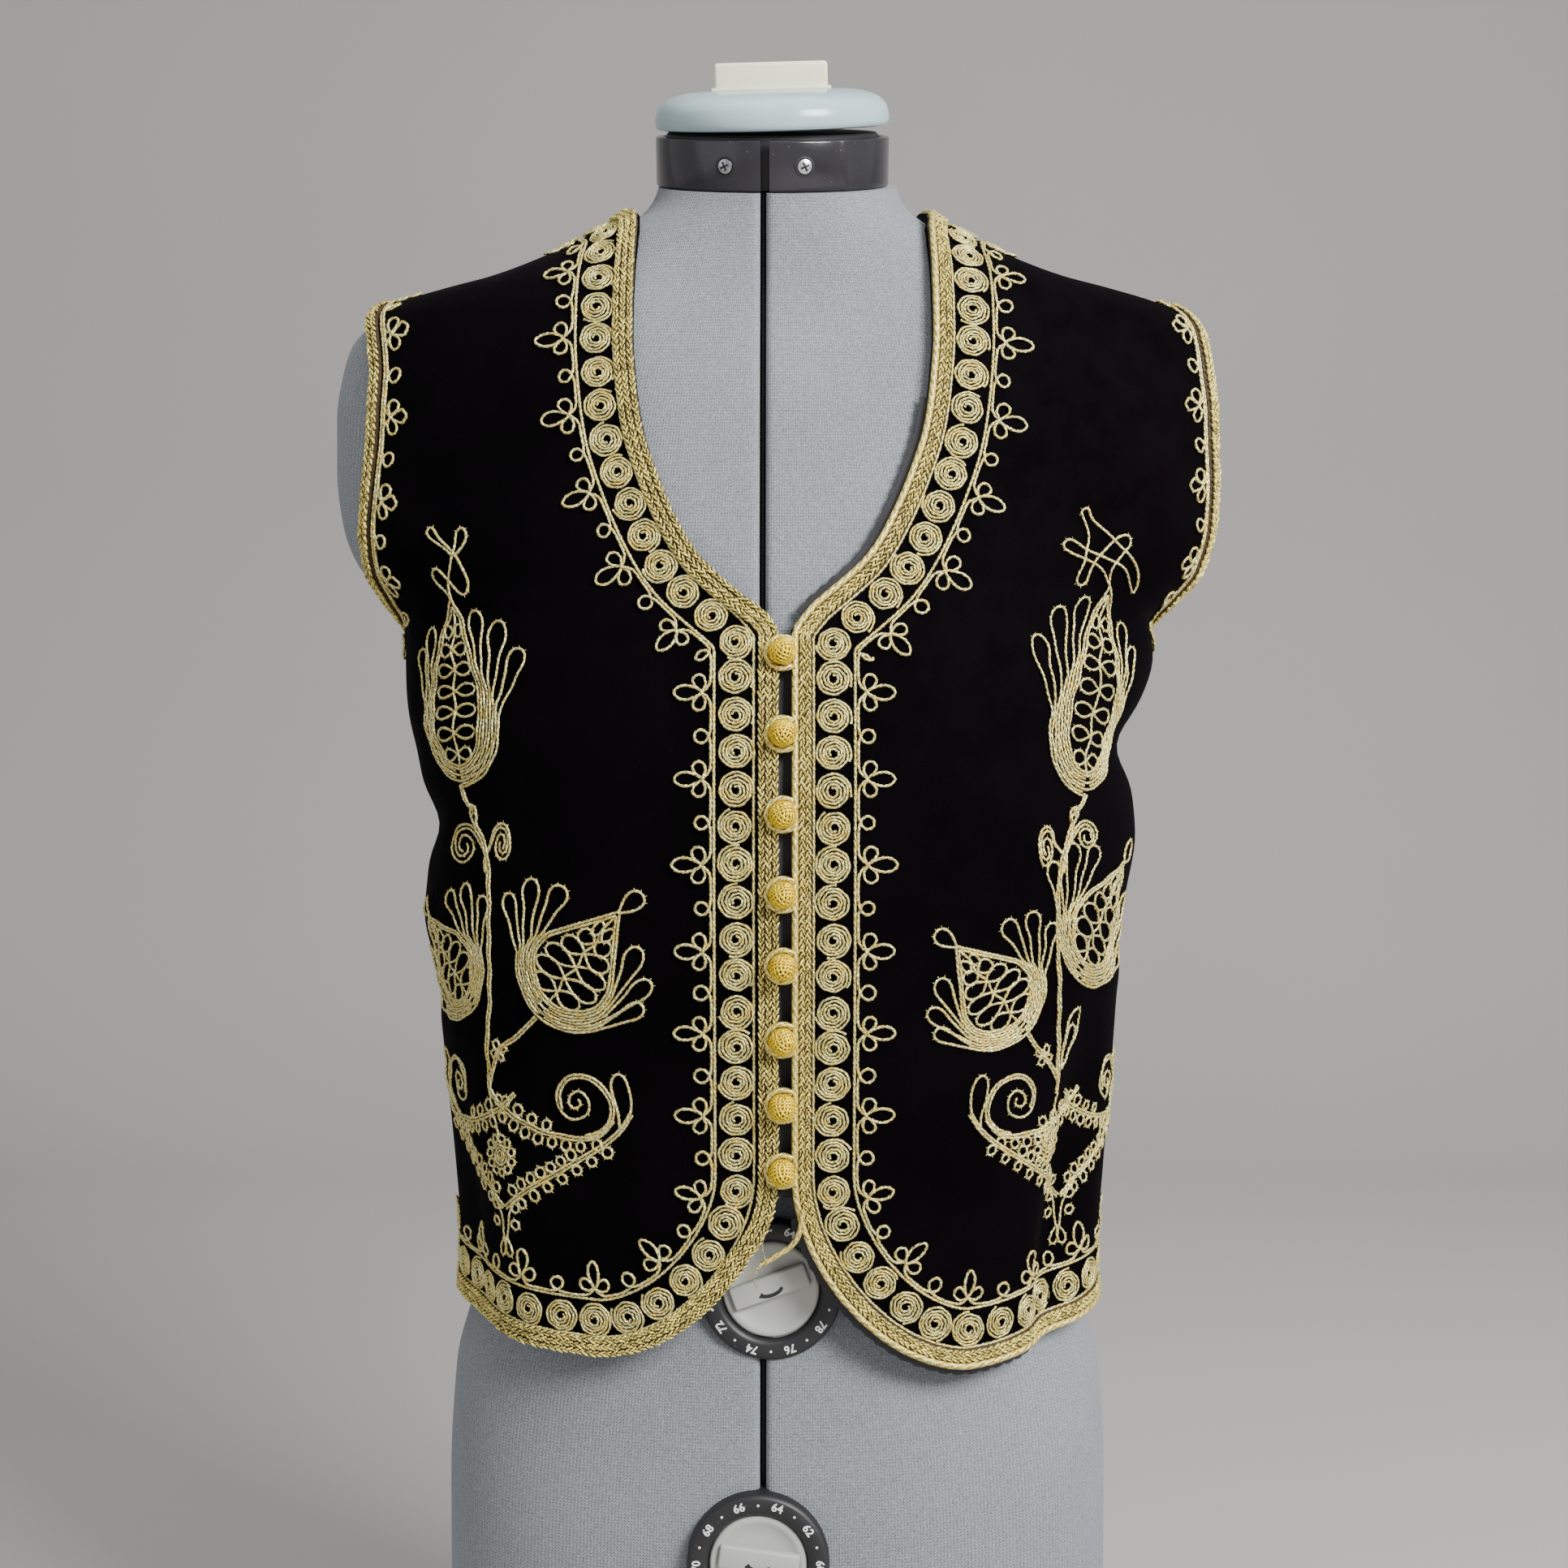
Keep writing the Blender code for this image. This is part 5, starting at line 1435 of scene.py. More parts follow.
def spiral_line(outer: float, inner: float, turns: float, start: float, hand: float = 1.0) -> Array:
    """A flat spiral from its outer end to its inner end, round the origin."""
    turn = np.linspace(0, math.tau * turns, max(12, round(turns * 28)))
    radius = outer + (inner - outer) * turn / turn[-1]
    angle = start + hand * turn
    return evenly(np.stack([radius * np.cos(angle), radius * np.sin(angle)], axis=1), 1.15)


def trefoil_line(reach: float = 12.0, ear: float = 6.6) -> Array:
    """A cord that leaves a line, makes a loop each way along it and a long one away from it, and returns."""
    centre = (0.0, 3.6)
    k = ear / 6.6
    up = [(3.2 * k, 2.2), (6.4 * k, 3.0), (7.2 * k, 5.6), (5.2 * k, 7.6), (2.4 * k, 6.4)]
    out = [(-1.9, 6.5), (-2.9, 10), (-2.3, reach + 1.4)]
    far = out + [(0, reach + 3.4)] + [(-x, y) for x, y in out[::-1]]
    down = [(-x, y) for x, y in up[::-1]]
    route = [(-8.0, 0.0), (-4.0, 0.3), (-1.6, 1.8), centre] + up + [centre] + far + [centre] + down
    return smooth_path(route + [centre, (1.6, 1.8), (4.0, 0.3), (8.0, 0.0)], 1.1)


def single_loop(size: float = 6.0) -> Array:
    """A cord that leaves a line, makes one round loop and returns."""
    k = size / 6.0
    route = [(-4, 0), (-1.5, 0.4), (1.4, 1.6), (2.9, 3.8), (2.0, 6.2), (0, 7.0), (-2.0, 6.2), (-2.9, 3.8)]
    route += [(-1.4, 1.6), (1.5, 0.4), (4, 0)]
    return smooth_path([(x * k, y * k) for x, y in route], 1.1)


# The vest


class Side(Enum):
    """The wearer's sides."""

    RIGHT = -1
    LEFT = 1

    @property
    def word(self) -> str:
        """The side's name in pieces."""
        return self.name.lower()


@dataclass
class Panels:
    """The velvet: two fronts and a back, each a thin shell lined with satin."""

    rows: int = 126
    columns: int = 54
    wall: float = WALL

    def layers(self, inner: Array, outer: Array, side: int, seam: int) -> tuple[Array, Array]:
        """Outer and inner points of a panel between its edges.

        Args:
            inner: the free edge's angles and heights, from the hem up.
            outer: the side seam and the armhole, from the hem up.
            side: 1 for the wearer's left.
            seam: -1 in front of the side seam, 1 behind it.

        Returns:
            The two grids of points.
        """
        across = np.linspace(0, 1, self.columns)
        rows = inner[:, None, :] * (1 - across)[None, :, None] + outer[:, None, :] * across[None, :, None]
        up = np.linspace(0, 1, len(inner))[:, None]
        hem = hem_height(rows[0, :, 0], side if seam < 0 else 1)
        rows[..., 1] += (1 - up) ** 6 * (hem - rows[0, :, 1])
        angle = side * rows[..., 0]
        top = cloth_point(angle, rows[..., 1])
        under = top - cloth_normal(angle, rows[..., 1]) * self.wall
        for layer in (top, under):
            for edge in (layer[:, -1], layer[-1]):
                edge[:, 1] = seam * np.maximum(seam * edge[:, 1], SEAM_GAP / 2)
        return top, under

    def shell(self, name: str, layers: Sequence[tuple[Array, Array]]) -> Object:
        """A closed thin shell of one or two halves, velvet outside and satin inside."""
        work = bmesh.new()
        for outer, inner in layers:
            rows, columns = outer.shape[:2]
            verts = [work.verts.new(point) for layer in (outer, inner) for point in layer.reshape(-1, 3)]
            index = np.arange(2 * rows * columns).reshape(2, rows, columns)
            for number, layer in enumerate(index):
                quads = np.stack([layer[:-1, :-1], layer[:-1, 1:], layer[1:, 1:], layer[1:, :-1]], axis=-1)
                for quad in quads.reshape(-1, 4):
                    work.faces.new([verts[i] for i in quad]).material_index = number
            rim = np.concatenate([index[0, 0], index[0, 1:, -1], index[0, -1, -2::-1], index[0, -2:0:-1, 0]])
            depth = rows * columns
            for here, ahead in zip(rim, np.roll(rim, -1)):
                if max(abs(verts[here].co.x), abs(verts[ahead].co.x)) > 1e-5:
                    work.faces.new([verts[i] for i in (here, ahead, ahead + depth, here + depth)])
        bmesh.ops.remove_doubles(work, verts=work.verts, dist=1e-5)
        bmesh.ops.recalc_face_normals(work, faces=work.faces)
        mesh = shaded(work, bpy.data.meshes.new(name), 55)
        mesh.materials.append(VELVET.material())
        mesh.materials.append(LINING.material())
        return new_object(name, mesh)

    def front(self, side: Side) -> Object:
        """One front."""
        sign = side.value
        corner, closure, neck, top = front_edge(sign)
        upper = round(self.rows * 0.45)
        lower = self.rows - upper
        below = [resampled(corner, lower // 3)[:-1], resampled(closure, lower - lower // 3 + 2)[:-1]]
        inner = np.concatenate(below + [resampled(neck + top, upper)])
        seam = [(math.pi / 2, HEM_SIDE), (math.pi / 2, ARMHOLE[0][1])]
        outer = np.concatenate([resampled(seam, lower + 1)[:-1], resampled(arm_edge(sign, 0), upper)])
        piece = self.shell(f"velvet_front_{side.word}", [self.layers(inner, outer, sign, -1)])
        return finished(piece, VELVET, [f"front_{side.word}"])

    def back(self) -> Object:
        """The back in one piece."""
        upper = round(self.rows * 0.40)
        lower = self.rows - upper
        centre = [(math.pi, HEM_BACK), (math.pi, BACK_NECK_HEIGHT)]
        inner = np.concatenate([resampled(centre, self.rows - 22)[:-1], resampled(back_neck(), 23)])
        seam = [(math.pi / 2, HEM_SIDE), (math.pi / 2, ARMHOLE[0][1])]
        halves = []
        for sign in (1, -1):
            arm = [(math.pi - angle, height) for angle, height in arm_edge(sign, 1)]
            outer = np.concatenate([resampled(seam, lower + 1)[:-1], resampled(arm, upper)])
            halves.append(self.layers(inner, outer, sign, 1))
        return finished(self.shell("velvet_back", halves), VELVET, ["back"])


@dataclass
class Ribbon:
    """A flat trim that follows an edge line, with a rounded top."""

    near: float
    far: float
    low: float
    high: float
    steps: int = 6

    def build(self, name: str, line: EdgeLine, runs: Array, closed: bool = False) -> Mesh:
        """Lay the trim along lengths of a line."""
        share = np.linspace(0, 1, self.steps)
        inside = self.near + (self.far - self.near) * share
        crown = self.low + (self.high - self.low) * np.sqrt(np.clip(1 - (2 * share - 1) ** 2, 0, 1)) ** 0.6
        ring = [on_cloth(*line.spots(runs, i), h) for i, h in zip(inside, crown)]
        under = [on_cloth(*line.spots(runs, i), self.low) for i in inside[-2:0:-1]]
        rings = np.stack(ring + under, axis=1)
        return swept(name, rings, closed, smooth_angle=60)


def bundle_piece() -> Object:
    """One bundle of a plait, one unit long on Y, with few faces."""
    work = bmesh.new()
    bmesh.ops.create_icosphere(work, subdivisions=1, radius=0.5)
    return new_object("plait_bundle", shaded(work, bpy.data.meshes.new("plait_bundle")))


@dataclass
class Plaits:
    """Columns of herringbone bundles along an edge line."""

    columns: Sequence[float]
    width: float
    pitch: float = 0.0030
    lift: float = 0.0024

    def add_to(self, pieces: SetPieces, line: EdgeLine, start: float, end: float) -> None:
        """Set the bundles of all columns.

        Args:
            pieces: where the bundles are gathered.
            line: the edge line.
            start: length along the line of the first bundle.
            end: length along the line of the last one.
        """
        count = round((end - start) / self.pitch)
        runs = start + (np.arange(count) + 0.5) * (end - start) / count
        for number, centre in enumerate(self.columns):
            for half in (-1, 1):
                shift = 0.25 * half * self.pitch
                inside = centre + half * self.width * 0.20
                angle, height = line.spots(runs + shift, inside)
                ahead = line.spots(runs + shift + 0.0012, inside)
                place = cloth_point(angle, height)
                along = unit(cloth_point(*ahead) - place)
                normal = cloth_normal(angle, height)
                across = np.cross(normal, along)
                spread = np.array([uneven(n, number + 3 * half) for n in range(count)])[:, None]
                lean = half * (math.radians(19) + 0.16 * spread)
                forward = along * np.cos(lean) + across * np.sin(lean)
                size = np.array([self.width * 0.37, self.pitch * 1.55, 0.0017]) * (1 + 0.16 * spread)
                pieces.add(place + normal * (self.lift + 0.0001 * spread), forward, normal, size)


@dataclass
class Trims:
    """Everything that follows one side's edges: braids, cords, rosettes, trefoils and loops."""

    side: Side
    cord_radius: float = 0.00066
    rosette_pitch: float = 0.0152
    rosette_radius: float = 0.0081
    rosette_hole: float = 0.0014
    rosette_rounds: float = 4.7
    rosette_cord: float = 0.00056
    overhang: float = 0.0020
    link_inside: float = 0.0084
    rosettes_inside: float = 0.0156
    outer_inside: float = 0.0246
    twin_inside: float = 0.0259
    rope_room: float = 0.0016
    plait_width: float = 0.0029
    figure_pitch: float = 0.0354
    figure_height: float = 0.4580
    arm_figure_pitch: float = 0.036
    arm_inside: tuple[float, float] = (0.0080, 0.0094)
    cord_step: float = 0.0022

    def __post_init__(self) -> None:
        """Measure the edge and the lanes beside it."""
        sign = self.side.value
        self.edge = EdgeLine(whole_edge(sign), sign)
        self.arm = EdgeLine(whole_armhole(sign), sign, turn=-1, closed=True)
        room = self.rope_room if sign > 0 else 0.0
        self.rosette_lane = self.lane(self.rosettes_inside + room, 0.012)
        self.link_lane = self.lane(self.link_inside + room / 2, 0.008)
        self.outer_lane = self.lane(self.outer_inside + room, 0.020)
        self.twin_lane = self.lane(self.twin_inside + room, 0.020)
        self.braid_line = self.edge if sign > 0 else self.braid_over_the_gap()

    def lane(self, inside: float, softness: float) -> EdgeLine:
        """A line at a distance inside the edge, without the knots of tight corners."""
        sign = self.side.value
        run = np.linspace(0, self.edge.length, round(self.edge.length / 0.003))
        angle, height = self.edge.spots(run, inside)
        placed = cloth_point(angle, height)
        base = cloth_point(*self.edge.spots(run, 0.0))
        onward = np.gradient(base, axis=0)
        steps = np.gradient(placed, axis=0)
        kept = (onward * steps).sum(1) > 0.25 * (onward * onward).sum(1)
        kept[0] = kept[-1] = True
        points = np.column_stack([angle * sign, height])[kept]
        return EdgeLine(points, sign, softness=softness)

    def braid_over_the_gap(self) -> EdgeLine:
        """The line of a braid that reaches a little past the cloth along the closure."""
        run = np.linspace(0, self.edge.length, round(self.edge.length / 0.003))
        angle, height = self.edge.spots(run, 0.0)
        aside = np.abs(cloth_point(angle, height)[:, 0] - VEST_CENTRE_X)
        share = np.clip((0.016 - aside) / 0.010, 0, 1) * (np.abs(angle) < 1)
        angle, height = self.edge.spots(run, -self.overhang * share**2 * (3 - 2 * share))
        return EdgeLine(np.column_stack([angle * self.side.value, height]), self.side.value)

    def crossing_lift(self, shape: Array) -> Array:
        """Height of a cord over the cloth, with a slow rise and fall so that crossings pass over."""
        run = run_length(shape)
        return self.cord_radius * (1.15 + 0.55 * np.sin(run * math.tau / 13.0))

    def plain_cord(self, lane: EdgeLine) -> Array:
        """A cord along a whole lane."""
        runs = np.linspace(0, lane.length, round(lane.length / self.cord_step))
        return on_cloth(*lane.spots(runs, 0.0), self.cord_radius * 1.05)

    def anchor(self, lane: EdgeLine, pitch: float, height: float) -> Array:
        """Even places along a lane, one of them at a height of the closure.

        Args:
            lane: the lane.
            pitch: distance between places.
            height: the height at which one of them stands.

        Returns:
            Lengths along the lane.
        """
        fixed = self.run_at(lane, height)
        low = math.floor((fixed - pitch * 0.4) / pitch)
        high = math.floor((lane.length - fixed - pitch * 0.4) / pitch)
        return fixed + np.arange(-low, high + 1) * pitch

    @staticmethod
    def run_at(lane: EdgeLine, height: float) -> float:
        """Length along a lane where its upright front stretch passes a height."""
        front = (np.abs(lane.points[:, 0]) < math.radians(45)) & (np.abs(lane.points[:, 1] - height) < 0.02)
        index = np.where(front)[0]
        return float(np.interp(height, lane.points[index, 1], lane.run[index]))

    def braid(self) -> None:
        """The plaited braid round the outer edge, on a dark bed that paints the shade between its bundles."""
        word = self.side.word
        line = self.braid_line
        runs = np.linspace(0.0004, line.length - 0.0004, round(line.length / 0.004))
        shade_bed = Ribbon(0.0, 0.0086, 0.0006, 0.0018).build(f"braid_bed_{word}", line, runs)
        shown(shade_bed, BRAID_SHADE_BED, f"edge_braid_{word}")
        pieces = SetPieces()
        columns = (0.0045, 0.0070) if self.side is Side.LEFT else (0.0014, 0.0043, 0.0072)
        Plaits(columns, self.plait_width, lift=0.0021).add_to(pieces, line, 0.001, line.length - 0.001)
        finished(pieces.build(f"edge_plaits_{word}", bundle_piece(), BRAID), BRAID)
        if self.side is Side.LEFT:
            rope = CordWork(0.0015, 6)
            rope.add(on_cloth(*line.spots(runs, 0.0016), np.full(len(runs), 0.0021)))
            finished(rope.build("edge_rope_left", LOOP_CORD), LOOP_CORD)

    def arm_braid(self) -> None:
        """The narrower braid round the armhole."""
        word = self.side.word
        line = self.arm
        runs = np.linspace(0, line.length, round(line.length / 0.004), endpoint=False)
        # The dark bed under the bundles is painted shade between them.
        shade_bed = Ribbon(-0.0002, 0.0062, 0.0005, 0.0018).build(f"arm_bed_{word}", line, runs, closed=True)
        shown(shade_bed, BRAID_SHADE_BED, f"arm_braid_{word}")
        pieces = SetPieces()
        Plaits((0.0016, 0.0045), self.plait_width, lift=0.0023).add_to(pieces, line, 0.0, line.length)
        finished(pieces.build(f"arm_plaits_{word}", bundle_piece(), BRAID), BRAID)

    def rosette_piece(self, kind: int) -> Object:
        """One coil of cord, centred on the origin, flat on X and Y; each kind is wound differently."""
        turns = self.rosette_rounds - 0.17 * kind
        turn = np.linspace(0, math.tau * turns, round(turns * 26))
        outer = self.rosette_radius - 0.00062
        radius = outer + (self.rosette_hole - outer) * turn / turn[-1]
        wound = radius + 0.00015 * np.sin(turn * 2.3 + kind * 1.7) + 0.00013 * np.sin(turn * 7.1 + kind)
        dome = 0.00075 + 0.0005 * (1 - (radius / outer) ** 2) + 0.00016 * np.sin(turn * 4.7 + kind * 2.1)
        coil = CordWork(self.rosette_cord)
        lumps = 1 + CORD_KNOBS * np.sin(turn * 9.3 + kind)
        coil.add(np.stack([wound * np.cos(turn), wound * np.sin(turn), dome], axis=1), lumps)
        return coil.build("rosette_coil", ROSETTE_CORD)

    def rosettes(self) -> None:
        """The chain of coils beside the braid, in three kinds by turns."""
        lane = self.rosette_lane
        count = int(lane.length / self.rosette_pitch)
        runs = (np.arange(count) + 0.5) * lane.length / count
        shake = np.array([[uneven(n, salt) for salt in range(4)] for n in range(count)])
        angle, height = lane.spots(runs + 0.0004 * shake[:, 0], 0.0003 * shake[:, 1])
        normal = cloth_normal(angle, height)
        place = on_cloth(angle, height, np.full(count, 0.0003))
        ahead = cloth_point(*lane.spots(np.minimum(runs + 0.003, lane.length), 0.0)) - place
        across = np.cross(normal, ahead)
        spin = math.pi * shake[:, 2:3]
        forward = ahead * np.cos(spin) + across * np.sin(spin)
        size = np.repeat(1 + 0.035 * shake[:, 3:4], 3, axis=1)
        for kind in range(3):
            pieces = SetPieces()
            pieces.add(place[kind::3], forward[kind::3], normal[kind::3], size[kind::3])
            name = f"rosette_chain_{self.side.word}_{kind + 1}"
            made = pieces.build(name, self.rosette_piece(kind), ROSETTE_CORD)
            finished(made, ROSETTE_CORD, [] if kind else [f"rosettes_{self.side.word}"])

    def straight(self, last: float, end: float) -> Array:
        """Places on a lane from one step past the last one up to an end."""
        plain = np.arange(last + self.cord_step, end, self.cord_step)
        return np.column_stack([plain, np.zeros(len(plain))])

    def cords(self) -> None:
        """Thin cords beside the rosettes; the outermost one makes the trefoils and loops as it goes."""
        work = CordWork(self.cord_radius, knobs=CORD_KNOBS)
        work.add(self.plain_cord(self.link_lane))
        work.add(self.plain_cord(self.outer_lane))
        lane = self.twin_lane
        figures = []
        for number, run in enumerate(self.anchor(lane, self.figure_pitch, self.figure_height)):
            grown = (1 + 0.05 * uneven(number), 1 + 0.07 * uneven(number, 1))
            figures.append((run + 0.0006 * uneven(number, 2), trefoil_line() * grown))
            figures.append((run + self.figure_pitch / 2, single_loop(6.0 + 0.5 * uneven(number, 3))))
        route = [np.array([[0.001, 0.0]])]
        for run, figure in figures:
            start, end = run + figure[0, 0] * MM, run + figure[-1, 0] * MM
            if start > route[-1][-1, 0] + 0.001 and end < lane.length - 0.001:
                route.append(self.straight(route[-1][-1, 0], start - 0.001))
                route.append(figure * MM + (run, 0.0))
        whole = np.concatenate(route + [self.straight(route[-1][-1, 0], lane.length)])
        lift = self.crossing_lift(whole / MM)
        work.add(on_cloth(*lane.spots(whole[:, 0], whole[:, 1]), lift))
        finished(work.build(f"edge_cords_{self.side.word}", CORD), CORD)

    def arm_cords(self) -> None:
        """The cord round the armhole with its trefoils and loops."""
        work = CordWork(self.cord_radius, knobs=CORD_KNOBS)
        line = self.arm
        runs = np.linspace(0, line.length, round(line.length / self.cord_step), endpoint=False)
        for inside in self.arm_inside:
            points = on_cloth(*line.spots(runs, inside), np.full(len(runs), self.cord_radius * 1.05))
            work.add(points, closed=True)
        count = round(line.length / self.arm_figure_pitch)
        shape, loop = trefoil_line(9.0) + (0, 9.5), single_loop() + (0, 9.5)
        for number in range(count):
            for figure, run in ((shape, number), (loop, number + 0.5)):
                at = (run + 0.25) * line.length / count
                wrapped = (at + figure[:, 0] * MM) % line.length
                angle, height = line.spots(wrapped, figure[:, 1] * MM)
                work.add(on_cloth(angle, height, self.crossing_lift(figure)))
        finished(work.build(f"arm_cords_{self.side.word}", CORD), CORD)

    def build(self) -> None:
        """Make all the trims of this side."""
        for make in (self.braid, self.arm_braid, self.rosettes, self.cords, self.arm_cords):
            make()


@dataclass
class Drawing:
    """Flat cords of a motif, gathered in millimetres, with the picots on their tight bends."""

    chart: FlatChart
    work: CordWork
    hand: float = 1.0
    barbs: SetPieces = field(default_factory=SetPieces)

    def add(self, points: Array, step: float = 1.25, thick: float = 1.0) -> None:
        """Lay one flat cord on the cloth."""
        line = evenly(np.asarray(points, float), step)
        run = run_length(line)
        angle, height = self.chart.spots(line * (self.hand, 1.0))
        lift = self.work.radius * (1.12 + 0.50 * np.sin(run * math.tau / 14.5 + line[0, 0]))
        placed = on_cloth(angle, height, lift)
        self.work.add(placed, thick)
        self.add_picots(line, placed, angle, height)

    def add_picots(self, line: Array, placed: Array, angle: Array, height: Array) -> None:
        """Tiny thread points on the outside of a cord's tight bends."""
        bend = np.gradient(unit(np.gradient(line, axis=0)), axis=0)
        tight = (np.linalg.norm(bend, axis=1) > 0.22) & (np.arange(len(line)) % 2 == 0)
        tight[:2] = tight[-2:] = False
        if not tight.any():
            return
        outward = -unit(np.gradient(np.gradient(placed, axis=0), axis=0)[tight])
        normal = cloth_normal(angle[tight], height[tight])
        places = placed[tight] + outward * self.work.radius * 1.25
        self.barbs.add(places, outward, normal, (0.00055, 0.0013, 0.00055))

    def bundle(self, points: Array, offsets: Iterable[float]) -> None:
        """Lay parallel cords beside a line."""
        for offset in offsets:
            self.add(beside(points, offset))


# Half outlines of the tulips' hearts in millimetres: distance from the foot, half width
HEART_SLIM = (
    (8, 0), (9.5, 4.6), (13, 8.2), (23, 12.2), (35, 12.8), (46, 11.2), (58, 8), (70, 4.6), (81, 0.3)
)
HEART_WIDE = (
    (10.5, 0), (11.6, 5), (14.5, 10.5), (19, 15.2), (26, 18.2), (32, 17.8), (41, 13.2), (51, 7), (62, 0.3)
)


# A petal's top beside the tulip's axis and above its foot, its width, and how high it leaves the heart
Petal = tuple[float, float, float, float]


@dataclass
class Tulip:
    """A tulip: a pointed heart in parallel cords that rise past it and open into looped petals.

    Its own X points to the first list of petals, and its Y from the foot to the tip, in millimetres.
    """

    foot: Point2
    axis: Point2
    heart: Sequence[Point2]
    petals: tuple[Sequence[Petal], Sequence[Petal]]
    rows: Sequence[Point2]
    hand: float = -1.0
    size: float = 1.0
    stretch: float = 1.0
    spacing: float = 1.26
    tip_loop: float = 0.0
    row_height: float = 3.1

    def put(self, drawing: Drawing, points: Any) -> None:
        """Lay a line of the tulip's own frame."""
        scaled = np.asarray(points, float) * (self.size * self.stretch, self.size)
        drawing.add(framed(scaled, self.foot, self.axis, self.hand))

    def wall(self, lane: float) -> Array:
        """The heart's right edge from its foot to its tip, moved out by lanes."""
        table = [(y, x) for y, x in self.heart]
        low, high = self.heart[0][0], self.heart[-1][0]
        y = low + (high - low) * (1 - np.cos(np.linspace(0, math.pi, 60))) / 2
        line = np.stack([table_curve(table, y)[..., 0], y], axis=1)
        moved = beside(line, -self.spacing * lane)
        moved[0] = (0.0, low - self.spacing * lane)
        return moved

    def petal_route(self, number: int, petal_size: Petal) -> Array:
        """One petal with its two cords from the foot."""
        x, y, width, leaves = petal_size
        outer = self.wall(2 * number + 2)
        inner = self.wall(2 * number + 1)
        outer = outer[outer[:, 1] < leaves]
        inner = inner[inner[:, 1] < leaves + 4]
        top = np.array([x, y])
        root = (outer[-1] + inner[-1]) / 2
        reach = float(np.linalg.norm(top - root))
        ahead = (top - root) / reach
        side = np.array([ahead[1], -ahead[0]]) * width / 2
        half = ((0.50, 0.74), (0.22, 1.04), (0.05, 0.70), (0, 0), (0.05, -0.70), (0.22, -1.00), (0.50, -0.55))
        body = [top - ahead * reach * back + side * out for back, out in half]
        return smooth_path(np.concatenate([outer[::4], outer[-1:], body, inner[-1:], inner[::-4]]), 1.2)

    def draw(self, drawing: Drawing) -> None:
        """Lay the tulip's cords."""
        for side, petals in zip((1, -1), self.petals):
            flip = np.array([side, 1.0])
            for lane in (0.0, -1.0):
                line = self.wall(lane)
                self.put(drawing, line[line[:, 0] >= -0.01] * flip)
            for number, petal_size in enumerate(petals):
                self.put(drawing, self.petal_route(number, petal_size) * flip)
        turn = np.linspace(0, math.tau, 40)
        for y, half in self.rows:
            eight = 1 + np.sin(turn) ** 2
            x = half * np.cos(turn) / eight
            rise = 2.5 * self.row_height * np.sin(turn) * np.cos(turn) / eight
            self.put(drawing, np.stack([x, y + rise + 0.10 * x], axis=1))
        middle = [(0.8 * (-1) ** n, y) for n, (y, _) in enumerate(self.rows)]
        self.put(drawing, smooth_path([(0, self.heart[0][0])] + middle + [(0, self.heart[-1][0] - 3)], 1.2))
        if self.tip_loop:
            tip = (0.0, self.heart[-1][0] - 0.5)
            self.put(drawing, framed(petal(self.tip_loop, self.tip_loop * 0.58), tip, (0.20, 1.0)))


def slim_tulip(foot: Point2, tip: Point2, stretch: float, size: float = 1.0, hand: float = -1.0) -> Tulip:
    """The tall top tulip with a chain of double loops."""
    near = ((9.5, 76, 6.0, 50), (20.0, 71, 7.0, 42), (28.5, 59, 6.4, 33))
    far = ((-11.5, 69, 5.6, 45), (-18.0, 60, 5.6, 35))
    rows = ((14.5, 7.2), (23.5, 9.6), (32.5, 10), (41.5, 9.4), (50.5, 8.2), (59, 6.4), (67, 4.2))
    axis = (tip[0] - foot[0], tip[1] - foot[1])
    mirrored = tuple((-x, y, w, l) for x, y, w, l in far)
    return Tulip(foot, axis, HEART_SLIM, (near, mirrored), rows, hand, size, stretch)


def wide_tulip(foot: Point2, axis: Point2, size: float, stretch: float, hand: float = -1.0) -> Tulip:
    """A side tulip with a net of crossing loops and a loop at its tip."""
    petals = ((15.0, 56, 7.6, 30), (27.0, 48, 7.0, 22), (31.0, 38, 6.4, 17))
    others = ((24.0, 54, 8.0, 30), (36.0, 47, 7.6, 24), (41.0, 34, 6.6, 18))
    rows = [(17.5, 11.5), (24.5, 15.0), (31.5, 14.6), (38.5, 11.2), (45.0, 7.4), (51.0, 4.2)]
    both = (petals, others)
    return Tulip(foot, axis, HEART_WIDE, both, rows, hand, size, stretch, tip_loop=13.0, row_height=4.2)


# Routes of cord in millimetres: the two knots on top, and a wing's two arms, its hook and its spiral
SLIM_KNOT = (
    (0, -1), (-2, 4), (-6, 7.5), (-8, 11), (-5.5, 14), (-2, 12), (1.5, 7), (5, 3.5), (9, 2.5), (10.5, 8), (8, 16),
    (3, 22), (-2, 27), (-5.6, 31.5), (-8.2, 29.5), (-6, 26.5), (0, 22.5), (5, 19), (9, 22), (11.8, 27), (10.5, 30.5),
    (7.2, 29), (5.5, 22), (3, 15), (0, 8), (0.5, -1),
)
BROAD_KNOT = (
    (0, -2), (6, 5), (14, 9), (22, 11.5), (26, 14.5), (23, 17.5), (15, 13.5), (5, 10), (-5, 6.5), (-11, 0), (-15, -4),
    (-14.5, 4), (-8, 11), (0, 17), (8, 23), (13, 27), (14.5, 31), (17.5, 29.5), (16, 25.5), (14, 18), (15.5, 9),
    (18, 2.5), (17.5, -1.5), (14, -1), (12.5, 4), (9, 10), (3, 16), (-2, 19.5), (-6.2, 19.8), (-7.4, 16), (-4, 12),
    (1, 6), (0.5, -2),
)
LOW_ARM = ((0, 0), (12, 9.2), (24.7, 17), (37, 24.6), (48, 31.6), (56, 38.5), (61, 46))
HOOK = ((56, 38.5), (60.5, 46), (60.8, 54), (58.5, 61), (55, 63), (52.5, 59.5), (53.3, 53), (55.5, 46), (56, 40))
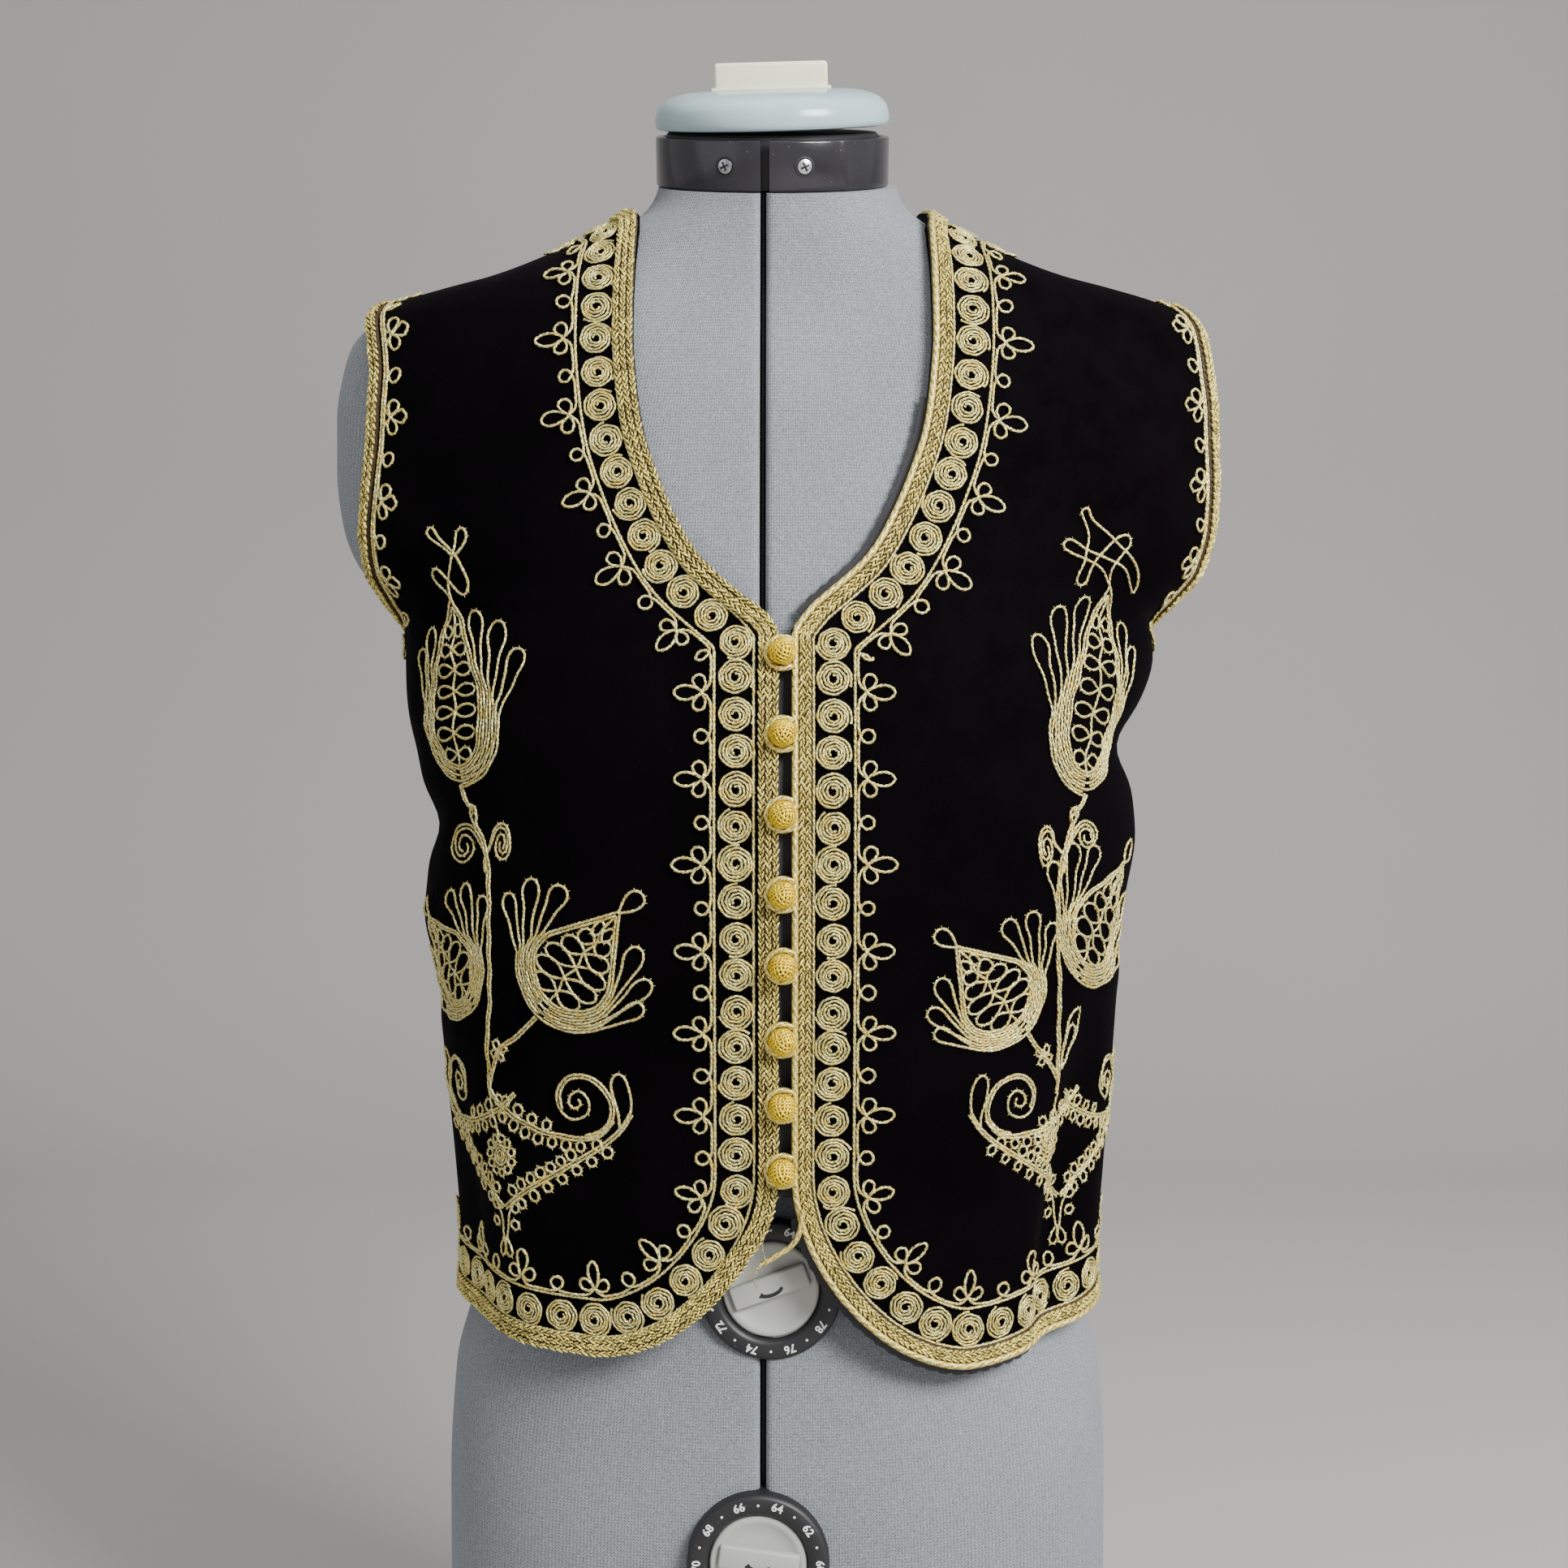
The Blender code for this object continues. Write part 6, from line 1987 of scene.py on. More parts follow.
HIGH_ARM = ((-7.7, 51), (-1, 45), (9, 40), (20, 36.2), (31, 34.6), (41, 34.4), (48, 37), (53, 43))
SPIRAL = (
    (41, 34.4), (48, 37), (53, 43), (53, 51), (48.5, 58), (40.5, 62), (32.5, 60.5), (28, 54), (29, 46.5), (35, 42.5),
    (41.5, 45), (42.5, 51), (38.5, 54.8), (34.2, 53), (33.6, 49.2), (36.4, 47.2), (38.8, 49.2), (37.6, 51.4),
)


@dataclass
class Wing:
    """One wing of the low scroll, drawn from its foot; its own X points to the wing's end."""

    foot: Point2
    hand: float
    stretch: float = 1.0
    size: float = 1.0

    def place(self, points: Any) -> Array:
        """Points of the wing's own frame in the plant's."""
        scaled = np.asarray(points, float) * (self.size * self.stretch, self.size)
        return framed(scaled, self.foot, (0.0, 1.0), self.hand)

    def draw(self, drawing: Drawing) -> None:
        """Lay the wing's doubled arms, its spiral, its hook and its rows of loops."""
        lower = smooth_path(LOW_ARM, 1.2)
        upper = smooth_path(HIGH_ARM, 1.2)
        for line in (lower, upper):
            for offset in (-0.68, 0.68):
                drawing.add(self.place(beside(line, offset)))
        drawing.add(self.place(smooth_path(HOOK, 1.2)))
        drawing.add(self.place(smooth_path(SPIRAL, 1.2)))
        drawing.add(self.place(beside(smooth_path(SPIRAL[:9], 1.2), 1.4)))
        self.loops(drawing, lower, 8.0, 10.0, 66.0, -1)
        self.loops(drawing, lower, 5.7, 9.0, 44.0, 1)
        self.loops(drawing, upper, 8.0, 10.0, 42.0, 1)
        self.loops(drawing, upper, 6.4, 12.0, 58.0, -1)

    def loops(self, drawing: Drawing, line: Array, pitch: float, start: float, end: float, side: int) -> None:
        """A row of round loops on one side of a line of the wing's own frame.

        Args:
            drawing: where they are laid.
            line: the line.
            pitch: distance between the loops.
            start: length along the line of the first one.
            end: length past which there are none.
            side: 1 for the line's left, -1 for its right.
        """
        run = run_length(line)
        along = np.gradient(line, axis=0)
        for number, at in enumerate(np.arange(start, min(end, run[-1]), pitch)):
            place, ahead = read_rows(at, run, line), unit(read_rows(at, run, along))
            left = np.array([-ahead[1], ahead[0]]) * side
            radius = 2.45 + 0.22 * uneven(number, pitch)
            ring = framed(circle_line(radius, (0.0, radius + 1.1)) * (0.90, 1.0), place, left)
            drawing.add(self.place(ring))


@dataclass
class Curl:
    """A spiral that springs from the stem."""

    centre: Point2
    radius: float
    wide: float
    hand: int

    def draw(self, drawing: Drawing, root: Array) -> None:
        """Lay the curl's two cords from its root."""
        for outer, turns in ((self.radius, 1.75), (self.radius - 1.3, 1.1)):
            coil = spiral_line(outer, outer * 0.22, turns, math.pi, -1.0)
            coil = coil * (self.hand * self.wide, 1.0) + np.array(self.centre)
            route = [root + (0, -9), root + (-self.hand * 0.3, -3)]
            drawing.add(smooth_path(np.concatenate([route, coil[2::3]]), 1.2))


@dataclass
class Plant:
    """A tall plant of tulips and scrolls: places are millimetres outwards from the start, and height."""

    top: Tulip
    knot: tuple[Sequence[Point2], Point2, float]
    bud: Point2
    curls: Sequence[Curl]
    stem: Sequence[Point2]
    sides: Sequence[Tulip]
    low_bud: Point2
    wings: Sequence[Wing]
    flower: Point2
    leaf: Optional[tuple[Point2, Point2]] = None

    def draw(self, drawing: Drawing) -> None:
        """Lay all the plant's cords."""
        self.top.draw(drawing)
        points, place, scale = self.knot
        drawing.add(framed(smooth_path(points, 1.2) * scale, place, (0, 1), -1.0))
        bud = np.array(self.bud)
        for length in (8.4, 5.6):
            drawing.add(framed(petal(length, length * 0.56), bud - (1.2, 4.0), (0.30, 1.0)))
        foot = np.array(self.top.foot) + unit(self.top.axis) * 1.5
        drawing.bundle(smooth_path([foot, (foot + bud) / 2 + (0.8, 0.0), bud + (0.6, 2.0)], 1.2), (-0.6, 0.6))
        stem = smooth_path([bud - (0.8, 3.0)] + list(self.stem), 1.3)
        drawing.bundle(stem, (-0.66, 0.66))
        for curl in self.curls:
            curl.draw(drawing, np.array(self.stem[0]))
        for tulip in self.sides:
            tulip.draw(drawing)
        self.draw_branch(drawing)
        for wing in self.wings:
            wing.draw(drawing)
        self.draw_flower(drawing)
        if self.leaf:
            start, end = (np.array(p) for p in self.leaf)
            reach = float(np.linalg.norm(end - start))
            for scale in (1.0, 0.72):
                drawing.add(framed(petal(reach * scale, 9.0 * scale), start, end - start))

    def draw_branch(self, drawing: Drawing) -> None:
        """The cords from the stem past the low bud to the inner tulip."""
        bud = np.array(self.low_bud)
        base = np.array(self.sides[0].foot) + unit(self.sides[0].axis) * 2.0
        root = np.array(self.stem[-1]) + (0, 6)
        middle = (bud + base) / 2 + (0, -1.2)
        drawing.bundle(smooth_path([root, bud, middle, base], 1.2), (-0.66, 0.66))
        for degrees in range(0, 360, 90):
            drawing.add(framed(petal(4.8, 3.2), bud, clockwise((0, 1), degrees + 25)))

    def draw_flower(self, drawing: Drawing) -> None:
        """The coiled flower ringed by loops, and the knot of loops below the wings."""
        centre = np.array(self.flower)
        drawing.add(centre + spiral_line(4.6, 0.8, 3.1, 0.4) * (0.95, 1.12))
        for turn in np.linspace(0, math.tau, 11, endpoint=False):
            out = np.array([math.cos(turn), math.sin(turn)])
            drawing.add(framed(circle_line(1.9, (0.0, 2.4)), centre + out * (4.6, 5.2), out))
        root = np.array(self.stem[-1])
        drawing.add(smooth_path([centre + (0, 8), (centre + root) / 2 + (1, 4), root], 1.2))
        foot = np.array(self.wings[0].foot)
        for side in (-1, 1):
            fall = [foot + (side * 7, 5), foot + (side * 3, -2), foot + (side * 0.7, -14)]
            drawing.add(smooth_path(fall, 1.2))
            drawing.add(framed(petal(9.0, 4.6), foot + (0, -13), clockwise((0, -1), side * 20)))
            for drop in (1.5, -6.0):
                ring = circle_line(2.2, (0, 3.0))
                drawing.add(framed(ring, foot + (side * 3.2, drop), (side * 1.0, -0.25)))


RIGHT_PLANT = Plant(
    top=slim_tulip((149.0, 523.5), (149.3, 606.0), 1.28),
    knot=(SLIM_KNOT, (149.0, 604.0), 1.0),
    bud=(140.5, 512.0),
    curls=(Curl((122.8, 500.5), 9.8, 0.62, -1), Curl((147.0, 498.5), 10.6, 1.22, 1)),
    stem=((131.8, 497.0), (129.8, 480.0), (130.5, 446.0), (132.8, 413.0), (132.2, 391.0)),
    sides=(
        wide_tulip((107.5, 426.0), (-0.64, 0.77), 1.0, 1.06, -1.0),
        wide_tulip((139.5, 427.0), (0.72, 0.69), 0.90, 1.12, 1.0),
    ),
    low_bud=(126.0, 411.3),
    wings=(Wing((124.5, 342.0), -1.0), Wing((125.5, 342.0), 1.0, 0.95)),
    flower=(126.9, 365.0),
)
LEFT_PLANT = Plant(
    top=slim_tulip((138.0, 519.5), (147.4, 612.5), 1.10, 1.12),
    knot=(BROAD_KNOT, (147.4, 612.0), 1.0),
    bud=(130.3, 511.5),
    curls=(Curl((114.3, 498.5), 10.8, 0.46, -1), Curl((137.6, 503.0), 7.4, 1.15, 1)),
    stem=((123.9, 497.0), (120.8, 480.0), (122.6, 446.0), (124.0, 408.0), (124.5, 392.0)),
    sides=(
        wide_tulip((108.0, 418.5), (-0.66, 0.75), 0.87, 1.12, -1.0),
        wide_tulip((131.5, 439.0), (0.60, 0.80), 1.02, 1.05, 1.0),
    ),
    low_bud=(115.5, 409.7),
    wings=(Wing((137.2, 343.0), -1.0, 0.98, 0.96), Wing((138.2, 343.0), 1.0, 0.80, 0.96)),
    flower=(120.0, 370.5),
    leaf=((126.0, 402.5), (137.0, 428.5)),
)
BACK_PLANT = Plant(
    top=slim_tulip((92.0, 523.5), (92.0, 605.0), 1.10),
    knot=(SLIM_KNOT, (92.0, 603.5), 1.0),
    bud=(90.5, 512.0),
    curls=(Curl((78.5, 499.0), 9.8, 0.80, -1), Curl((102.5, 499.0), 9.8, 0.90, 1)),
    stem=((89.5, 497.0), (89.0, 480.0), (88.5, 446.0), (88.0, 413.0), (88.0, 391.0)),
    sides=(
        wide_tulip((64.0, 426.0), (-0.62, 0.78), 0.94, 1.05, -1.0),
        wide_tulip((96.5, 427.0), (0.66, 0.75), 0.94, 1.05, 1.0),
    ),
    low_bud=(82.0, 411.3),
    wings=(Wing((87.5, 342.0), -1.0), Wing((88.5, 342.0), 1.0)),
    flower=(88.0, 365.0),
)


@dataclass
class Embroidery:
    """The plants on the fronts and on the back."""

    cord_radius: float = 0.00063

    def plant(self, name: str, start: float, hand: float, plant: Plant) -> None:
        """One plant on the cloth.

        Args:
            name: the piece's name.
            start: the angle from which the plant's places are measured.
            hand: 1 where they are measured to the wearer's left of it.
            plant: the plant.
        """
        work = CordWork(self.cord_radius, knobs=CORD_KNOBS)
        drawing = Drawing(FlatChart(start), work, hand)
        plant.draw(drawing)
        finished(work.build(name, CORD), CORD)
        if drawing.barbs.points:
            finished(drawing.barbs.build(name + "_picots", picot_piece(), CORD), CORD)

    def build(self) -> None:
        """Make the plants of both fronts and of the back."""
        front = math.asin(VEST_CENTRE_X / CLOSURE_REACH)
        self.plant("front_plant_right", front, -1.0, RIGHT_PLANT)
        self.plant("front_plant_left", front, 1.0, LEFT_PLANT)
        self.plant("back_plant_right", math.pi, 1.0, BACK_PLANT)
        self.plant("back_plant_left", math.pi, -1.0, BACK_PLANT)


def clockwise(vector: Any, degrees: float) -> Array:
    """A flat vector turned clockwise."""
    x, y = unit(vector)
    c, s = math.cos(math.radians(degrees)), math.sin(math.radians(degrees))
    return np.array([x * c + y * s, -x * s + y * c])


def picot_piece() -> Object:
    """One tiny thread point that stands up from a loop, with few faces."""
    work = bmesh.new()
    bmesh.ops.create_cone(work, cap_ends=True, segments=4, radius1=0.5, radius2=0.05, depth=1.0)
    bmesh.ops.rotate(work, matrix=Matrix.Rotation(math.radians(-90), 3, "X"), verts=work.verts)
    return new_object("picot", shaded(work, bpy.data.meshes.new("picot")))


# The lowest loop's cord and its loose ends in millimetres: from the centre line, height, distance out
TAIL_ROUTE = (
    (8.2, 349, 3.4), (7.9, 343, 3.8), (6.2, 337, 4.2), (3, 333, 4.4), (-1.5, 330, 4.4), (-6.2, 327, 4),
    (-9.5, 325, 3.4),
)
TAIL_THREADS = (
    ((-7, 327.2, 5), (-8.5, 334, 5.8), (-7.2, 339.5, 4.8)),
    ((-9.2, 325.2, 4.4), (-12, 320.5, 5.2), (-11.2, 315, 4)),
    ((-9, 325, 4.4), (-13.2, 322.2, 5), (-15.2, 318, 3.8)),
)


@dataclass
class Closure:
    """Ball buttons, their loops, the strip behind them and the lining that shows at the edge."""

    button_radius: float = 0.0054
    stand_off: float = 0.0063
    thread_radius: float = 0.00054
    loop_radius: float = 0.0067
    loop_cord: float = 0.00125
    underlap_half: float = 0.012
    tail_reach: float = 0.105

    @staticmethod
    def frame(height: float, out: float) -> tuple[Vector, Vector, Vector, Vector]:
        """A place on the closure's centre line, and the directions across, up and out."""
        angle = np.array(math.asin(VEST_CENTRE_X / CLOSURE_REACH))
        by_angle, _, normal = tangents(cloth_point, angle, np.array(height))
        place = Vector(cloth_point(angle, height)) + Vector(normal) * out
        across, outward = Vector(by_angle).normalized(), Vector(normal)
        return place, across, outward.cross(across).normalized(), outward

    def button(self, number: int, height: float) -> None:
        """One ball, wound with thread in crossing bands over a dark core that paints the shade between the threads.
        """
        place, across, up, out = self.frame(height, self.stand_off)
        turn = Matrix((across, up, out)).transposed().to_4x4()
        tilt = Matrix.Rotation(math.radians(17 * math.sin(number * 2.3)), 4, "Z")
        where = Matrix.Translation(place) @ turn @ tilt
        work = bmesh.new()
        bmesh.ops.create_uvsphere(work, u_segments=20, v_segments=14, radius=self.button_radius - 0.0006)
        bmesh.ops.transform(work, matrix=where, verts=work.verts)
        core = shaded(work, bpy.data.meshes.new(f"ball_core_{number}"))
        shown(core, BUTTON_SHADE_CORE, f"button_{number}")
        wound = CordWork(self.thread_radius, 5)
        t = np.linspace(0, math.tau, 31)
        for band in range(3):
            spin = Matrix.Rotation(band * math.tau / 3 + 0.2, 3, "Z")
            tip = np.array(spin @ Matrix.Rotation(math.radians(52), 3, "X"))
            weave = 1 + 0.070 * np.sin(3 * t + band * 2.1)
            for rise in 0.56 * np.linspace(-1, 1, 5):
                wide = math.sqrt(1 - rise**2)
                ring = np.stack([wide * np.cos(t), wide * np.sin(t), np.full_like(t, rise)], axis=1)
                points = (ring @ tip.T) * (self.button_radius - 0.0003) * weave[:, None]
                wound.add(transformed(points, where)[:-1], closed=True)
        finished(wound.build(f"ball_thread_{number}", BUTTON_THREAD), BUTTON_THREAD)

    def loop(self, number: int, height: float) -> None:
        """One loop of twisted cord, from the left front round the ball's neck."""
        place, across, up, _ = self.frame(height, 0.0034)
        work = CordWork(self.loop_cord, 6)
        r = self.loop_radius
        turns = np.linspace(-math.radians(128), math.radians(128), 26)
        work.add(np.array([place - across * (r * math.cos(t)) + up * (r * math.sin(t)) for t in turns]))
        finished(work.build(f"loop_cord_{number}", LOOP_CORD), LOOP_CORD, [f"button_loop_{number}"])

    def tail(self) -> None:
        """The lowest loop, which no button fills, with loose thread ends."""
        work = CordWork(self.loop_cord, 6)
        work.add(self.routed(TAIL_ROUTE, 1.2))
        finished(work.build("tail_cord", LOOP_CORD), LOOP_CORD, ["tail_loop"])
        ends = CordWork(0.00022)
        for route in TAIL_THREADS:
            ends.add(self.routed(route, 0.8))
        finished(ends.build("tail_threads", CORD), CORD)

    def routed(self, route: Sequence[Sequence[float]], step: float) -> Array:
        """A path through places in millimetres: from the centre line, in height and out from the cloth."""
        across, height, out = smooth_path(route, step).T * MM
        return on_cloth(np.arcsin((VEST_CENTRE_X + across) / self.tail_reach), height, out)

    def underlap(self) -> Object:
        """The satin strip behind the gap between the fronts."""
        heights = np.linspace(HEM_CORNER_TOP - 0.008, NECKLINE[0][1] - 0.014, 60)
        grid_x, grid_h = np.meshgrid(np.linspace(-1, 1, 9), heights)
        angle = np.arcsin((VEST_CENTRE_X + grid_x * self.underlap_half) / CLOSURE_REACH)
        ripple = 0.0003 * np.sin(grid_h * 160 + grid_x)
        top, under = (on_cloth(angle, grid_h, -(depth + ripple)) for depth in (0.0027, 0.0038))
        rings = np.concatenate([top, under[:, ::-1]], axis=1)
        return shown(swept("satin_underlap", rings, smooth_angle=50), LINING, "front_underlap")

    def lining_edges(self) -> list[Object]:
        """Black satin that shows past the left front's edge."""
        line = EdgeLine(whole_edge(1), 1)
        height = line.points[:, 1]
        made = []
        for name, low, high in (("hem", 0.2765, 0.345), ("neck", 0.596, 0.690)):
            inside = (height > low) & (height < high) & (np.abs(line.points[:, 0]) < math.radians(60))
            runs = line.run[inside]
            runs = np.linspace(runs[0], runs[-1], round((runs[-1] - runs[0]) / 0.002))
            scallop = 0.0011 * np.abs(np.sin(runs * math.pi / 0.0062))
            inner, outer = line.spots(runs, 0.0006), line.spots(runs, -(0.0022 + scallop))
            corners = ((inner, -0.0008), (inner, 0.0002), (outer, -0.0001), (outer, -0.0008))
            ring = np.stack([on_cloth(*spots, out) for spots, out in corners], axis=1)
            mesh = swept(f"lining_scallop_{name}", ring, smooth_angle=60)
            made.append(shown(mesh, LINING, f"lining_edge_{name}"))
        return made

    def build(self) -> tuple[Object, list[Object]]:
        """Make the closure; gives its strip and its lining edges."""
        for number, height in enumerate(BUTTON_HEIGHTS, 1):
            self.button(number, height)
            self.loop(number, height)
        self.tail()
        return self.underlap(), self.lining_edges()


# The dress form


@dataclass
class Torso:
    """The two padded halves of the form and the dark frame in the slit between them."""

    edge_round: float = 0.0032
    columns: int = 64
    slit_depth: float = 0.014

    def heights(self) -> Array:
        """Heights of the rings, closer where the form turns quickly."""
        low = np.linspace(0.0805, 0.56, 74, endpoint=False)
        return np.concatenate([[FORM_SECTIONS[0][0]], low, np.linspace(0.56, 0.83, 76)])

    def ring(self, side: int, height: float) -> Array:
        """One ring of a half: round its slit edges and over its surface."""
        edge = side * SLIT_X + SLIT_SHOWN / 2
        swing = np.linspace(0, math.pi / 2, 6)
        offsets = edge + self.edge_round * (1 - np.cos(swing))
        insets = self.edge_round * (1 - np.sin(swing))
        front_angle = np.arcsin(offsets / form_radius(np.zeros(6), np.full(6, height)))
        back_angle = math.pi - np.arcsin(offsets / form_radius(np.full(6, math.pi), np.full(6, height)))
        middle = np.linspace(front_angle[-1], back_angle[-1], self.columns)[1:-1]
        angles = side * np.concatenate([front_angle, middle, back_angle[::-1]])
        inset = np.concatenate([insets, np.zeros(len(middle)), insets[::-1]])
        heights = np.full_like(angles, height)
        points = surface_point(form_radius(angles, heights) - inset, angles, heights)
        points[:6, 0] = side * offsets
        points[-6:, 0] = side * offsets[::-1]
        return points

    def half(self, side: Side) -> Object:
        """One jersey-covered half."""
        rings = np.array([self.ring(side.value, h) for h in self.heights()])
        mesh = swept(f"jersey_half_{side.word}", rings, smooth_angle=50)
        self.cut_at_neck(mesh)
        self.measure(mesh, side.value)
        return shown(mesh, JERSEY, f"form_{side.word}")

    @staticmethod
    def cut_at_neck(mesh: Mesh) -> None:
        """Cut a solid off at the tilted plane on which the collar sits, and close it."""
        normal = Vector((0, -math.sin(NECK_TILT), math.cos(NECK_TILT)))
        point = Vector((0, 0, COLLAR_BASE_HEIGHT)) - normal * 0.0003
        work = bmesh.new()
        work.from_mesh(mesh)
        geometry = work.verts[:] + work.edges[:] + work.faces[:]
        bmesh.ops.bisect_plane(work, geom=geometry, plane_co=point, plane_no=normal, clear_outer=True)
        bmesh.ops.holes_fill(work, edges=[edge for edge in work.edges if edge.is_boundary])
        bmesh.ops.recalc_face_normals(work, faces=work.faces)
        shaded(work, mesh, 50)

    @staticmethod
    def measure(mesh: Mesh, side: int) -> None:
        """Store how far each point is round the form and up it, for the knit."""
        points = np.empty(len(mesh.vertices) * 3)
        mesh.vertices.foreach_get("co", points)
        points = points.reshape(-1, 3)
        turn = np.arctan2(points[:, 0] * side, -points[:, 1])
        store(mesh, "lay", np.stack([turn * 0.13, points[:, 2], np.zeros(len(points))], axis=1))

    def core(self) -> Object:
        """The dark frame between the halves."""
        half = SLIT_SHOWN / 2 - 0.0003
        rings = []
        for height in self.heights()[::2]:
            front = form_point(0.0, height)[1] + self.slit_depth * 0.55
            back = form_point(math.pi, height)[1] - self.slit_depth
            lip = front + 0.0012
            corners = ((-1, front), (-1 / 3, lip), (1 / 3, lip), (1, front), (1, back), (-1, back))
            rings.append([(SLIT_X + half * x, y, height) for x, y in corners])
        mesh = swept("slit_frame", np.array(rings))
        self.cut_at_neck(mesh)
        return shown(mesh, FRAME_BLACK, "form_core")

    def build(self) -> list[Object]:
        """Make both halves and the frame."""
        return [self.half(Side.RIGHT), self.half(Side.LEFT), self.core()]


@dataclass
class Dial:
    """An adjusting dial: a dark ring with marks and numbers round a pale hub with a keyhole slot."""

    name: str
    x: float
    height: float
    radius: float = 0.0305
    hub_radius: float = 0.0208
    depth: float = 0.016
    proud: float = 0.0050
    bar_angle: float = 20.0
    numbers: int = 10

    def place(self) -> Matrix:
        """The dial's frame: its Z points out of the front, from the middle of its depth."""
        radius = float(form_radius(np.array(math.atan(self.x / 0.09)), np.array(self.height)))
        face = -math.sqrt(radius**2 - self.x**2)
        return Matrix.Translation((self.x, face - self.proud + self.depth / 2, self.height)) @ FACE_FRONT

    def ring(self) -> None:
        """The dark ring with a chamfered rim and fine ribs on its edge."""
        half, outer, inner = self.depth / 2, self.radius, self.hub_radius + 0.0004
        rim = ((0, 0.0024), (0.0004, 0.0012), (0.0012, 0.0004), (0.0020, 0))
        bore = ((0.0026, 0), (0.0014, 0.0005), (0.0004, 0.0016), (0, 0.0030))
        profile = [(inner, -half), (outer, -half)] + [(outer - cut, half - drop) for cut, drop in rim]
        profile += [(inner + cut, half - drop) for cut, drop in bore] + [(inner, -half)]
        shown(lathe(f"{self.name}_outer", profile, 96, self.place()), RING_BLACK, f"{self.name}_ring")

    def hub(self) -> None:
        """The pale hub with its dished face, raised bar and curved slot, which is a black strip on the bar: painted
        shade of its depth.
        """
        top = self.depth / 2 - 0.0022
        r = self.hub_radius
        rim = ((0, 0.0010), (0.0004, 0.0003), (0.0012, 0), (0.0030, 0.0001), (0.0040, 0.0009))
        profile = [(0.0, -self.depth / 2), (r, -self.depth / 2)] + [(r - cut, top - drop) for cut, drop in rim]
        profile += [(r * 0.55, top - 0.0013), (0.0, top - 0.0013)]
        turn = self.place() @ Matrix.Rotation(math.radians(self.bar_angle), 4, "Z")
        disc = lathe("hub_disc", profile, 72, self.place())
        spot = turn @ Matrix.Translation((0, 0.0016, top))
        bar = rounded_box("hub_bar", (r * 1.66, 0.0102, 0.0046), 0.0012, spot)
        shown(joined_mesh(f"{self.name}_turning_hub", [disc, bar]), HUB_GREY, f"{self.name}_hub")
        # The slot is a thin black strip laid on the bar: painted shade where the slot would be deep.
        t = np.linspace(math.radians(200), math.radians(345), 22)
        middle = np.stack([0.0052 * np.cos(t), 0.0008 + 0.0026 * np.sin(t)], axis=1)
        wide = np.interp(np.linspace(0, 1, 22), (0, 0.15, 1), (0.0013, 0.0008, 0.0007))
        low, high = top + 0.0019, top + 0.00245
        right, left = beside(middle, -wide), beside(middle, wide)
        sides = ((right, low), (right, high), (left, high), (left, low))
        rings = np.stack([np.column_stack([line, np.full(22, z)]) for line, z in sides], axis=1)
        slot = swept(f"{self.name}_slot", rings)
        slot.transform(turn)
        shown(slot, RING_BLACK)

    def marks(self) -> None:
        """Pale dots and plain numbers on the ring."""
        half, count, place = self.depth / 2, self.numbers, self.place()
        middle = (self.hub_radius + self.radius) / 2 + 0.0006
        turns = np.arange(count) * math.tau / count
        between = turns + math.pi / count
        local = np.stack([middle * np.cos(between), middle * np.sin(between), np.full(count, half)], axis=1)
        normal = np.tile(np.array(place.to_3x3() @ Vector((0, 0, 1))), (count, 1))
        spots = transformed(local, place)
        pieces = SetPieces()
        pieces.add(spots, np.roll(spots, 1, axis=0) - spots, normal, (0.0011, 0.0011, 0.00020))
        work = bmesh.new()
        bmesh.ops.create_cone(work, cap_ends=True, segments=12, radius1=0.5, radius2=0.5, depth=1.0)
        mesh = bpy.data.meshes.new("dot")
        work.to_mesh(mesh)
        work.free()
        finished(pieces.build(f"{self.name}_dots", new_object("dot", mesh), MARK_WHITE), MARK_WHITE)
        meshes = [self.number(60 + 2 * n, turn, middle, half) for n, turn in enumerate(turns)]
        shown(joined_mesh(f"{self.name}_numbers", meshes), MARK_WHITE)

    def number(self, number: int, turn: float, radius: float, half: float) -> Mesh:
        """One plain number on the ring, its foot towards the hub."""
        text = bpy.data.curves.new("number", "FONT")
        text.body, text.resolution_u = str(number), 2
        text.size, text.extrude, text.offset = 0.0050, 0.00010, 0.00012
        text.align_x = text.align_y = "CENTER"
        obj = new_object("number", text)
        mesh = evaluated_mesh(obj)
        bpy.data.objects.remove(obj)
        bpy.data.curves.remove(text)
        spot = Matrix.Translation((radius * math.cos(turn), radius * math.sin(turn), half + 0.00004))
        mesh.transform(self.place() @ spot @ Matrix.Rotation(turn - math.pi / 2, 4, "Z"))
        return mesh

    def build(self) -> None:
        """Make the dial."""
        self.ring()
        self.hub()
        self.marks()


# Profiles: share of the radius, height in millimetres
SCREW_SEAT = ((0, -1.2), (1.22, -1.2), (1.22, 0.3), (1.02, 0.4), (1, -0.4), (0, -0.4))
SCREW_HEAD = ((0, -1), (0.96, -1), (0.96, 0.1), (0.86, 0.7), (0.6, 1.1), (0.3, 1.3), (0, 1.35))
CAP_PROFILE = (
    (0.93, 0), (0.975, 0.3), (0.995, 1.6), (1, 3.4), (0.994, 6.4), (0.97, 9.6),
    (0.915, 12.4), (0.82, 14.6), (0.68, 16), (0.45, 16.45), (0.2, 16.5), (0.02, 16.5),
)


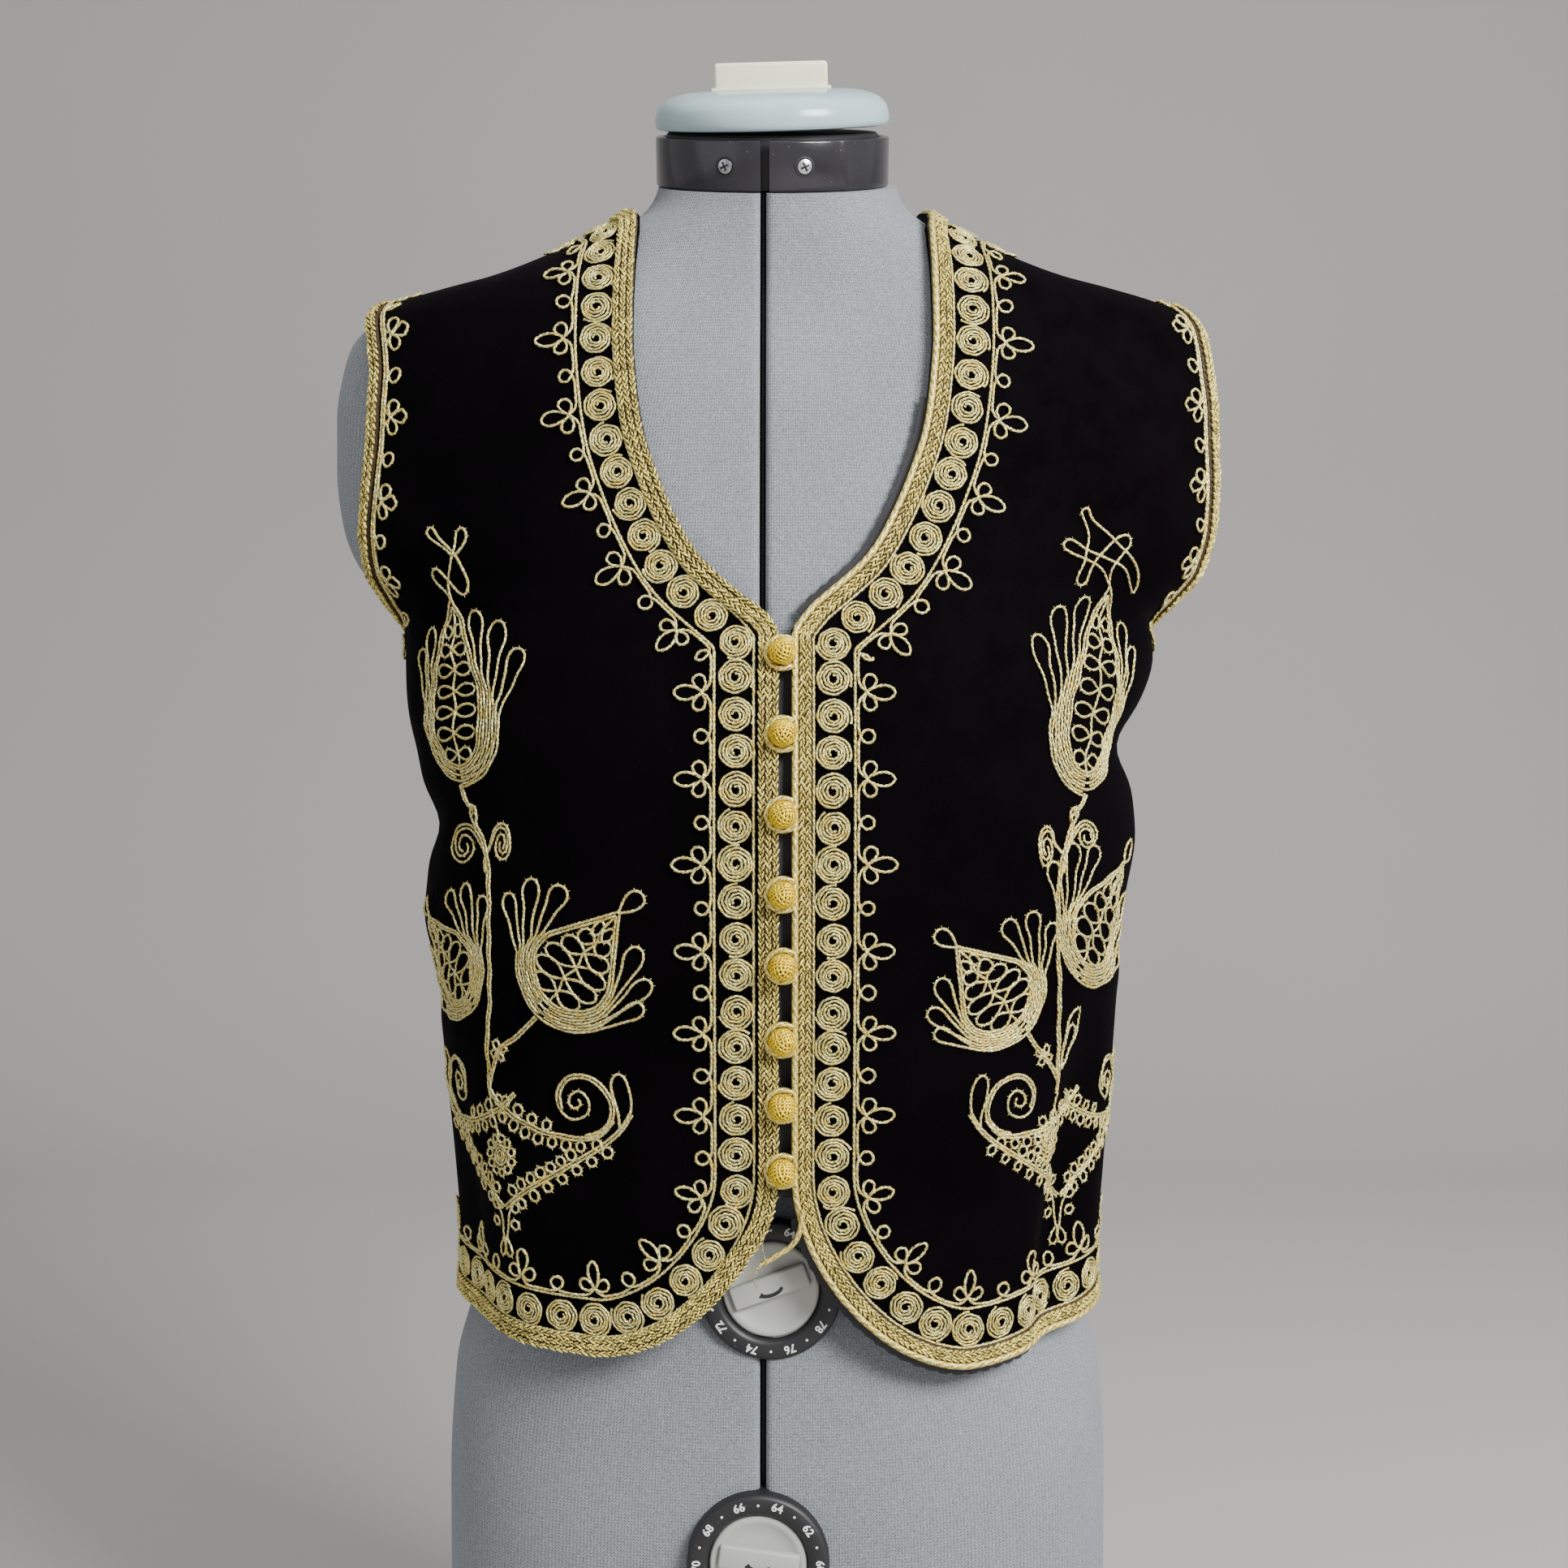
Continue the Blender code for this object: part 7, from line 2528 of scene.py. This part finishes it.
@dataclass
class Neck:
    """The collar's two halves with their screws, the block inside, and the cap with its handle."""

    half_width: float = 0.0532
    half_depth: float = 0.0560
    thickness: float = 0.0030
    height: float = 0.0215
    split_x: float = -0.0030
    screw_offset: float = 0.0172
    screw_radius: float = 0.0036
    cap_gap: float = 0.0022
    cap_height: float = 0.0165
    cap_roll: float = math.radians(-1.5)
    handle: tuple[float, float, float] = (0.0510, 0.0100, 0.0115)

    def oval(self, turn: float, inset: float = 0.0, share: float = 1.0) -> Point2:
        """A point of the neck's oval; turn 0 is the centre front."""
        width, depth = self.half_width * share - inset, self.half_depth * share - inset
        return width * math.sin(turn), -depth * math.cos(turn)

    def collar(self, side: Side) -> None:
        """One half of the collar, with softly rounded rims and a slight ridge near its end."""
        sign = side.value
        gap = math.asin((SLIT_WIDTH / 2 + sign * self.split_x) / self.half_width)
        back_gap = math.asin(SLIT_WIDTH / 2 / self.half_width)
        r, q, h, w = 0.0009, 0.00027, self.height, self.thickness
        section = [(r, 0), (w - r, 0), (w - q, q), (w, r), (w, h - r), (w - q, h - q), (w - r, h)]
        section += [(r, h), (q, h - q), (0, h - r), (0, r), (q, q)]
        rings = []
        for t in np.linspace(gap, math.pi - back_gap, 90):
            ridge = 0.0006 * math.exp(-(((t - 0.66) / 0.035) ** 2)) if side is Side.LEFT else 0.0
            rings.append([(*self.oval(sign * t, inset - ridge), rise) for inset, rise in section])
        mesh = swept(f"collar_band_{side.word}", np.array(rings), smooth_angle=55)
        mesh.transform(NECK_FRAME)
        shown(mesh, COLLAR_GREY, f"collar_{side.word}")
        self.screw(side)

    def screw(self, side: Side) -> None:
        """A domed screw head with a cross recess, in a shallow seat; the recess and the seat are black pieces,
        painted shade.
        """
        x = self.split_x + side.value * self.screw_offset
        t = math.asin(x / self.half_width)
        turn = Matrix.Rotation(t * 0.95, 4, "Z") @ FACE_FRONT
        place = NECK_FRAME @ Matrix.Translation((*self.oval(t), self.height * 0.50)) @ turn
        r = self.screw_radius
        shapes = []
        for name, profile in (("seat", SCREW_SEAT), ("head", SCREW_HEAD)):
            line = [(share * r, z * MM) for share, z in profile]
            shapes.append(lathe(f"screw_{name}_{side.word}", line, 40, place))
        # Painted shade: the seat in the collar is darker than the collar.
        shown(shapes[0], RING_BLACK)
        shown(shapes[1], STEEL, f"collar_{side.word}_screw")
        # Painted shade: the cross recess is a raised black cross on the head.
        arms = []
        for degrees in (24, 114):
            spot = place @ Matrix.Translation((0, 0, 0.0013)) @ Matrix.Rotation(math.radians(degrees), 4, "Z")
            arms.append(rounded_box("arm", (r * 1.15, r * 0.26, 0.0004), 0.0001, spot, 1))
        shown(joined_mesh(f"screw_cross_{side.word}", arms), RING_BLACK)

    def block(self) -> None:
        """The dark block inside the collar."""
        inset = self.thickness + 0.0019
        turns = np.linspace(0, math.tau, 90, endpoint=False)
        top = self.height + self.cap_gap - 0.0004
        levels = ((0.0, 0.0006), (0.0006, 0.0), (top - 0.001, 0.0), (top, 0.001))
        rings = [[(*self.oval(t, inset + cut), z) for t in turns] for z, cut in levels]
        mesh = swept("neck_block", np.array(rings))
        mesh.transform(NECK_FRAME)
        shown(mesh, FRAME_BLACK, "neck_core")

    def cap(self) -> None:
        """The domed cap and the flat handle that stands on it."""
        turns = np.linspace(0, math.tau, 110, endpoint=False)
        profile = smooth_path(CAP_PROFILE, 0.55)
        rings = np.array([[(*self.oval(t, 0.0, share), z * MM) for t in turns] for share, z in profile])
        lift = self.half_width * math.sin(abs(self.cap_roll))
        base = Matrix.Translation((0, 0, self.height + self.cap_gap)) @ Matrix.Rotation(self.cap_roll, 4, "Y")
        frame = NECK_FRAME @ Matrix.Translation((0, 0, lift)) @ base
        mesh = swept("cap_dome", rings, smooth_angle=30)
        mesh.transform(frame)
        shown(mesh, CAP_BLUE, "neck_cap")
        long, deep, tall = self.handle
        spot = frame @ Matrix.Translation((0, 0, self.cap_height + 0.0003 + tall / 2))
        grip = rounded_box("handle_grip", self.handle, 0.0016, spot)
        spot = frame @ Matrix.Translation((0, 0, self.cap_height + 0.0005))
        foot = rounded_box("handle_foot", (long + 0.003, deep + 0.004, 0.0016), 0.0006, spot, 2)
        shown(joined_mesh("cap_grip", [grip, foot]), IVORY, "cap_handle")

    def build(self) -> None:
        """Make the neck's pieces."""
        self.collar(Side.RIGHT)
        self.collar(Side.LEFT)
        self.block()
        self.cap()


@dataclass
class Stand:
    """The short pole and the round plinth."""

    plinth_radius: float = 0.155
    plinth_height: float = 0.018
    pole_radius: float = 0.016
    rim_round: float = 0.004
    pole_top: float = 0.0797

    def build(self) -> None:
        """Turn both pieces."""
        r, h, soft = self.plinth_radius, self.plinth_height, self.rim_round
        turns = np.linspace(math.pi / 2, 0, 8)
        rim = [(r - soft + soft * math.sin(a), h - soft + soft * math.cos(a)) for a in turns]
        profile = [(0, 0), (r - 0.001, 0), (r, 0.001)] + rim + [(0.032, h), (0, h)]
        shown(lathe("plinth_disc", profile, 128, Matrix.Identity(4)), STAND, "plinth")
        p, low, high = self.pole_radius, h + 0.0003, self.pole_top
        profile = [(0, low), (p, low), (p, high), (0, high)]
        shown(lathe("pole_tube", profile, 64, Matrix.Identity(4)), STAND, "pole")


@dataclass
class Studio:
    """The floor, the light and the camera."""

    camera_place: tuple[float, float, float] = (0.003, -0.953, 0.565)
    camera_down: float = 2.6
    lens: float = 47.0

    def floor(self) -> None:
        """A pale floor that turns up into a backdrop far behind the object."""
        curve = [(-3.0, 0.0), (1.4, 0.0)]
        turns = np.linspace(0.1, math.pi / 2, 24)
        curve += [(1.4 + 0.9 * math.sin(a), 0.9 - 0.9 * math.cos(a)) for a in turns]
        curve += [(2.3, 4.0)]
        verts = [(x, y, z) for y, z in curve for x in (-4.0, 4.0)]
        faces = [[2 * i, 2 * i + 1, 2 * i + 3, 2 * i + 2] for i in range(len(curve) - 1)]
        mesh = clean_mesh("studio_floor", verts, faces, outward=False)
        mesh.materials.append(PAPER.material())
        new_object("studio_floor", mesh)

    @staticmethod
    def light(name: str, place: Point3, aim: Point3, size: float, power: float, colour: Colour) -> None:
        """A soft square light that looks at a place."""
        lamp = bpy.data.lights.new(name, "AREA")
        lamp.shape = "SQUARE"
        lamp.size, lamp.energy, lamp.color = size, power, colour
        obj = new_object(name, lamp)
        obj.location = place
        obj.rotation_euler = (Vector(aim) - Vector(place)).to_track_quat("-Z", "Y").to_euler()

    def build(self) -> None:
        """Set up the floor, the lights, the world and the camera."""
        self.floor()
        aim = (0, 0, 0.50)
        self.light("key_right", (1.25, -1.35, 1.55), aim, 0.8, 96, (1.0, 0.99, 0.97))
        self.light("fill_left", (-1.7, -1.1, 0.9), aim, 1.6, 5, (0.96, 0.98, 1.0))
        self.light("top_soft", (0.2, -0.2, 2.4), (0, 0, 0.6), 1.6, 18, (1.0, 1.0, 1.0))
        world = bpy.data.worlds.new("studio_air")
        world.use_nodes = True
        make = NodeMaker(world.node_tree)
        air = make.node("ShaderNodeBackground", {}, {"Color": rgba((0.84, 0.845, 0.85)), "Strength": 0.66})
        make.node("ShaderNodeOutputWorld", {}, {"Surface": air.outputs[0]})
        bpy.context.scene.world = world
        data = bpy.data.cameras.new("photo_camera")
        data.lens, data.sensor_width, data.clip_start = self.lens, 36.0, 0.01
        camera = new_object("photo_camera", data)
        camera.location = self.camera_place
        camera.rotation_euler = (math.radians(90 - self.camera_down), 0, 0)
        bpy.context.scene.camera = camera


def area_of(mesh: Mesh) -> float:
    """Half the surface of a thin closed shell."""
    return sum(face.area for face in mesh.polygons) / 2


def main() -> None:
    """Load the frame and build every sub-assembly."""
    logging.basicConfig(level=logging.INFO, format="%(name)s %(message)s")
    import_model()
    Studio().build()
    halves = Torso().build()
    Neck().build()
    Dial("waist_dial", -0.0026, 0.3085).build()
    Dial("hip_dial", -0.0080, 0.1930, bar_angle=-8.0).build()
    Stand().build()
    panels = Panels()
    fronts = {side: panels.front(side) for side in Side}
    back = panels.back()
    strip, edges = Closure().build()
    for side in Side:
        Trims(side).build()
    Embroidery().build()
    for side, piece in fronts.items():
        LOG.info("%s area %.4f", piece.name, area_of(piece.data))
    LOG.info("back area %.4f strip area %.4f", area_of(back.data), area_of(strip.data))


if __name__ == "__main__":
    main()
